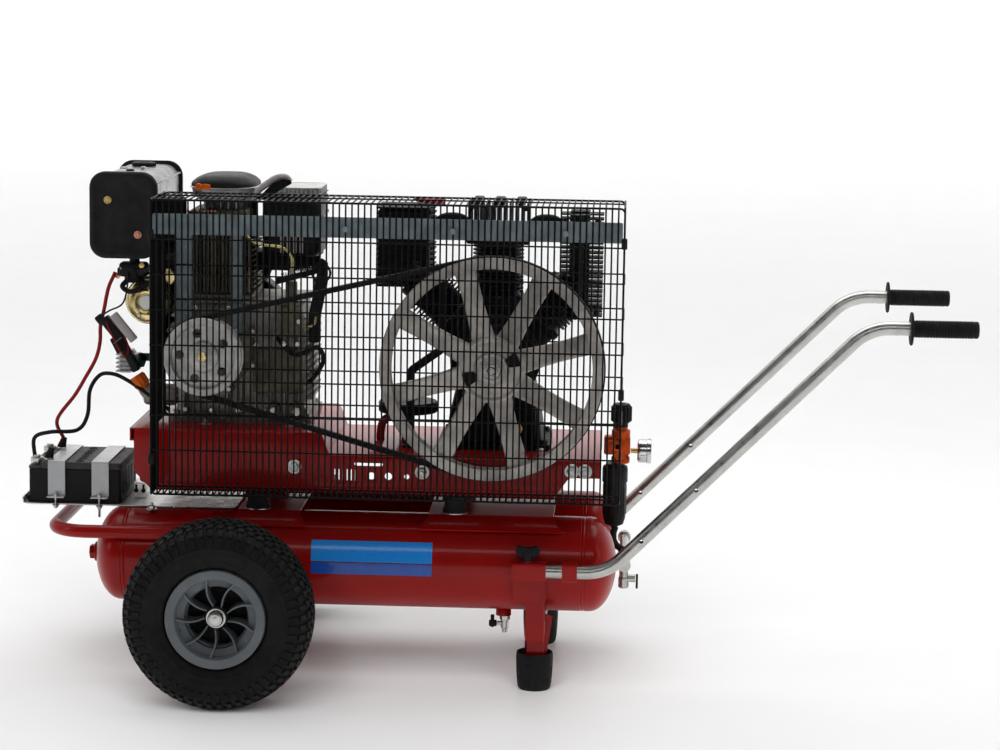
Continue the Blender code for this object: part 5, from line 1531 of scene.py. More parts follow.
def make_air_cleaner():
    """Pale cast base with a dark, lens-shaped lid over it and a bright ring round the joint."""
    node = Node("air_cleaner")
    low, high = node.low, node.high
    cx = (low.x + high.x) / 2
    cy = (low.y + high.y) / 2

    def lens(z, half_x, half_y, shift=0.0):
        points = []
        for k in range(56):
            t = 2 * math.pi * k / 56
            c, s = math.cos(t), math.sin(t)
            points.append((cx + shift + half_x * math.copysign(abs(c) ** 0.72, c), cy + half_y
                           * math.copysign(abs(s) ** 0.62, s), z))
        return points

    half_x, half_y = (high.x - low.x) / 2, (high.y - low.y) / 2
    split = high.z - 0.0205
    shape = new_shape()
    add_loft(shape, [lens(low.z, half_x * 0.62, half_y * 0.66, 0.004), lens(low.z + 0.010, half_x * 0.70, half_y * 0.74, 0.003),
                     lens(low.z + 0.022, half_x * 0.94, half_y * 0.95, 0.001), lens(split - 0.004, half_x * 0.985,
                                                                                half_y * 0.985),
                     lens(split - 0.0008, half_x * 0.985, half_y * 0.985)])
    for k in range(5):
        x = cx - 0.030 + 0.014 * k
        add_box(shape, (x, low.y + 0.012, low.z + 0.002), (x + 0.0025, low.y + 0.030, split - 0.008), 0.0008, 1)
    piece("air_cleaner_base", shape, "tank_silver", "chassis")

    shape = new_shape()
    profile = ((0.0, 1.0, 1.0), (0.0050, 1.0, 1.0), (0.0085, 0.97, 0.98), (0.0145, 0.85, 0.92), (0.0183, 0.70, 0.84),
               (0.0201, 0.58, 0.78))
    add_loft(shape, [lens(split + rise, half_x * across, half_y * along) for rise, across, along in profile])
    piece("air_cleaner_lid", shape, "black_plastic", "chassis", "air_cleaner", 50)

    shape = new_shape()
    bead = [Vector(p) for p in lens(split + 0.0002, half_x * 1.003, half_y * 1.003)]
    add_tube(shape, bead, 0.0016, 10, closed=True)
    piece("air_cleaner_clamp_ring", shape, "chrome", "chassis")


def make_muffler():
    """A pressed black muffler box with louvres, an exhaust elbow and a perforated bright guard on top."""
    node = Node("muffler")
    low, high = node.low, node.high
    shape = new_shape()
    cx, cy = (low.x + high.x) / 2 - 0.002, (low.y + high.y) / 2
    hx, hy = (high.x - low.x) / 2 - 0.003, (high.y - low.y) / 2

    def row(z, k, r=0.018):
        return [(cx + a, cy + b, z) for a, b in rounded_outline(hx * k, hy * k, r * k, 6)]

    seam = (low.z + high.z) / 2 + 0.010
    add_loft(shape, [row(low.z, 0.86), row(low.z + 0.004, 0.93), row(low.z + 0.010, 0.965), row(seam - 0.003, 0.965),
                     row(seam - 0.002, 1.0, 0.019), row(seam + 0.002, 1.0, 0.019), row(seam + 0.003, 0.965),
                     row(high.z - 0.022, 0.965), row(high.z - 0.018, 0.93), row(high.z - 0.0155, 0.86)])
    piece("muffler_box", shape, "black_metal", "chassis", "muffler", 40)

    shape = new_shape()
    top = high.z - 0.0150
    outline = rounded_outline(hx * 0.86, hy * 0.80, 0.012, 6)
    base = [(cx + 0.004 + a, cy + b, top) for a, b in outline]
    rim = [(cx + 0.004 + a, cy + b, top + 0.0015) for a, b in rounded_outline(hx * 0.93, hy * 0.86, 0.014, 6)]
    add_loft(shape, [base, rim])
    piece("muffler_guard_foot", shape, "black_metal", "chassis")

    shape = new_shape()
    pitch = 0.0078
    around = rounded_path([(cx + 0.004 - hx * 0.84, cy - hy * 0.78, 0), (cx + 0.004 + hx * 0.84, cy - hy * 0.78, 0),
                           (cx + 0.004 + hx * 0.84, cy + hy * 0.78, 0), (cx + 0.004 - hx * 0.84, cy + hy * 0.78, 0)],
                          0.012, 5, closed=True)
    for z in (top + 0.0020, top + 0.0130):
        add_tube(shape, [Vector((p.x, p.y, z)) for p in around], 0.0016, 8, closed=True)
    length = sum((b - a).length for a, b in zip(around, around[1:] + around[:1]))
    count = int(length / pitch)
    step = length / count
    run, place = 0.0, 0.0
    for a, b in zip(around, around[1:] + around[:1]):
        segment = (b - a).length
        while place <= run + segment - 1e-9:
            p = a.lerp(b, (place - run) / segment)
            add_box(shape, (p.x - 0.0018, p.y - 0.0012, top + 0.0015), (p.x + 0.0018, p.y + 0.0012, top + 0.0135), 0.0004, 1)
            place += step
        run += segment
    for k in range(int(hy * 1.5 / 0.008)):
        y = cy - hy * 0.72 + k * 0.008
        add_box(shape, (cx + 0.004 - hx * 0.82, y, top + 0.0124), (cx + 0.004 + hx * 0.82, y + 0.0050, top + 0.0140), 0.0006, 1)
    piece("muffler_bright_guard", shape, "bolt_steel", "chassis")

    # The louvres take the pale elbow casting, lighter than the black box: partly their own bare metal, partly painted
    # highlight for the light they catch.
    shape = new_shape()
    for k in range(4):
        x = cx - 0.016 + 0.0115 * k
        add_box(shape, (x - 0.0032, low.y - 0.0015, low.z + 0.006), (x + 0.0032, low.y + 0.004, low.z + 0.062), 0.0016, 2)
    piece("muffler_louvres", shape, "elbow_cast", "chassis")

    shape = new_shape()
    lift = [at(0.016, -0.052, 0.842), at(0.026, -0.054, 0.858), at(0.044, -0.056, 0.872), at(0.060, -0.056, 0.881),
            at(0.074, -0.055, 0.882), at(0.082, -0.054, 0.874)]
    add_tube(shape, smooth_path(lift, 8), 0.0062, 18, radii=[0.0065 - 0.0012 * abs(k - 20) / 20 for k in range(41)])
    piece("exhaust_elbow", shape, "elbow_cast", "chassis")
    shape = new_shape()
    lever = [(AXLE.x + 0.022, 0.842), (AXLE.x + 0.036, 0.842), (AXLE.x + 0.086, 0.872), (AXLE.x + 0.084, 0.878),
             (AXLE.x + 0.070, 0.880), (AXLE.x + 0.052, 0.872)]
    add_prism(shape, rounded_polygon(lever, 0.002), (-0.0665, -0.0635), across_y, 0.0006)
    piece("engine_stop_lever", shape, "black_metal", "chassis")


def make_starter():
    """Starter motor: yellow-plated barrel with a dished cap, through bolts and its solenoid."""
    node = Node("starter_motor")
    low, high = node.low, node.high
    r = node.size.x / 2
    length = node.size.y
    centre = Vector((node.mid.x, low.y, node.mid.z))
    shape = new_shape()
    cap = [(0, 0.004), (r * 0.36, 0.004), (r * 0.40, 0.0015), (r * 0.50, 0.0), (r * 0.54, 0.0015), (r * 0.58, 0.0042),
           (r * 0.74, 0.0050), (r * 0.86, 0.0075), (r * 0.96, 0.0130), (r * 0.985, 0.020), (r * 0.97, 0.0225), (r, 0.0235)]
    add_turned(shape, cap + [(r, length - 0.010), (r * 0.9, length - 0.002), (r * 0.8, length), (0, length)], centre, Y, 72)
    add_rod(shape, centre + Vector((0.030, 0.046, 0.040)), centre + Vector((0.030, 0.110, 0.040)), 0.0155, 36, 0.002)
    piece("starter_barrel", shape, "zinc_yellow", "chassis", "starter_motor")
    shape = new_shape()
    for degrees in (62, 242):
        out = Vector((math.cos(math.radians(degrees)), 0, math.sin(math.radians(degrees))))
        add_bolt(shape, centre + out * r * 0.68 + Y * 0.0055, -Y, 0.0070, washer=False)
    add_turned(shape, [(0, 0), (r * 0.30, 0), (r * 0.33, 0.001), (r * 0.33, 0.003), (0, 0.003)], centre + Y * 0.0018, Y, 40)
    piece("starter_cap_bolts", shape, "bolt_steel", "chassis")
    shape = new_shape()
    add_turned(shape, [(r * 1.01, 0.030), (r * 1.06, 0.031), (r * 1.06, 0.052), (r * 1.01, 0.053)], centre, Y, 64)
    add_turned(shape, [(r * 1.0, length - 0.045), (r * 1.08, length - 0.044), (r * 1.08, length - 0.020),
                       (r * 1.0, length - 0.019)], centre, Y, 64)
    piece("starter_bands", shape, "black_metal", "chassis")


def make_electrics():
    """Relay with its bracket, connector block, finned voltage regulator, oil filler and fuel pump with its hoses."""
    lean = Matrix.Rotation(math.radians(-39), 3, "Y")
    steep = Matrix.Rotation(math.radians(-27), 3, "Y")
    shape = new_shape()
    add_box(shape, at(-0.2420, -0.074, 0.582), at(-0.2250, -0.050, 0.632), 0.0035, 3, turn=lean)
    add_box(shape, at(-0.2320, -0.072, 0.5640), at(-0.2160, -0.052, 0.594), 0.003, 2, turn=steep)
    add_box(shape, at(-0.2135, -0.070, 0.5280), at(-0.1990, -0.052, 0.598), 0.003, 2, turn=steep)
    add_box(shape, at(-0.2620, -0.070, 0.614), at(-0.2480, -0.054, 0.632), 0.003, 2, turn=lean)
    piece("starter_relay", shape, "black_plastic", "chassis")
    shape = new_shape()
    add_box(shape, at(-0.2180, -0.084, 0.582), at(-0.2030, -0.073, 0.642), 0.0025, 2, turn=lean)
    add_box(shape, at(-0.2230, -0.0752, 0.5785), at(-0.2220, -0.0732, 0.5965), 0.0003, 1,
            turn=Matrix.Rotation(math.radians(51), 3, "Y"))
    piece("wiring_connector", shape, "grey_plastic", "chassis")
    shape = new_shape()
    add_prism(shape, rounded_polygon([(AXLE.x - 0.200, 0.537), (AXLE.x - 0.180, 0.537), (AXLE.x - 0.174, 0.555),
                                      (AXLE.x - 0.184, 0.563), (AXLE.x - 0.198, 0.558)], 0.003), (-0.048, -0.045), across_y)
    add_box(shape, at(-0.186, -0.048, 0.548), at(-0.128, -0.045, 0.562), 0.0006, 1)
    piece("regulator_bracket", shape, "green_board", "chassis")
    shape = new_shape()
    add_box(shape, at(-0.222, -0.056, 0.527), at(-0.202, -0.012, 0.566), 0.002, 2)
    add_box(shape, at(-0.204, -0.050, 0.530), at(-0.190, -0.018, 0.560), 0.001, 1)
    for k in range(5):
        z = 0.5285 + 0.0076 * k
        add_box(shape, at(-0.2285, -0.060, z), at(-0.200, -0.010, z + 0.0032), 0.0006, 1)
    piece("voltage_regulator", shape, "tank_silver", "chassis")

    shape = new_shape()
    place = at(-0.176, -0.046, 0.494)
    way = Vector((-0.55, 0.0, 0.83)).normalized()
    add_turned(shape, [(0, 0), (0.0105, 0), (0.0120, 0.002), (0.0122, 0.010), (0.0136, 0.0115), (0.0140, 0.014),
                       (0.0140, 0.0295), (0.0130, 0.0325), (0, 0.0330)], place, way, 32)
    for k in range(12):
        angle = 2 * math.pi * k / 12
        turn = towards(way)
        side = turn @ Vector((math.cos(angle), math.sin(angle), 0))
        add_rod(shape, place + side * 0.0138 + way * 0.013, place + side * 0.0138 + way * 0.0295, 0.0013, 8)
    piece("oil_filler_cap", shape, "orange_plastic", "chassis")
    shape = new_shape()
    add_tube(shape, [place + way * -0.020 + X * 0.012, place + way * -0.006, place + way * 0.004], 0.0125, 24)
    add_box(shape, at(-0.180, -0.062, 0.470), at(-0.118, -0.020, 0.505), 0.008, 3)
    piece("oil_filler_neck", shape, "cast_aluminium", "chassis")

    shape = new_shape()
    add_turned(shape, [(0, 0), (0.016, 0), (0.018, 0.002), (0.018, 0.026), (0.014, 0.031), (0, 0.031)],
               at(-0.196, -0.050, 0.690), Z, 36)
    add_box(shape, at(-0.222, -0.066, 0.700), at(-0.172, -0.034, 0.726), 0.006, 3)
    add_rod(shape, at(-0.226, -0.050, 0.708), at(-0.212, -0.050, 0.708), 0.0075, 24, 0.001)
    add_rod(shape, at(-0.196, -0.050, 0.720), at(-0.196, -0.050, 0.7375), 0.009, 24, 0.001)
    piece("fuel_tap_and_filter", shape, "black_plastic", "chassis")
    shape = new_shape()
    for line in ([at(-0.190, -0.060, 0.712), at(-0.170, -0.078, 0.715), at(-0.148, -0.080, 0.735), at(-0.118, -0.078, 0.740),
                  at(-0.100, -0.070, 0.728)],
                 [at(-0.205, -0.062, 0.696), at(-0.214, -0.072, 0.684), at(-0.196, -0.078, 0.676), at(-0.168, -0.074, 0.690),
                  at(-0.140, -0.070, 0.700)]):
        add_tube(shape, smooth_path(line, 8), 0.0045, 16)
    piece("fuel_hoses", shape, "black_rubber", "chassis")
    shape = new_shape()
    for place in (at(-0.214, -0.062, 0.716), at(-0.180, -0.066, 0.722), at(-0.226, -0.048, 0.700)):
        add_turned(shape, [(0, 0), (0.0048, 0), (0.0048, 0.0035), (0, 0.0040)], place, -Y, 18)
    piece("fuel_tap_unions", shape, "brass", "chassis")


def make_cowling_and_shade_sheets():
    """Black pressed sheets: the cooling duct beside the cylinder with its top flap, and a sheet under the muffler that
    is painted shade, standing for the muffler's shadow.
    """
    shape = new_shape()
    add_box(shape, at(-0.1780, 0.016, 0.668), at(-0.1215, 0.024, 0.760), 0.006, 3)
    add_box(shape, at(-0.1780, 0.016, 0.745), at(-0.1205, 0.050, 0.790), 0.005, 3)
    add_box(shape, at(-0.1900, 0.010, 0.792), at(-0.1130, 0.020, 0.838), 0.004, 3)
    add_box(shape, at(-0.0100, 0.010, 0.795), at(0.0140, 0.020, 0.846), 0.003, 2)
    # Painted shade: these black sheets under the muffler stand for its shadow over the gap behind it.
    add_box(shape, at(0.0005, 0.014, 0.7085), at(0.1285, 0.022, 0.7410), 0.004, 3)
    add_box(shape, at(0.0005, 0.016, 0.7360), at(0.1285, 0.070, 0.7405), 0.002, 2)
    piece("engine_cowling_and_shade_sheets", shape, "black_metal", "chassis")


def make_recoil_starter():
    """Pressed fan housing with a ring of louvres, a hub cap, its rope eyelet, and the T grip on its rope."""
    node = Node("recoil_housing")
    low, high = node.low, node.high
    centre = Vector((node.mid.x, low.y, node.mid.z))
    r = node.size.x / 2
    depth = node.size.y
    shape = new_shape()
    outer = [(r * 0.98, 0.0), (r, 0.003), (r, depth * 0.60), (r * 0.985, depth * 0.66), (r * 0.93, depth * 0.76),
             (r * 0.86, depth * 0.86), (r * 0.60, depth * 0.93), (r * 0.42, depth * 0.97), (r * 0.38, depth * 0.995),
             (r * 0.12, depth), (0, depth)]
    inner = [(0, depth - 0.003), (r * 0.36, depth - 0.0035), (r * 0.58, depth * 0.93 - 0.003), (r * 0.84, depth * 0.86 - 0.004),
             (r * 0.95, depth * 0.64), (r * 0.965, depth * 0.5), (r * 0.965, 0.0)]
    add_turned(shape, inner + outer[::-1][::-1], centre, Y, 96) if False else add_turned(shape, outer + inner, centre, Y, 96)
    for k in range(28):
        angle = 2 * math.pi * k / 28
        out = Vector((math.cos(angle), 0, math.sin(angle)))
        across = out.cross(Y)
        sections = []
        for reach, level in ((r * 0.47, depth * 0.965), (r * 0.62, depth * 0.932), (r * 0.80, depth * 0.885)):
            middle = centre + out * reach + Y * level
            sections.append([middle + across * 0.0045, middle - across * 0.0045, middle - across * 0.0035 + Y * 0.0045,
                             middle + across * 0.0015 + Y * 0.0052])
        add_loft(shape, sections)
    start = at(0.010, 0.150, 0.690)
    way = Vector((0.5, 0, 0.8660254))
    add_turned(shape, [(0.0040, -0.030), (0.0120, -0.030), (0.0130, -0.004), (0.0105, 0.0105), (0.0040, 0.0105)], start, way, 32)
    piece("recoil_cover", shape, "black_metal", "chassis", "recoil_housing", 35)

    shape = new_shape()
    for k in range(6):
        angle = math.radians(30 + 60 * k)
        add_bolt(shape, centre + Vector((math.cos(angle), 0, math.sin(angle))) * r * 0.93 + Y * depth * 0.72, Y, 0.009)
    add_turned(shape, [(0, 0), (r * 0.10, 0), (r * 0.10, 0.004), (0, 0.005)], centre + Y * (depth - 0.0045), Y, 32)
    piece("recoil_cover_bolts", shape, "bolt_steel", "chassis")

    shape = new_shape()
    bar = start + way * 0.022
    sections = []
    for k in range(13):
        t = -1 + 2 * k / 12
        bulge = 0.0062 + 0.0013 * math.cos(t * math.pi * 0.5) - (0.0022 if abs(t) > 0.98 else 0)
        ring = []
        for i in range(20):
            a = 2 * math.pi * i / 20
            ring.append(bar + Y * (0.0240 * t) + (towards(way) @ Vector((math.cos(a), 0, 0))) * 0 + way * (bulge * math.cos(a))
                        + way.cross(Y) * (bulge * 1.05 * math.sin(a)))
        sections.append(ring)
    add_loft(shape, sections)
    add_rod(shape, start + way * 0.0120, bar, 0.0070, 28, 0.001)
    piece("recoil_t_grip", shape, "black_plastic", "recoil_pull", "recoil_grip", 40)

    shape = new_shape()
    rope = [start + way * (0.0015 + 0.0145 * k / 40) for k in range(41)]
    add_tube(shape, rope, 0.0022, 12)
    bmesh.ops.recalc_face_normals(shape, faces=shape.faces)
    mesh = bpy.data.meshes.new("recoil_rope")
    shape.to_mesh(mesh)
    shape.free()
    obj = bpy.data.objects.new("recoil_rope", mesh)
    bpy.context.scene.collection.objects.link(obj)
    mesh.materials.append(MATERIALS["black_cable"])
    mesh.shade_smooth()
    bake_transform(obj)


def make_decompression_lever():
    """The orange lever on the head's side: a round hub with a short shaped arm."""
    node = Node("decompression_lever")
    low, high = node.low, node.high
    x, z = low.x + 0.006, node.mid.z
    shape = new_shape()
    add_turned(shape, [(0, 0), (0.0052, 0), (0.006, 0.0008), (0.006, 0.0072), (0.0052, 0.008), (0, 0.008)],
               (x, low.y, z), Y, 32)
    sections = []
    for k in range(7):
        t = k / 6
        reach = x + (high.x - x) * t
        half = 0.0030 + 0.0018 * math.sin(t * math.pi * 0.9)
        sections.append([(reach, low.y + 0.001 + a, z + b) for a, b in [(0, -half), (0.006, -half), (0.006, half), (0, half)]])
    add_loft(shape, sections)
    piece("decompression_handle", shape, "orange_plastic", "decompressor", "decompression_lever")


def make_fuel_tank():
    """Silver pressed tank with a welded seam between two black moulded end covers."""
    node = Node("fuel_tank")
    low, high = node.low, node.high
    cx, cz = (low.x + high.x) / 2, (low.z + high.z) / 2
    hx, hz = (high.x - low.x) / 2, (high.z - low.z) / 2
    cap = Node("fuel_cap")

    def row(y, k=0.0, r=0.026):
        return [(cx + a, y, cz + b) for a, b in rounded_outline(hx - k, hz - k, r, 8)]

    flange = high.z - 0.0150
    shape = new_shape()
    rows = [row(low.y, 0.004), row(low.y + 0.004, 0.0)]
    rows += [row(high.y - 0.004, 0.0), row(high.y, 0.004)]
    add_loft(shape, rows)
    for x in (low.x, high.x):
        add_box(shape, (x - 0.0036, low.y + 0.004, flange - 0.0016), (x + 0.0036, high.y - 0.004, flange + 0.0016), 0.0008, 2)
    for x, y in ((cx - 0.028, cap.mid.y - 0.050), (cx + 0.012, cap.mid.y - 0.062), (cx - 0.004, cap.mid.y + 0.048)):
        add_turned(shape, [(0, -0.004), (0.0075, -0.004), (0.0075, 0.0012), (0.0052, 0.0026), (0, 0.0026)], (x, y, high.z), Z, 24)
    add_turned(shape, [(0.0158, -0.004), (0.0205, -0.004), (0.0205, 0.0018), (0.0158, 0.0018)],
               (cap.mid.x, cap.mid.y, high.z - 0.0015), Z, 40)
    add_turned(shape, [(0, 0), (0.009, 0), (0.009, 0.003), (0.006, 0.004), (0, 0.004)], (cx - 0.020, -0.020, low.z - 0.0035), Z, 24)
    piece("fuel_tank_shell", shape, "tank_silver", "chassis", "fuel_tank", 40)

    for side, way in (("left", -1), ("right", 1)):
        cover = Node(f"fuel_tank_cover_{side}")
        face = cover.low.y if way < 0 else cover.high.y
        inner = cover.high.y if way < 0 else cover.low.y
        ccx, ccz = cover.mid.x, cover.mid.z
        chx, chz = cover.size.x / 2, cover.size.z / 2

        def skin(y, k, r):
            return [(ccx + a, y, ccz + b) for a, b in rounded_outline(chx - k, chz - k, r, 10)]

        depth = abs(inner - face)
        shape = new_shape()
        rows = [skin(inner, 0.0015, 0.0265), skin(inner - way * -0.0008, 0.0, 0.028), skin(inner + way * (depth - 0.0070), 0.0, 0.028)]
        for k in range(1, 6):
            a = math.radians(90 * k / 5)
            rows.append(skin(face - way * 0.0070 * (1 - math.sin(a)), 0.0070 * (1 - math.cos(a)), 0.028 - 0.0060 * (1 - math.cos(a))))
        rows += [skin(face, 0.0095, 0.019), skin(face - way * 0.0006, 0.0110, 0.018), skin(face - way * 0.0022, 0.0135, 0.017),
                 skin(face - way * 0.0024, 0.030, 0.012)]
        add_loft(shape, rows)
        piece(f"fuel_cover_{side}_moulding", shape, "cover_black", "chassis", cover.name, 40)
        if way < 0:
            for name, finish, dx, dz in (("upper", "brass", -0.0270, 0.0270), ("lower", "copper", 0.0260, -0.0335)):
                shape = new_shape()
                place = Vector((ccx + dx, face + 0.0024, ccz + dz))
                add_turned(shape, [(0, 0), (0.0068, 0), (0.0068, 0.0008), (0, 0.0008)], place, -Y, 32)
                add_hex(shape, place - Y * 0.0006, -Y, 0.0092, 0.0042)
                piece(f"fuel_cover_{name}_bolt", shape, finish, "chassis")

    shape = new_shape()
    base = Vector((cap.mid.x, cap.mid.y, 0))
    bottom, top = cap.low.z, cap.high.z
    rim = high.z + 0.0004
    r = cap.size.x / 2
    add_turned(shape, [(0, bottom), (0.0142, bottom), (0.0142, rim), (r - 0.001, rim), (r - 0.001, top - 0.002), (r - 0.003, top - 0.0002),
                       (r * 0.60, top - 0.0002), (r * 0.55, top - 0.0012), (0, top - 0.0012)], base, Z, 64)
    for k in range(30):
        a = 2 * math.pi * k / 30
        p = base + Vector((math.cos(a) * (r - 0.0009), math.sin(a) * (r - 0.0009), 0))
        add_rod(shape, p + Z * (rim + 0.0006), p + Z * (top - 0.0016), 0.0009, 6)
    add_box(shape, (cap.mid.x - r * 0.48, cap.mid.y - 0.0028, top - 0.0014), (cap.mid.x + r * 0.48, cap.mid.y + 0.0028, top), 0.0006, 1)
    piece("fuel_filler_cap", shape, "black_plastic", "fuel_filler", "fuel_cap", 35)

    shape = new_shape()
    add_turned(shape, [(0, 0), (0.0075, 0), (0.0075, 0.0030), (0.0060, 0.0036), (0, 0.0036)], (cx - 0.006, 0.010, high.z - 0.0004), Z, 24)
    piece("fuel_level_plug", shape, "black_plastic", "chassis")
    shape = new_shape()
    add_bolt(shape, (cx + 0.012, 0.042, high.z), Z, 0.0085)
    piece("fuel_strap_bolt", shape, "bolt_steel", "chassis")


# ---------------------------------------------------------------- pump and drive


def add_disc_spokes(shape, centre, count, phase, inner, outer, half_in, half_out, front_in, front_out, thick):
    """Blade spokes between a hub and a rim, wider at the hub, each twisted a little like a fan's."""
    for k in range(count):
        angle = math.radians(phase) + 2 * math.pi * k / count
        out = Vector((math.cos(angle), 0, math.sin(angle)))
        side = Vector((-math.sin(angle), 0, math.cos(angle)))
        sections = []
        for step in range(7):
            t = step / 6
            reach = inner + (outer - inner) * t
            half = half_in + (half_out - half_in) * t + 0.0030 * (2 * t - 1) ** 2
            twist = math.radians(17) * (1 - 0.3 * t)
            face = front_in + (front_out - front_in) * t
            along = side * math.cos(twist) + Y * math.sin(twist)
            deep = Y * math.cos(twist) - side * math.sin(twist)
            middle = centre + out * reach + Y * (face + thick / 2)
            ring = []
            for a, b in rounded_outline(half, thick / 2, thick * 0.42, 4):
                ring.append(middle + along * a + deep * b)
            sections.append(ring)
        add_loft(shape, sections)


def make_flywheel():
    """The big spoked fan wheel: grooved rim, twisted blades, dished hub with two pockets, and its hub washer."""
    node = Node("pump_flywheel")
    low, high = node.low, node.high
    centre = Vector((node.mid.x, -0.186, node.mid.z))
    shape = new_shape()
    rim = [(0.1755, -0.0160), (0.1775, -0.0168 + 0.0010), (0.1925, -0.0160), (0.1942, -0.0148), (0.1942, -0.0098),
           (0.1858, -0.0066), (0.1858, 0.0066), (0.1942, 0.0098), (0.1942, 0.0148), (0.1925, 0.0160), (0.1775, 0.0160),
           (0.1750, 0.0145), (0.1742, 0.0080), (0.1742, -0.0080), (0.1748, -0.0150)]
    add_turned(shape, rim, centre, Y, 160)
    add_turned(shape, [(0.1765, -0.0150), (0.1765, -0.0161), (0.1915, -0.0161), (0.1915, -0.0150)], centre, Y, 160)
    hub = [(0.0165, -0.0165), (0.0280, -0.0178), (0.0300, -0.0165), (0.0315, -0.0105), (0.0480, -0.0095), (0.0535, -0.0125),
           (0.0575, -0.0115), (0.0580, 0.0080), (0.0560, 0.0135), (0.0345, 0.0140), (0.0338, 0.0590), (0.0320, 0.0600),
           (0.0165, 0.0600)]
    add_turned(shape, hub, centre, Y, 96)
    add_disc_spokes(shape, centre, 8, 16, 0.0555, 0.1760, 0.0185, 0.0165, -0.0075, -0.0060, 0.0082)
    for k in range(8):
        angle = math.radians(16 + 45 * k)
        out = Vector((math.cos(angle), 0, math.sin(angle)))
        side = Vector((-math.sin(angle), 0, math.cos(angle)))
        rib = []
        for reach, drop in ((0.0500, 0.0125), (0.0900, 0.0085), (0.1300, 0.0060), (0.1755, 0.0075)):
            p = centre + out * reach + Y * 0.0005
            rib.append([p + side * 0.0022, p - side * 0.0022, p - side * 0.0018 + Y * drop, p + side * 0.0018 + Y * drop])
        add_loft(shape, rib)
    wheel = piece("flywheel_casting", shape, "wheel_casting", "pump_drive", "pump_flywheel", 40)
    pockets = new_shape()
    for degrees in (24, 202):
        angle = math.radians(degrees)
        out = Vector((math.cos(angle), 0, math.sin(angle)))
        side = Vector((-math.sin(angle), 0, math.cos(angle)))
        outline = rounded_polygon([(0.0275, -0.0080), (0.0500, -0.0135), (0.0500, 0.0135), (0.0275, 0.0080)], 0.003, 4)
        add_prism(pockets, outline, (-0.024, -0.0015), lambda a, b, depth: centre + out * a + side * b + Y * depth)
    cut_piece(wheel, pockets)

    shape = new_shape()
    add_turned(shape, [(0.0162, 0), (0.0215, 0), (0.0220, -0.0008), (0.0220, -0.0026), (0.0205, -0.0034), (0.0162, -0.0034)],
               centre + Y * -0.0165, Y, 48)
    piece("flywheel_hub_washer", shape, "wheel_casting", "pump_drive")
    # Near-black plates set inside the cut pockets: painted shade standing for the dark openings in the hub.
    shape = new_shape()
    for degrees in (24, 202):
        angle = math.radians(degrees)
        out = Vector((math.cos(angle), 0, math.sin(angle)))
        side = Vector((-math.sin(angle), 0, math.cos(angle)))
        outline = rounded_polygon([(0.0290, -0.0075), (0.0505, -0.0140), (0.0505, 0.0140), (0.0290, 0.0075)], 0.004, 4)
        add_prism(shape, outline, (-0.0131, -0.0112), lambda a, b, depth: centre + out * a + side * b + Y * depth)
    piece("flywheel_pocket_shade_plates", shape, "cast_black", "pump_drive")


def make_pump_shaft():
    node = Node("pump_crankshaft")
    low, high = node.low, node.high
    r = 0.016
    base = Vector((PUMP_AXIS.x, low.y, PUMP_AXIS.z))
    shape = new_shape()
    add_turned(shape, [(0, 0), (0.0058, 0), (0.0062, 0.0020), (0.0100, 0.0022), (0.0110, 0.0035), (0.0110, 0.0095), (r - 0.001, 0.0100),
                       (r, 0.0110), (r, node.size.y - 0.001), (r - 0.001, node.size.y), (0, node.size.y)], base, Y, 48)
    add_rod(shape, base + Vector((0, 0.175, -0.024)), base + Vector((0, 0.270, -0.024)), 0.0295, 40, 0.002)
    piece("pump_shaft", shape, "bright_steel", "pump_drive", "pump_crankshaft")
    shape = new_shape()
    add_hex(shape, base + Y * 0.0105, -Y, 0.0170, 0.0090)
    piece("pump_shaft_nut", shape, "black_metal", "pump_drive")

    node = Node("engine_crankshaft")
    r = 0.0125
    base = Vector((ENGINE_AXIS.x, node.low.y, ENGINE_AXIS.z))
    shape = new_shape()
    add_turned(shape, [(0, 0.0080), (r - 0.001, 0.0080), (r, 0.0090), (r, node.size.y - 0.001), (r - 0.001, node.size.y),
                       (0, node.size.y)], base, Y, 48)
    for start in (0.176, 0.218):
        add_rod(shape, base + Vector((0, start, -0.024)), base + Vector((0, start + 0.018, -0.024)), 0.0265, 40, 0.002)
    piece("engine_shaft", shape, "bright_steel", "engine_drive", "engine_crankshaft")


def make_pulley():
    """The engine's grooved pulley: rim, dished web with five holes, hub and its brass-coloured bolt."""
    node = Node("engine_pulley")
    centre = Vector((node.mid.x, -0.186, node.mid.z))
    shape = new_shape()
    body = [(0.0128, -0.0100), (0.0235, -0.0105), (0.0255, -0.0095), (0.0270, -0.0050), (0.0285, -0.0040), (0.0540, -0.0040),
            (0.0555, -0.0070), (0.0560, -0.0132), (0.0572, -0.0140), (0.0672, -0.0140), (0.0684, -0.0128), (0.0684, -0.0095),
            (0.0592, -0.0062), (0.0592, 0.0062), (0.0684, 0.0095), (0.0684, 0.0130), (0.0672, 0.0140), (0.0560, 0.0140),
            (0.0552, 0.0070), (0.0540, 0.0050), (0.0305, 0.0050), (0.0300, 0.0080), (0.0298, 0.0585), (0.0285, 0.0600),
            (0.0128, 0.0600)]
    add_turned(shape, body, centre, Y, 120)
    obj = piece("pulley_casting_body", shape, "pulley_casting", "engine_drive", "engine_pulley", 35)
    holes = new_shape()
    for k in range(5):
        angle = math.radians(33 + 72 * k)
        out = Vector((math.cos(angle), 0, math.sin(angle))) * 0.0415
        add_turned(holes, [(0, -0.03), (0.0082, -0.03), (0.0082, 0.0290), (0, 0.0290)], centre + out, Y, 36)
    cut_piece(obj, holes)
    shape = new_shape()
    face = centre + Y * -0.0100
    add_turned(shape, [(0, 0), (0.0165, 0), (0.0170, -0.0008), (0.0170, -0.0022), (0.0160, -0.0028), (0, -0.0028)], face, Y, 48)
    piece("pulley_washer", shape, "pulley_casting", "engine_drive")
    shape = new_shape()
    add_hex(shape, face + Y * -0.0026, -Y, 0.0170, 0.0072)
    piece("pulley_centre_bolt", shape, "zinc_yellow", "engine_drive")


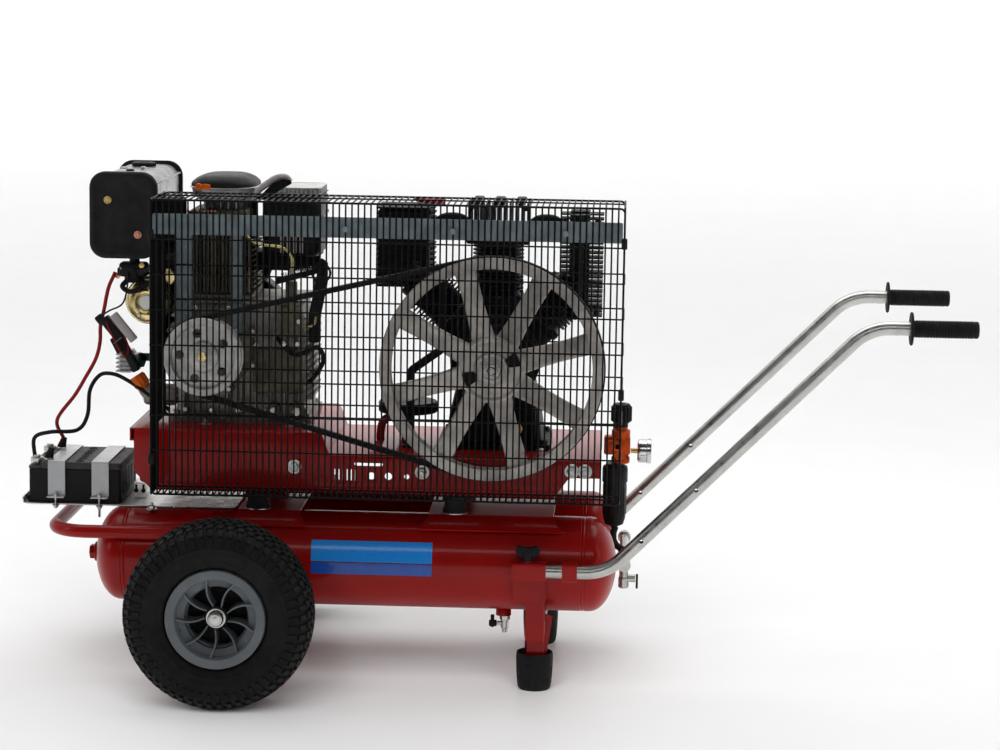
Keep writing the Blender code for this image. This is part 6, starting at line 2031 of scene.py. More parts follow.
def belt_line(radius_a, radius_b, steps=64):
    """The open belt loop round both pulleys at rest, as points in the XZ plane."""
    a, b = ENGINE_AXIS, PUMP_AXIS
    gap = Vector((b.x - a.x, 0, b.z - a.z))
    away = math.atan2(gap.z, gap.x)
    lean = math.asin((radius_b - radius_a) / gap.length)
    points = []
    start, end = away + math.pi / 2 + lean, away + 3 * math.pi / 2 - lean
    for k in range(steps + 1):
        t = start + (end - start) * k / steps
        points.append(Vector((a.x + radius_a * math.cos(t), 0, a.z + radius_a * math.sin(t))))
    start, end = away - math.pi / 2 - lean, away + math.pi / 2 + lean
    for k in range(steps * 2 + 1):
        t = start + (end - start) * k / (steps * 2)
        points.append(Vector((b.x + radius_b * math.cos(t), 0, b.z + radius_b * math.sin(t))))
    return points


def make_belt():
    """V-belt: a wedge section with a slightly crowned back, run round both pulleys."""
    middle_y = -0.186
    section = ((0.0006, -0.0050), (0.0006, 0.0050), (0.0078, 0.0083), (0.0094, 0.0085), (0.0099, 0.0060), (0.0099, -0.0060),
               (0.0094, -0.0085), (0.0078, -0.0083))
    loops = [belt_line(0.0603 + lift, 0.1868 + lift) for lift, _ in section]
    sections = []
    for k in range(len(loops[0])):
        sections.append([loops[j][k] + Y * (middle_y + section[j][1]) for j in range(len(section))])
    shape = new_shape()
    add_loft(shape, sections, closed=True)
    piece("drive_belt", shape, "belt_rubber", "chassis", "v_belt", 30)


def make_pump_crankcase():
    node = Node("pump_crankcase")
    low, high = node.low, node.high
    cx, cz = PUMP_AXIS.x, PUMP_AXIS.z
    shape = new_shape()
    length = 0.176
    base = Vector((cx, low.y + 0.003, cz))
    add_turned(shape, [(0, 0), (0.030, 0), (0.034, 0.004), (0.060, 0.006), (0.064, 0.010), (0.0785, 0.011), (0.0800, 0.013),
                       (0.0800, 0.020), (0.0770, 0.022), (0.0770, length - 0.022), (0.0800, length - 0.020),
                       (0.0800, length - 0.012), (0.0785, length - 0.010), (0.056, length - 0.004), (0, length - 0.002)],
               base, Y, 96)

    def ring(z, half_x, half_y, r):
        return [(cx + a, 0.005 + b, z) for a, b in rounded_outline(half_x, half_y, r, 5)]

    add_loft(shape, [ring(low.z, 0.1000, 0.0860, 0.010), ring(low.z + 0.010, 0.1000, 0.0860, 0.010),
                     ring(low.z + 0.0125, 0.0860, 0.0790, 0.014), ring(low.z + 0.060, 0.0800, 0.0770, 0.016),
                     ring(cz - 0.010, 0.0600, 0.0740, 0.018)])
    for degrees, reach in ((-48, 0.1060), (0, 0.1060), (48, 0.1060)):
        lean = math.radians(degrees)
        up = Vector((math.sin(lean), 0, math.cos(lean)))
        flat = Vector((math.cos(lean), 0, -math.sin(lean)))
        rows = []
        for level, k in ((0.050, 1.0), (reach - 0.010, 1.0), (reach - 0.008, 1.09), (reach, 1.09)):
            rows.append([Vector((cx, 0.005, cz)) + up * level + flat * (a * k) + Y * (b * k)
                         for a, b in rounded_outline(0.0415, 0.0490, 0.012, 4)])
        add_loft(shape, rows)
    for k in range(8):
        x = cx - 0.070 + 0.020 * k
        add_box(shape, (x, -0.0850, low.z + 0.012), (x + 0.0035, -0.066, low.z + 0.075), 0.001, 1)
    piece("pump_crankcase_casting", shape, "cast_black", "chassis", "pump_crankcase")

    shape = new_shape()
    for k in range(8):
        angle = math.radians(22.5 + 45 * k)
        out = Vector((math.cos(angle), 0, math.sin(angle))) * 0.0710
        add_bolt(shape, base + out + Y * 0.0100, -Y, 0.0095, washer=False)
    for x in (cx - 0.088, cx + 0.088):
        for y in (-0.067, 0.077):
            add_bolt(shape, (x, y, low.z + 0.010), Z, 0.013)
    for degrees in (-48, 0, 48):
        lean = math.radians(degrees)
        up = Vector((math.sin(lean), 0, math.cos(lean)))
        flat = Vector((math.cos(lean), 0, -math.sin(lean)))
        for sx in (-1, 1):
            for sy in (-1, 1):
                if degrees == 0 or abs(sx) == 1:
                    place = Vector((cx, 0.005, cz)) + up * 0.1060 + flat * (sx * 0.0390) + Y * (sy * 0.0465)
                    if sx * degrees >= 0 or degrees == 0:
                        add_bolt(shape, place, up, 0.0085, washer=False)
    piece("pump_crankcase_bolts", shape, "black_metal", "chassis")
    shape = new_shape()
    add_turned(shape, [(0, 0), (0.0110, 0), (0.0110, 0.0020), (0.0095, 0.0030), (0.0095, 0.0024), (0, 0.0024)],
               (cx + 0.040, -0.0850, low.z + 0.040), -Y, 32)
    piece("pump_oil_sight", shape, "brass", "chassis")


PUMP_BARRELS = {"left": (-48, 0.205), "centre": (0, 0.215), "right": (48, 0.190)}


def make_pump_cylinder(name):
    """One finned barrel leaning off the crankcase, with its finned square head and head screws."""
    node = Node(f"pump_cylinder_{name}")
    degrees, reach = PUMP_BARRELS[name]
    lean = math.radians(degrees)
    up = Vector((math.sin(lean), 0, math.cos(lean)))
    flat = Vector((math.cos(lean), 0, -math.sin(lean)))
    root = Vector((PUMP_AXIS.x, 0.005, PUMP_AXIS.z))
    low, high = node.low, node.high
    shape = new_shape()
    start = 0.1086
    profile = [(0, start), (0.0410, start)]
    fin_top = reach - 0.006
    level = start + 0.010
    while level + 0.0068 < fin_top:
        profile += [(0.0350, level), (0.0455, level + 0.0004), (0.0455, level + 0.0024), (0.0350, level + 0.0030)]
        level += 0.0068
    profile += [(0.0350, fin_top + 0.004), (0, fin_top + 0.004)]
    add_turned(shape, profile, root, up, 72)

    (head_low_x, head_high_x), (head_low_z, head_high_z) = HEADS[name]
    if name == "right":
        core_x = (head_low_x + 0.021, head_high_x - 0.029)
        add_box(shape, (core_x[0], -0.043, head_low_z + 0.004), (core_x[1], 0.053, head_high_z - 0.004), 0.005, 3)
        add_fins(shape, (head_low_x, -0.0300, head_low_z), (head_high_x, 0.0180, head_high_z), 2, 0.0086, 0.0026, 0.0006)
        add_fins(shape, (core_x[0] - 0.004, -0.0505, head_low_z), (core_x[1] + 0.004, 0.0605, head_high_z), 2, 0.0086, 0.0026,
                 0.0006)
        add_rod(shape, ((core_x[0] + core_x[1]) / 2, -0.0475, head_low_z + 0.003),
                ((core_x[0] + core_x[1]) / 2, -0.0475, head_high_z - 0.003), 0.0080, 24, 0.001)
    elif name == "left":
        add_box(shape, (head_low_x + 0.010, -0.043, head_low_z + 0.008), (head_high_x - 0.010, 0.053, head_high_z - 0.006), 0.005, 3)
        add_fins(shape, (head_low_x, -0.0505, head_low_z), (head_high_x - 0.008, 0.0605, head_high_z - 0.004), 2, 0.0092, 0.0036,
                 0.0008)
        add_fins(shape, (head_high_x - 0.012, -0.0300, head_low_z), (head_high_x, 0.0180, head_high_z - 0.004), 2, 0.0092, 0.0028,
                 0.0006)
        add_box(shape, (head_low_x + 0.003, -0.0480, head_low_z + 0.010), (head_high_x - 0.012, -0.041, head_high_z - 0.012), 0.003, 2)
        add_rod(shape, (head_high_x - 0.020, -0.0430, head_low_z + 0.003), (head_high_x - 0.020, -0.0430, head_high_z - 0.006),
                0.0070, 24, 0.001)
    else:
        add_fins(shape, (head_low_x, -0.0505, head_low_z + 0.010), (head_high_x, 0.0605, head_high_z - 0.004), 0, 0.0104, 0.0036, 0.0008)
        add_box(shape, (head_low_x + 0.002, -0.049, head_low_z), (head_high_x - 0.002, 0.059, head_low_z + 0.014), 0.003, 2)
        for k in range(3):
            x = head_low_x + 0.020 + k * (head_high_x - head_low_x - 0.040) / 2
            add_box(shape, (x - 0.009, -0.046, head_high_z - 0.010), (x + 0.009, 0.050, head_high_z), 0.003, 2)
    piece(f"pump_barrel_{name}", shape, "cast_black", "chassis", node.name, 30)

    shape = new_shape()
    for sx in (0, 1):
        for sz in (0, 1):
            x = head_low_x + 0.010 + sx * (head_high_x - head_low_x - 0.020)
            z = head_low_z + 0.013 + sz * (head_high_z - head_low_z - 0.026)
            add_bolt(shape, (x, -0.0460, z), -Y, 0.0100, washer=False)
    piece(f"pump_head_bolts_{name}", shape, "black_metal", "chassis")


HEADS = {"left": ((AXLE.x + 0.234, AXLE.x + 0.337), (0.690, 0.838)), "centre": ((AXLE.x + 0.392, AXLE.x + 0.508), (0.770, 0.848)),
         "right": ((AXLE.x + 0.559, AXLE.x + 0.636), (0.640, 0.828))}


def make_pump_pipes():
    """Link pipe between the heads, the delivery pipe and its unions, the disc filter with its pipe."""
    node = Node("delivery_pipe")
    y = -0.0713
    corners = [at(0.305, -0.0513, 0.728), at(0.305, y, 0.728), at(0.355, y, 0.700), at(0.355, y, 0.585),
               at(0.300, y, 0.545), at(0.300, y, node.low.z)]
    shape = new_shape()
    add_tube(shape, rounded_path(corners, 0.012, 7), 0.0074, 24)
    piece("delivery_line", shape, "black_metal", "chassis", "delivery_pipe")
    shape = new_shape()
    add_hex(shape, at(0.305, -0.0508, 0.728), -Y, 0.0200, 0.0100)
    add_hex(shape, at(0.300, y, node.low.z + 0.0008), Z, 0.0200, 0.0130)
    add_turned(shape, [(0, 0), (0.0135, 0), (0.0135, 0.0040), (0.0100, 0.0060), (0, 0.0060)], at(0.300, y, node.low.z + 0.0004), Z, 28)
    piece("delivery_unions", shape, "black_metal", "chassis")

    shape = new_shape()
    link = [at(0.300, 0.020, 0.8385), at(0.330, 0.020, 0.8460), at(0.392, 0.020, 0.8400)]
    for start, end in ((at(0.334, 0.018, 0.800), at(0.396, 0.018, 0.800)), (at(0.504, 0.018, 0.800), at(0.563, 0.018, 0.800))):
        middle = (start + end) / 2 + Z * 0.012
        add_tube(shape, smooth_path([start, start.lerp(middle, 0.5) + Z * 0.004, middle, end.lerp(middle, 0.5) + Z * 0.004, end], 6),
                 0.0075, 18)
    piece("head_link_pipes", shape, "black_metal", "chassis")

    node = Node("intake_filter")
    base = Vector((node.mid.x, node.mid.y, node.low.z))
    rise = node.size.z
    r = node.size.x / 2
    shape = new_shape()
    stem = rise - 0.021
    add_turned(shape, [(0, 0), (0.0118, 0), (0.0118, stem - 0.004), (0.016, stem), (r * 0.97, stem + 0.001), (r, stem + 0.003), (r, stem + 0.0050),
                       (r * 0.975, stem + 0.0060), (r * 0.975, stem + 0.0140), (r, stem + 0.0150), (r, stem + 0.0175), (r * 0.96, stem + 0.0205),
                       (r * 0.40, stem + 0.021), (r * 0.36, stem + 0.0195), (0, stem + 0.0195)], base, Z, 72)
    piece("intake_filter_body", shape, "black_plastic", "chassis", "intake_filter", 35)
    shape = new_shape()
    for k in range(54):
        angle = 2 * math.pi * k / 54
        out = Vector((math.cos(angle), math.sin(angle), 0))
        add_rod(shape, base + out * r * 0.975 + Z * (stem + 0.0052), base + out * r * 0.975 + Z * (stem + 0.0148), 0.0010, 6)
    add_turned(shape, [(0, 0), (0.0060, 0), (0.0050, 0.0035), (0, 0.0045)], base + Z * (stem + 0.0194), Z, 24)
    piece("intake_filter_ribs", shape, "black_plastic", "chassis")
    shape = new_shape()
    pipe = [base + Vector((-0.012, -0.006, 0.0450)), base + Vector((-0.030, -0.012, 0.0440)), base + Vector((-0.044, -0.016, 0.034)),
            base + Vector((-0.048, -0.018, 0.014)), base + Vector((-0.048, -0.018, 0.0006))]
    add_tube(shape, smooth_path(pipe, 8), 0.0075, 20)
    piece("unloader_hose", shape, "red_hose", "chassis")
    shape = new_shape()
    top = at(0.300, 0.045, 0.8375)
    add_rod(shape, top, top + Z * 0.0060, 0.0085, 28, 0.001)
    add_rod(shape, top + Vector((0.024, 0, -0.002)), top + Vector((0.050, 0, -0.002)), 0.0065, 24, 0.001)
    add_rod(shape, top + Vector((-0.002, 0, 0.002)), top + Vector((0.026, 0, -0.002)), 0.0048, 20, 0.001)
    piece("head_relief_valve", shape, "red_hose", "chassis")


# ---------------------------------------------------------------- belt guard


WIRE = 0.0015
WIRE_PITCH = 0.0107
GUARD = Node("guard_cage")


def add_wire(shape, start, end, radius=WIRE, sides=6):
    start, end = Vector(start), Vector(end)
    add_turned(shape, [(0, 0), (radius, 0), (radius, (end - start).length), (0, (end - start).length)], start, end - start, sides)


def spaced(low, high, pitch):
    """Even positions from one edge to the other, as near the pitch as they divide."""
    count = max(1, round((high - low) / pitch))
    return [low + (high - low) * k / count for k in range(count + 1)]


def make_guard():
    """A welded wire-mesh guard: front, end, roof and floor panels, a back of level wires, and border rods."""
    low, high = GUARD.low, GUARD.high
    front, back = low.y + 0.0030, high.y - 0.0030
    left, right = low.x + 0.0030, high.x - 0.0030
    bottom, top = low.z + 0.0030, high.z - 0.0030
    rear_bottom = 0.4610
    floor_back = -0.1740
    cross = 0.0608
    shape = new_shape()
    for x in spaced(left, right, WIRE_PITCH):
        add_wire(shape, (x, front, bottom), (x, front, top))
        add_wire(shape, (x, front, bottom), (x, floor_back, bottom))
        add_wire(shape, (x, front, top), (x, back, top))
    levels = [0.4235 + cross * k for k in range(7)]
    for z in levels:
        add_wire(shape, (left, front - WIRE, z), (right, front - WIRE, z))
    for z in levels[1:]:
        add_wire(shape, (left, back + WIRE, z), (right, back + WIRE, z))
    for y in spaced(front, floor_back, 0.038)[1:-1]:
        add_wire(shape, (left, y, bottom + WIRE), (right, y, bottom + WIRE))
    add_wire(shape, (left, (front + back) / 2, top + WIRE), (right, (front + back) / 2, top + WIRE))
    for x, way in ((left, -1), (right, 1)):
        for y in spaced(front, back, WIRE_PITCH)[1:-1]:
            add_wire(shape, (x, y, bottom if y < floor_back else rear_bottom), (x, y, top))
        for z in levels:
            add_wire(shape, (x + WIRE * way, front, z), (x + WIRE * way, back if z > rear_bottom else floor_back, z))
    piece("guard_mesh", shape, "guard_wire", "chassis", "guard_cage", 60)

    shape = new_shape()
    rod = 0.0019
    face = [(left, front, bottom), (right, front, bottom), (right, front, top), (left, front, top)]
    add_tube(shape, rounded_path(face, 0.008, 5, closed=True), rod, 10, closed=True)
    rear = [(left, back, rear_bottom), (right, back, rear_bottom), (right, back, top), (left, back, top)]
    add_tube(shape, rounded_path(rear, 0.008, 5, closed=True), rod, 10, closed=True)
    for x in (left, right):
        add_wire(shape, (x, front, top), (x, back, top), rod, 10)
        add_wire(shape, (x, front, bottom), (x, floor_back, bottom), rod, 10)
        add_wire(shape, (x, floor_back, bottom), (x, floor_back, rear_bottom), rod, 10)
        add_wire(shape, (x, floor_back, rear_bottom), (x, back, rear_bottom), rod, 10)
    add_wire(shape, (left, floor_back, bottom), (right, floor_back, bottom), rod, 10)
    piece("guard_border_rods", shape, "guard_wire", "chassis", smooth=60)

    shape = new_shape()
    for x, z in ((left, bottom + 0.060), (left, top - 0.060), (right, top - 0.060), (right, bottom + 0.190)):
        way = -1 if x == left else 1
        add_box(shape, (x - 0.0050, front - 0.0022, z - 0.009), (x + 0.0050, front + 0.016, z + 0.009), 0.002, 2)
        add_rod(shape, (x + way * 0.0010, front + 0.006, z), (x + way * 0.0048, front + 0.006, z), 0.0038, 12, 0.0006)
    piece("guard_clips", shape, "black_plastic", "chassis")


def make_guard_bar():
    """The flat steel bar across the front of the guard, with its three bolts."""
    node = Node("guard_bar")
    low, high = node.low, node.high
    shape = new_shape()
    foot = low.z + 0.005
    outline = rounded_polygon([(low.x, foot), (high.x, foot), (high.x, high.z), (low.x, high.z)], 0.003, 3)
    add_prism(shape, outline, (low.y, high.y), across_y, 0.0005)
    piece("guard_bar_strip", shape, "grey_steel", "chassis", "guard_bar")
    shape = new_shape()
    for px in (0.199, 0.382, 0.573):
        add_bolt(shape, at(px, low.y + 0.0002, node.mid.z), -Y, 0.0100, washer=True)
        add_rod(shape, at(px, high.y - 0.0004, node.mid.z), at(px, high.y + 0.010, node.mid.z), 0.003, 14, 0.0005)
    piece("guard_bar_bolts", shape, "grey_steel", "chassis")


UPRIGHTS = ((-0.1004, 0.0138), (-0.0076, 0.0098))


def make_guard_brackets():
    """Upright flat brackets that carry the guard off the deck, with their bolts."""
    high = GUARD.high
    shape = new_shape()
    y = high.y - 0.0030
    for x, half in UPRIGHTS:
        add_box(shape, at(x - half, y + 0.0032, 0.600), at(x + half, y + 0.0062, 0.815), 0.0008, 1)
        add_box(shape, at(x - half, y + 0.0032, 0.660), at(x + half, y + 0.0225, 0.663), 0.0008, 1)
        for edge in (x - half, x + half - 0.0022):
            add_box(shape, at(edge, y + 0.0032, 0.600), at(edge + 0.0022, y + 0.0110, 0.815), 0.0006, 1)
    piece("guard_uprights", shape, "grey_steel", "chassis")
    shape = new_shape()
    for x, _ in UPRIGHTS:
        for z in (0.612, 0.800):
            add_bolt(shape, at(x, y + 0.0034, z), -Y, 0.0075, washer=False)
    piece("guard_upright_bolts", shape, "bolt_steel", "chassis")


# ---------------------------------------------------------------- regulator, gauge and outlets


def make_regulator():
    """Pressure regulator: round orange body with side bosses, ribbed black knob, filter bowl."""
    node = Node("pressure_regulator")
    low, high = node.low, node.high
    cx, cy = node.mid.x, node.mid.y
    knob = Node("regulator_knob")
    kx = knob.mid.x
    shape = new_shape()
    r = min(node.size.y / 2, high.x - kx + 0.0005)
    base = Vector((kx, cy, low.z))
    rise = node.size.z
    add_turned(shape, [(0, 0), (0.0150, 0), (0.0165, 0.0020), (0.0165, 0.010), (0.0140, 0.014), (0.0140, rise - 0.022),
                       (0.0165, rise - 0.018), (0.0168, rise - 0.006), (0.0120, rise - 0.003), (0.0120, rise), (0, rise)], base, Z, 56)
    add_box(shape, (low.x, cy - 0.0130, low.z + 0.016), (high.x, cy + 0.0130, high.z - 0.016), 0.004, 3)
    add_box(shape, (low.x + 0.004, low.y, low.z + 0.022), (high.x - 0.012, high.y, high.z - 0.022), 0.005, 3)
    add_rod(shape, (kx - 0.003, low.y + 0.004, low.z + 0.016), (kx - 0.003, high.y - 0.004, low.z + 0.016), 0.0090, 28, 0.001)
    piece("regulator_body", shape, "regulator_orange", "chassis", "pressure_regulator")
    shape = new_shape()
    for y, way in ((low.y + 0.0006, -1), (high.y - 0.0006, 1)):
        add_turned(shape, [(0, 0), (0.0062, 0), (0.0062, 0.0020), (0.0045, 0.0026), (0, 0.0026)],
                   (kx - 0.006, y - way * 0.0020, low.z + 0.0325), (0, way, 0), 28)
    piece("regulator_port_plugs", shape, "brass", "chassis")

    low, high = knob.low, knob.high
    r = knob.size.x / 2
    rise = knob.size.z
    base = Vector((kx, knob.mid.y, low.z))
    shape = new_shape()
    add_turned(shape, [(0, 0), (0.0125, 0), (0.0125, 0.006), (0.0160, 0.009), (0.0168, 0.012), (0.0168, rise - 0.006), (r - 0.0035, rise - 0.0015),
                       (r - 0.0060, rise), (0.006, rise), (0.0052, rise - 0.0010), (0, rise - 0.0010)], base, Z, 56)
    for k in range(16):
        angle = 2 * math.pi * k / 16
        out = Vector((math.cos(angle), math.sin(angle), 0))
        p = base + out * (r - 0.0030)
        add_rod(shape, p + Z * 0.0105, p + Z * (rise - 0.0050), 0.0029, 12, 0.0008)
    piece("regulator_adjusting_knob", shape, "black_plastic", "regulator_adjuster", "regulator_knob", 40)

    node = Node("filter_bowl")
    r = node.size.x / 2
    rise = node.size.z
    base = Vector((node.mid.x, node.mid.y, node.low.z))
    shape = new_shape()
    add_turned(shape, [(0, 0.0), (0.0045, 0.0), (0.0050, 0.006), (0.0085, 0.008), (r * 0.72, 0.012), (r * 0.88, 0.024), (r * 0.90, 0.044),
                       (r * 0.90, rise - 0.036), (r, rise - 0.033), (r, rise - 0.010), (r * 0.94, rise - 0.005), (r * 0.74, rise - 0.004),
                       (r * 0.74, rise), (0, rise)], base, Z, 64)
    for k in range(20):
        angle = 2 * math.pi * k / 20
        out = Vector((math.cos(angle), math.sin(angle), 0))
        p = base + out * (r - 0.0008)
        add_rod(shape, p + Z * (rise - 0.032), p + Z * (rise - 0.0105), 0.0008, 8)
        p = base + out * (r * 0.89)
        if k % 2 == 0:
            add_rod(shape, p + Z * 0.030, p + Z * (rise - 0.038), 0.0011, 8)
    piece("filter_bowl_body", shape, "black_plastic", "chassis", "filter_bowl", 40)


def make_gauge():
    """Chromed pressure gauge on a brass stem: case, bezel, dial with ticks and pointer."""
    node = Node("gauge")
    place = Vector((AXLE.x + 0.704, -0.020, 0.402))
    shape = new_shape()
    add_turned(shape, [(0, -0.0118), (0.0049, -0.0118), (0.0049, 0.0006), (0, 0.0006)], place, X, 32)
    add_hex(shape, place + X * -0.0075, X, 0.0088, 0.0055)
    piece("gauge_stem", shape, "brass", "chassis")
    r = 0.0225
    shape = new_shape()
    add_turned(shape, [(0, 0.0004), (r * 0.80, 0.0004), (r * 0.93, 0.0025), (r * 0.95, 0.006), (r * 0.95, 0.0170), (r, 0.0180), (r, 0.0240), (r * 0.97, 0.0253),
                       (r * 0.88, 0.0253), (r * 0.86, 0.0235), (r * 0.86, 0.0195), (0, 0.0195)], place, X, 72)
    piece("gauge_case", shape, "chrome", "chassis", "gauge")
    shape = new_shape()
    add_turned(shape, [(0, 0), (r * 0.86, 0), (r * 0.86, 0.0004), (0, 0.0004)], place + X * 0.0196, X, 64)
    piece("gauge_dial", shape, "dial_face", "chassis")
    shape = new_shape()
    for k in range(31):
        angle = math.radians(-135 + 9 * k)
        out = Vector((0, math.sin(angle), math.cos(angle)))
        side = Vector((0, math.cos(angle), -math.sin(angle)))
        inner = r * (0.60 if k % 5 == 0 else 0.70)
        half = 0.00045 if k % 5 == 0 else 0.00022
        p, q = place + X * 0.0200 + out * inner, place + X * 0.0200 + out * r * 0.79
        add_loft(shape, [[p + side * half, p - side * half, p - side * half + X * 0.00015, p + side * half + X * 0.00015],
                         [q + side * half, q - side * half, q - side * half + X * 0.00015, q + side * half + X * 0.00015]])
    piece("gauge_ticks", shape, "black_plastic", "chassis")
    needle = Node("gauge_needle") if "gauge_needle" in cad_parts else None
    shape = new_shape()
    centre = place + X * 0.0218
    rest = math.radians(-45)
    out = Vector((0, math.sin(rest), math.cos(rest)))
    if needle:
        middle = needle.mid
        away = Vector((0, middle.y - place.y, middle.z - place.z))
        if away.length > 0.001:
            out = away.normalized()
    side = X.cross(out)
    add_turned(shape, [(0, 0), (0.0026, 0), (0.0026, 0.0007), (0.0016, 0.0012), (0, 0.0012)], centre - X * 0.0004, X, 28)
    tip, tail = centre + out * 0.0150, centre - out * 0.0050
    add_loft(shape, [[tail + side * 0.0011, tail - side * 0.0011, tail - side * 0.0011 + X * 0.0006, tail + side * 0.0011 + X * 0.0006],
                     [tip + side * 0.0003, tip - side * 0.0003, tip - side * 0.0003 + X * 0.0006, tip + side * 0.0003 + X * 0.0006]])
    piece("gauge_needle_blade", shape, "black_metal", "gauge_pointer", [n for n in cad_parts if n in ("gauge_needle", "gauge_pointer")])


def make_outlets():
    """Drain and outlet taps on the tanks, their levers, the cross tube and the air hose."""
    node = Node("outlet_manifold")
    cy = -0.020
    x = AXLE.x + 0.685
    shape = new_shape()
    add_tube(shape, [Vector((x, node.low.y, 0.2145)), Vector((x, node.high.y, 0.2145))], 0.0079, 28)
    drop_top = Vector((x, cy, 0.2145))
    add_turned(shape, [(0, 0), (0.0080, 0), (0.0095, 0.0020), (0.0095, 0.0180), (0.0080, 0.0200), (0.0080, 0.0560), (0, 0.0640)],
               (x, cy, 0.1505), Z, 36)
    add_rod(shape, (x, cy, 0.168), (AXLE.x + 0.7058, cy, 0.168), 0.0070, 28, 0.0010)
    for y in (node.low.y + 0.0004, node.high.y - 0.0124):
        add_turned(shape, [(0.0070, 0), (0.0112, 0), (0.0118, 0.0010), (0.0118, 0.0110), (0.0112, 0.0120), (0.0070, 0.0120)],
                   (x, y, 0.2145), Y, 32)
    piece("outlet_cross_tube", shape, "zinc_steel", "chassis", "outlet_manifold")
    shape = new_shape()
    for y in (cy - 0.017, cy + 0.017 - 0.010):
        add_hex(shape, (x, y, 0.2145), Y, 0.0190, 0.0100)
    add_hex(shape, (x, cy, 0.196), Z, 0.0190, 0.0090)
    piece("outlet_tube_nuts", shape, "brass", "chassis")
    node = Node("outlet_lever")
    low, high = node.low, node.high
    shape = new_shape()
    outline = rounded_polygon([(low.y, low.z), (high.y, low.z), (high.y - 0.0015, high.z), (low.y + 0.0015, high.z)], 0.0025, 4)
    add_prism(shape, outline, (low.x, high.x), across_x, 0.0006)
    for k in range(4):
        z = low.z + 0.004 + 0.003 * k
        add_box(shape, (high.x - 0.0006, low.y + 0.002, z), (high.x, high.y - 0.002, z + 0.0012), 0.0002, 1)
    piece("outlet_tap_lever", shape, "black_plastic", "outlet_tap", "outlet_lever")

    node = Node("drain_cock")
    low, high = node.low, node.high
    cx, cy = AXLE.x + 0.476, node.mid.y
    shape = new_shape()
    add_turned(shape, [(0, 0), (0.0038, 0), (0.0050, 0.0015), (0.0050, 0.0060), (0.0070, 0.0080), (0.0072, 0.0230), (0.0060, 0.0245),
                       (0.0060, node.size.z), (0, node.size.z)], (cx, cy, low.z), Z, 32)
    add_hex(shape, (cx, cy, 0.1102), Z, 0.0160, 0.0106)
    add_rod(shape, (cx, cy, 0.1030), (low.x + 0.0004, cy, 0.1030), 0.0040, 24, 0.0006)
    piece("drain_cock_body", shape, "bolt_steel", "chassis", "drain_cock")
    node = Node("drain_lever")
    low, high = node.low, node.high
    shape = new_shape()
    mid_x = (low.x + high.x) / 2
    add_turned(shape, [(0, 0), (0.0050, 0), (0.0058, 0.0012), (0.0058, high.x - low.x - 0.0012), (0.0050, high.x - low.x), (0, high.x - low.x)],
               (low.x, node.mid.y, 0.1030), X, 28)
    wing = rounded_polygon([(node.mid.y - 0.0050, low.z), (node.mid.y + 0.0050, low.z), (node.mid.y + 0.0058, high.z),
                            (node.mid.y - 0.0058, high.z)], 0.003, 4)
    add_prism(shape, wing, (low.x + 0.003, high.x - 0.0045), across_x, 0.0006)
    piece("drain_tap_lever", shape, "black_plastic", "drain_tap", "drain_lever")

    shape = new_shape()
    hose = [at(0.668, -0.020, 0.262), at(0.664, -0.020, 0.246), at(0.668, -0.020, 0.232), at(0.676, -0.020, 0.224), at(0.684, -0.020, 0.2200)]
    add_tube(shape, smooth_path(hose, 8), 0.0060, 20)
    piece("outlet_hose", shape, "black_rubber", "chassis")
    shape = new_shape()
    add_turned(shape, [(0.0062, 0), (0.0120, 0), (0.0128, 0.0020), (0.0128, 0.0080), (0.0115, 0.0095), (0.0062, 0.0095)],
               at(0.6845, -0.020, 0.2050), Z, 36)
    piece("outlet_hose_ring", shape, "zinc_steel", "chassis")


# ---------------------------------------------------------------- studio


def make_floor():
    """A pale floor that curves up into a backdrop far behind the machine."""
    shape = new_shape()
    ground = 0.0
    front, back, radius, wall = -14.0, 16.0, 6.0, 14.0
    rows = [(front, ground), (back - radius, ground)]
    rows += [(back - radius + radius * math.sin(math.radians(90 * k / 16)),
              ground + radius * (1 - math.cos(math.radians(90 * k / 16)))) for k in range(1, 17)]
    rows.append((back, wall))
    half = 20.0
    left = [shape.verts.new((-half, y, z)) for y, z in rows]
    right = [shape.verts.new((half, y, z)) for y, z in rows]
    for k in range(len(rows) - 1):
        shape.faces.new((left[k], right[k], right[k + 1], left[k + 1]))
    mesh = bpy.data.meshes.new("studio_floor")
    shape.to_mesh(mesh)
    shape.free()
    mesh.shade_smooth()
    mesh.materials.append(floor_finish())
    floor = bpy.data.objects.new("studio_floor", mesh)
    bpy.context.scene.collection.objects.link(floor)
    return floor


def area_light(name, place, target, size_x, size_y, power, colour=(1, 1, 1)):
    data = bpy.data.lights.new(name, "AREA")
    data.shape = "RECTANGLE"
    data.size = size_x
    data.size_y = size_y
    data.energy = power
    data.color = colour
    light = bpy.data.objects.new(name, data)
    light.location = place
    light.rotation_euler = (Vector(target) - Vector(place)).to_track_quat("-Z", "Y").to_euler()
    bpy.context.scene.collection.objects.link(light)
    return light


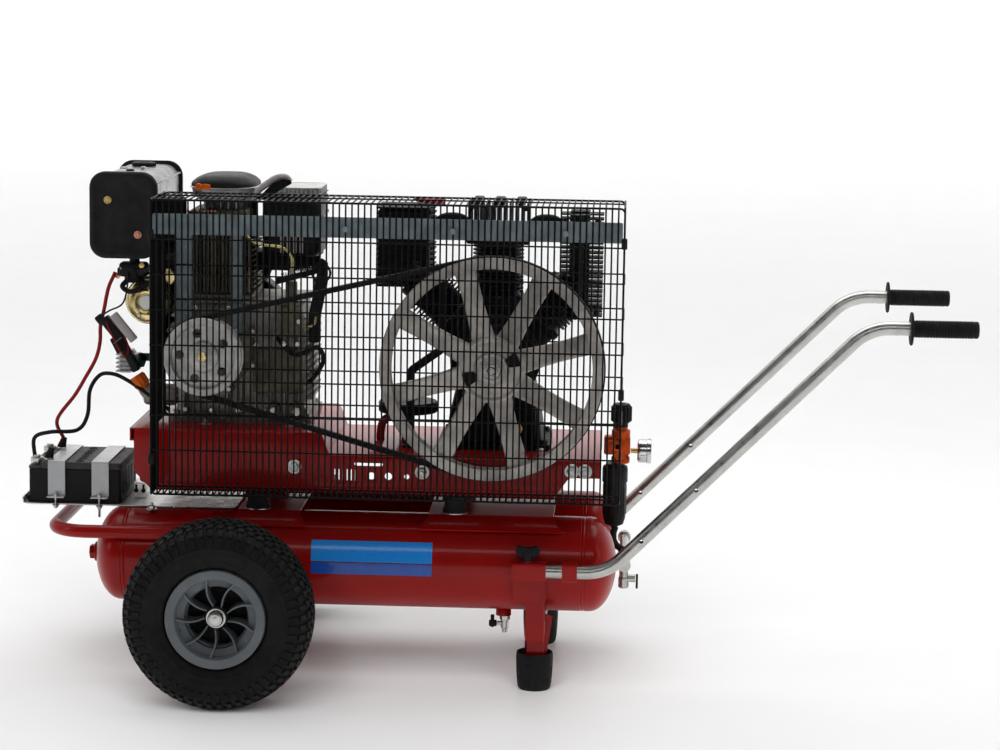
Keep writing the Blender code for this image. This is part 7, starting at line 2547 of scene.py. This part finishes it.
def make_lights(floor):
    """Soft studio light: an overhead softbox, a strip in front, a fill from each side, a pale surround, and a
    broad lamp that lights only the floor and backdrop."""
    target = (0.05, 0.0, 0.35)
    area_light("overhead_softbox", (0.1, 0.6, 3.0), target, 3.6, 2.0, 46)
    area_light("front_strip", (0.3, -3.4, 2.6), target, 3.6, 0.5, 15)
    area_light("left_fill", (-3.2, -1.4, 1.6), target, 1.2, 1.8, 12)
    area_light("right_fill", (3.2, -1.2, 1.8), target, 1.2, 1.8, 10)
    lamp = bpy.data.lights.new("floor_lamp", "SUN")
    lamp.energy = 2.75
    lamp.angle = math.radians(60)
    lit = bpy.data.collections.new("lit_by_floor_lamp")
    lit.objects.link(floor)
    sun = bpy.data.objects.new("floor_lamp", lamp)
    sun.rotation_euler = (math.radians(50), 0, 0)
    sun.light_linking.receiver_collection = lit
    bpy.context.scene.collection.objects.link(sun)
    world = bpy.data.worlds.new("studio_surround")
    world.use_nodes = True
    nodes, links = world.node_tree.nodes, world.node_tree.links
    background = nodes["Background"]
    coordinates = nodes.new("ShaderNodeTexCoord")
    separate = nodes.new("ShaderNodeSeparateXYZ")
    links.new(coordinates.outputs["Generated"], separate.inputs[0])
    spread = nodes.new("ShaderNodeMapRange")
    spread.inputs["From Min"].default_value = -1
    spread.inputs["From Max"].default_value = 1
    ramp = nodes.new("ShaderNodeValToRGB")
    ramp.color_ramp.elements[0].position = 0.25
    ramp.color_ramp.elements[0].color = (0.05, 0.05, 0.052, 1)
    ramp.color_ramp.elements[1].position = 0.72
    ramp.color_ramp.elements[1].color = (1.0, 1.0, 1.0, 1)
    links.new(separate.outputs["Y"], spread.inputs["Value"])
    links.new(spread.outputs["Result"], ramp.inputs["Fac"])
    links.new(ramp.outputs["Color"], background.inputs["Color"])
    background.inputs["Strength"].default_value = 0.62
    bpy.context.scene.world = world
    bpy.context.scene.view_settings.view_transform = "Standard"
    bpy.context.scene.view_settings.exposure = 0.0


def make_camera():
    """The camera of the main view: place from the wheel axle, then its pitch, yaw and roll."""
    place = Vector((0.674213, -4.966007, 1.273307)) + Vector((AXLE.x, 0, 0))
    pitch, yaw, roll = 0.148407, 0.0440962, 0.0163779
    ahead = Vector((-math.sin(yaw) * math.cos(pitch), math.cos(yaw) * math.cos(pitch), -math.sin(pitch)))
    level = Vector((math.cos(yaw), math.sin(yaw), 0))
    upright = level.cross(ahead)
    right = math.cos(roll) * level + math.sin(roll) * upright
    up = -math.sin(roll) * level + math.cos(roll) * upright
    data = bpy.data.cameras.new("main_camera")
    data.lens = 100.8
    data.sensor_width = 36
    camera = bpy.data.objects.new("main_camera", data)
    camera.matrix_world = Matrix(((right.x, up.x, -ahead.x, place.x), (right.y, up.y, -ahead.y, place.y),
                                  (right.z, up.z, -ahead.z, place.z), (0, 0, 0, 1)))
    bpy.context.scene.collection.objects.link(camera)
    bpy.context.scene.camera = camera


# ---------------------------------------------------------------- the whole machine

for side, sign in SIDES:
    make_tank(side, sign)
    make_tyre(side, sign)
    make_rim(side, sign)
    make_handle(side, sign)
    make_clamp_knob(side)
make_tank_fittings()
make_tank_panel()
make_axle_cradle()
make_leg_cradle()
make_feet()
make_bumper()
make_base_frame()
make_dampers()
make_tray()
posts = make_battery()
make_straps()
make_cables(posts)
make_engine_block()
make_engine_side()
make_engine_cylinder()
make_air_cleaner()
make_muffler()
make_starter()
make_electrics()
make_cowling_and_shade_sheets()
make_recoil_starter()
make_decompression_lever()
make_fuel_tank()
make_flywheel()
make_pump_shaft()
make_pulley()
make_belt()
make_pump_crankcase()
for name in PUMP_BARRELS:
    make_pump_cylinder(name)
make_pump_pipes()
make_guard()
make_guard_bar()
make_guard_brackets()
make_regulator()
make_gauge()
make_outlets()

make_lights(make_floor())
make_camera()
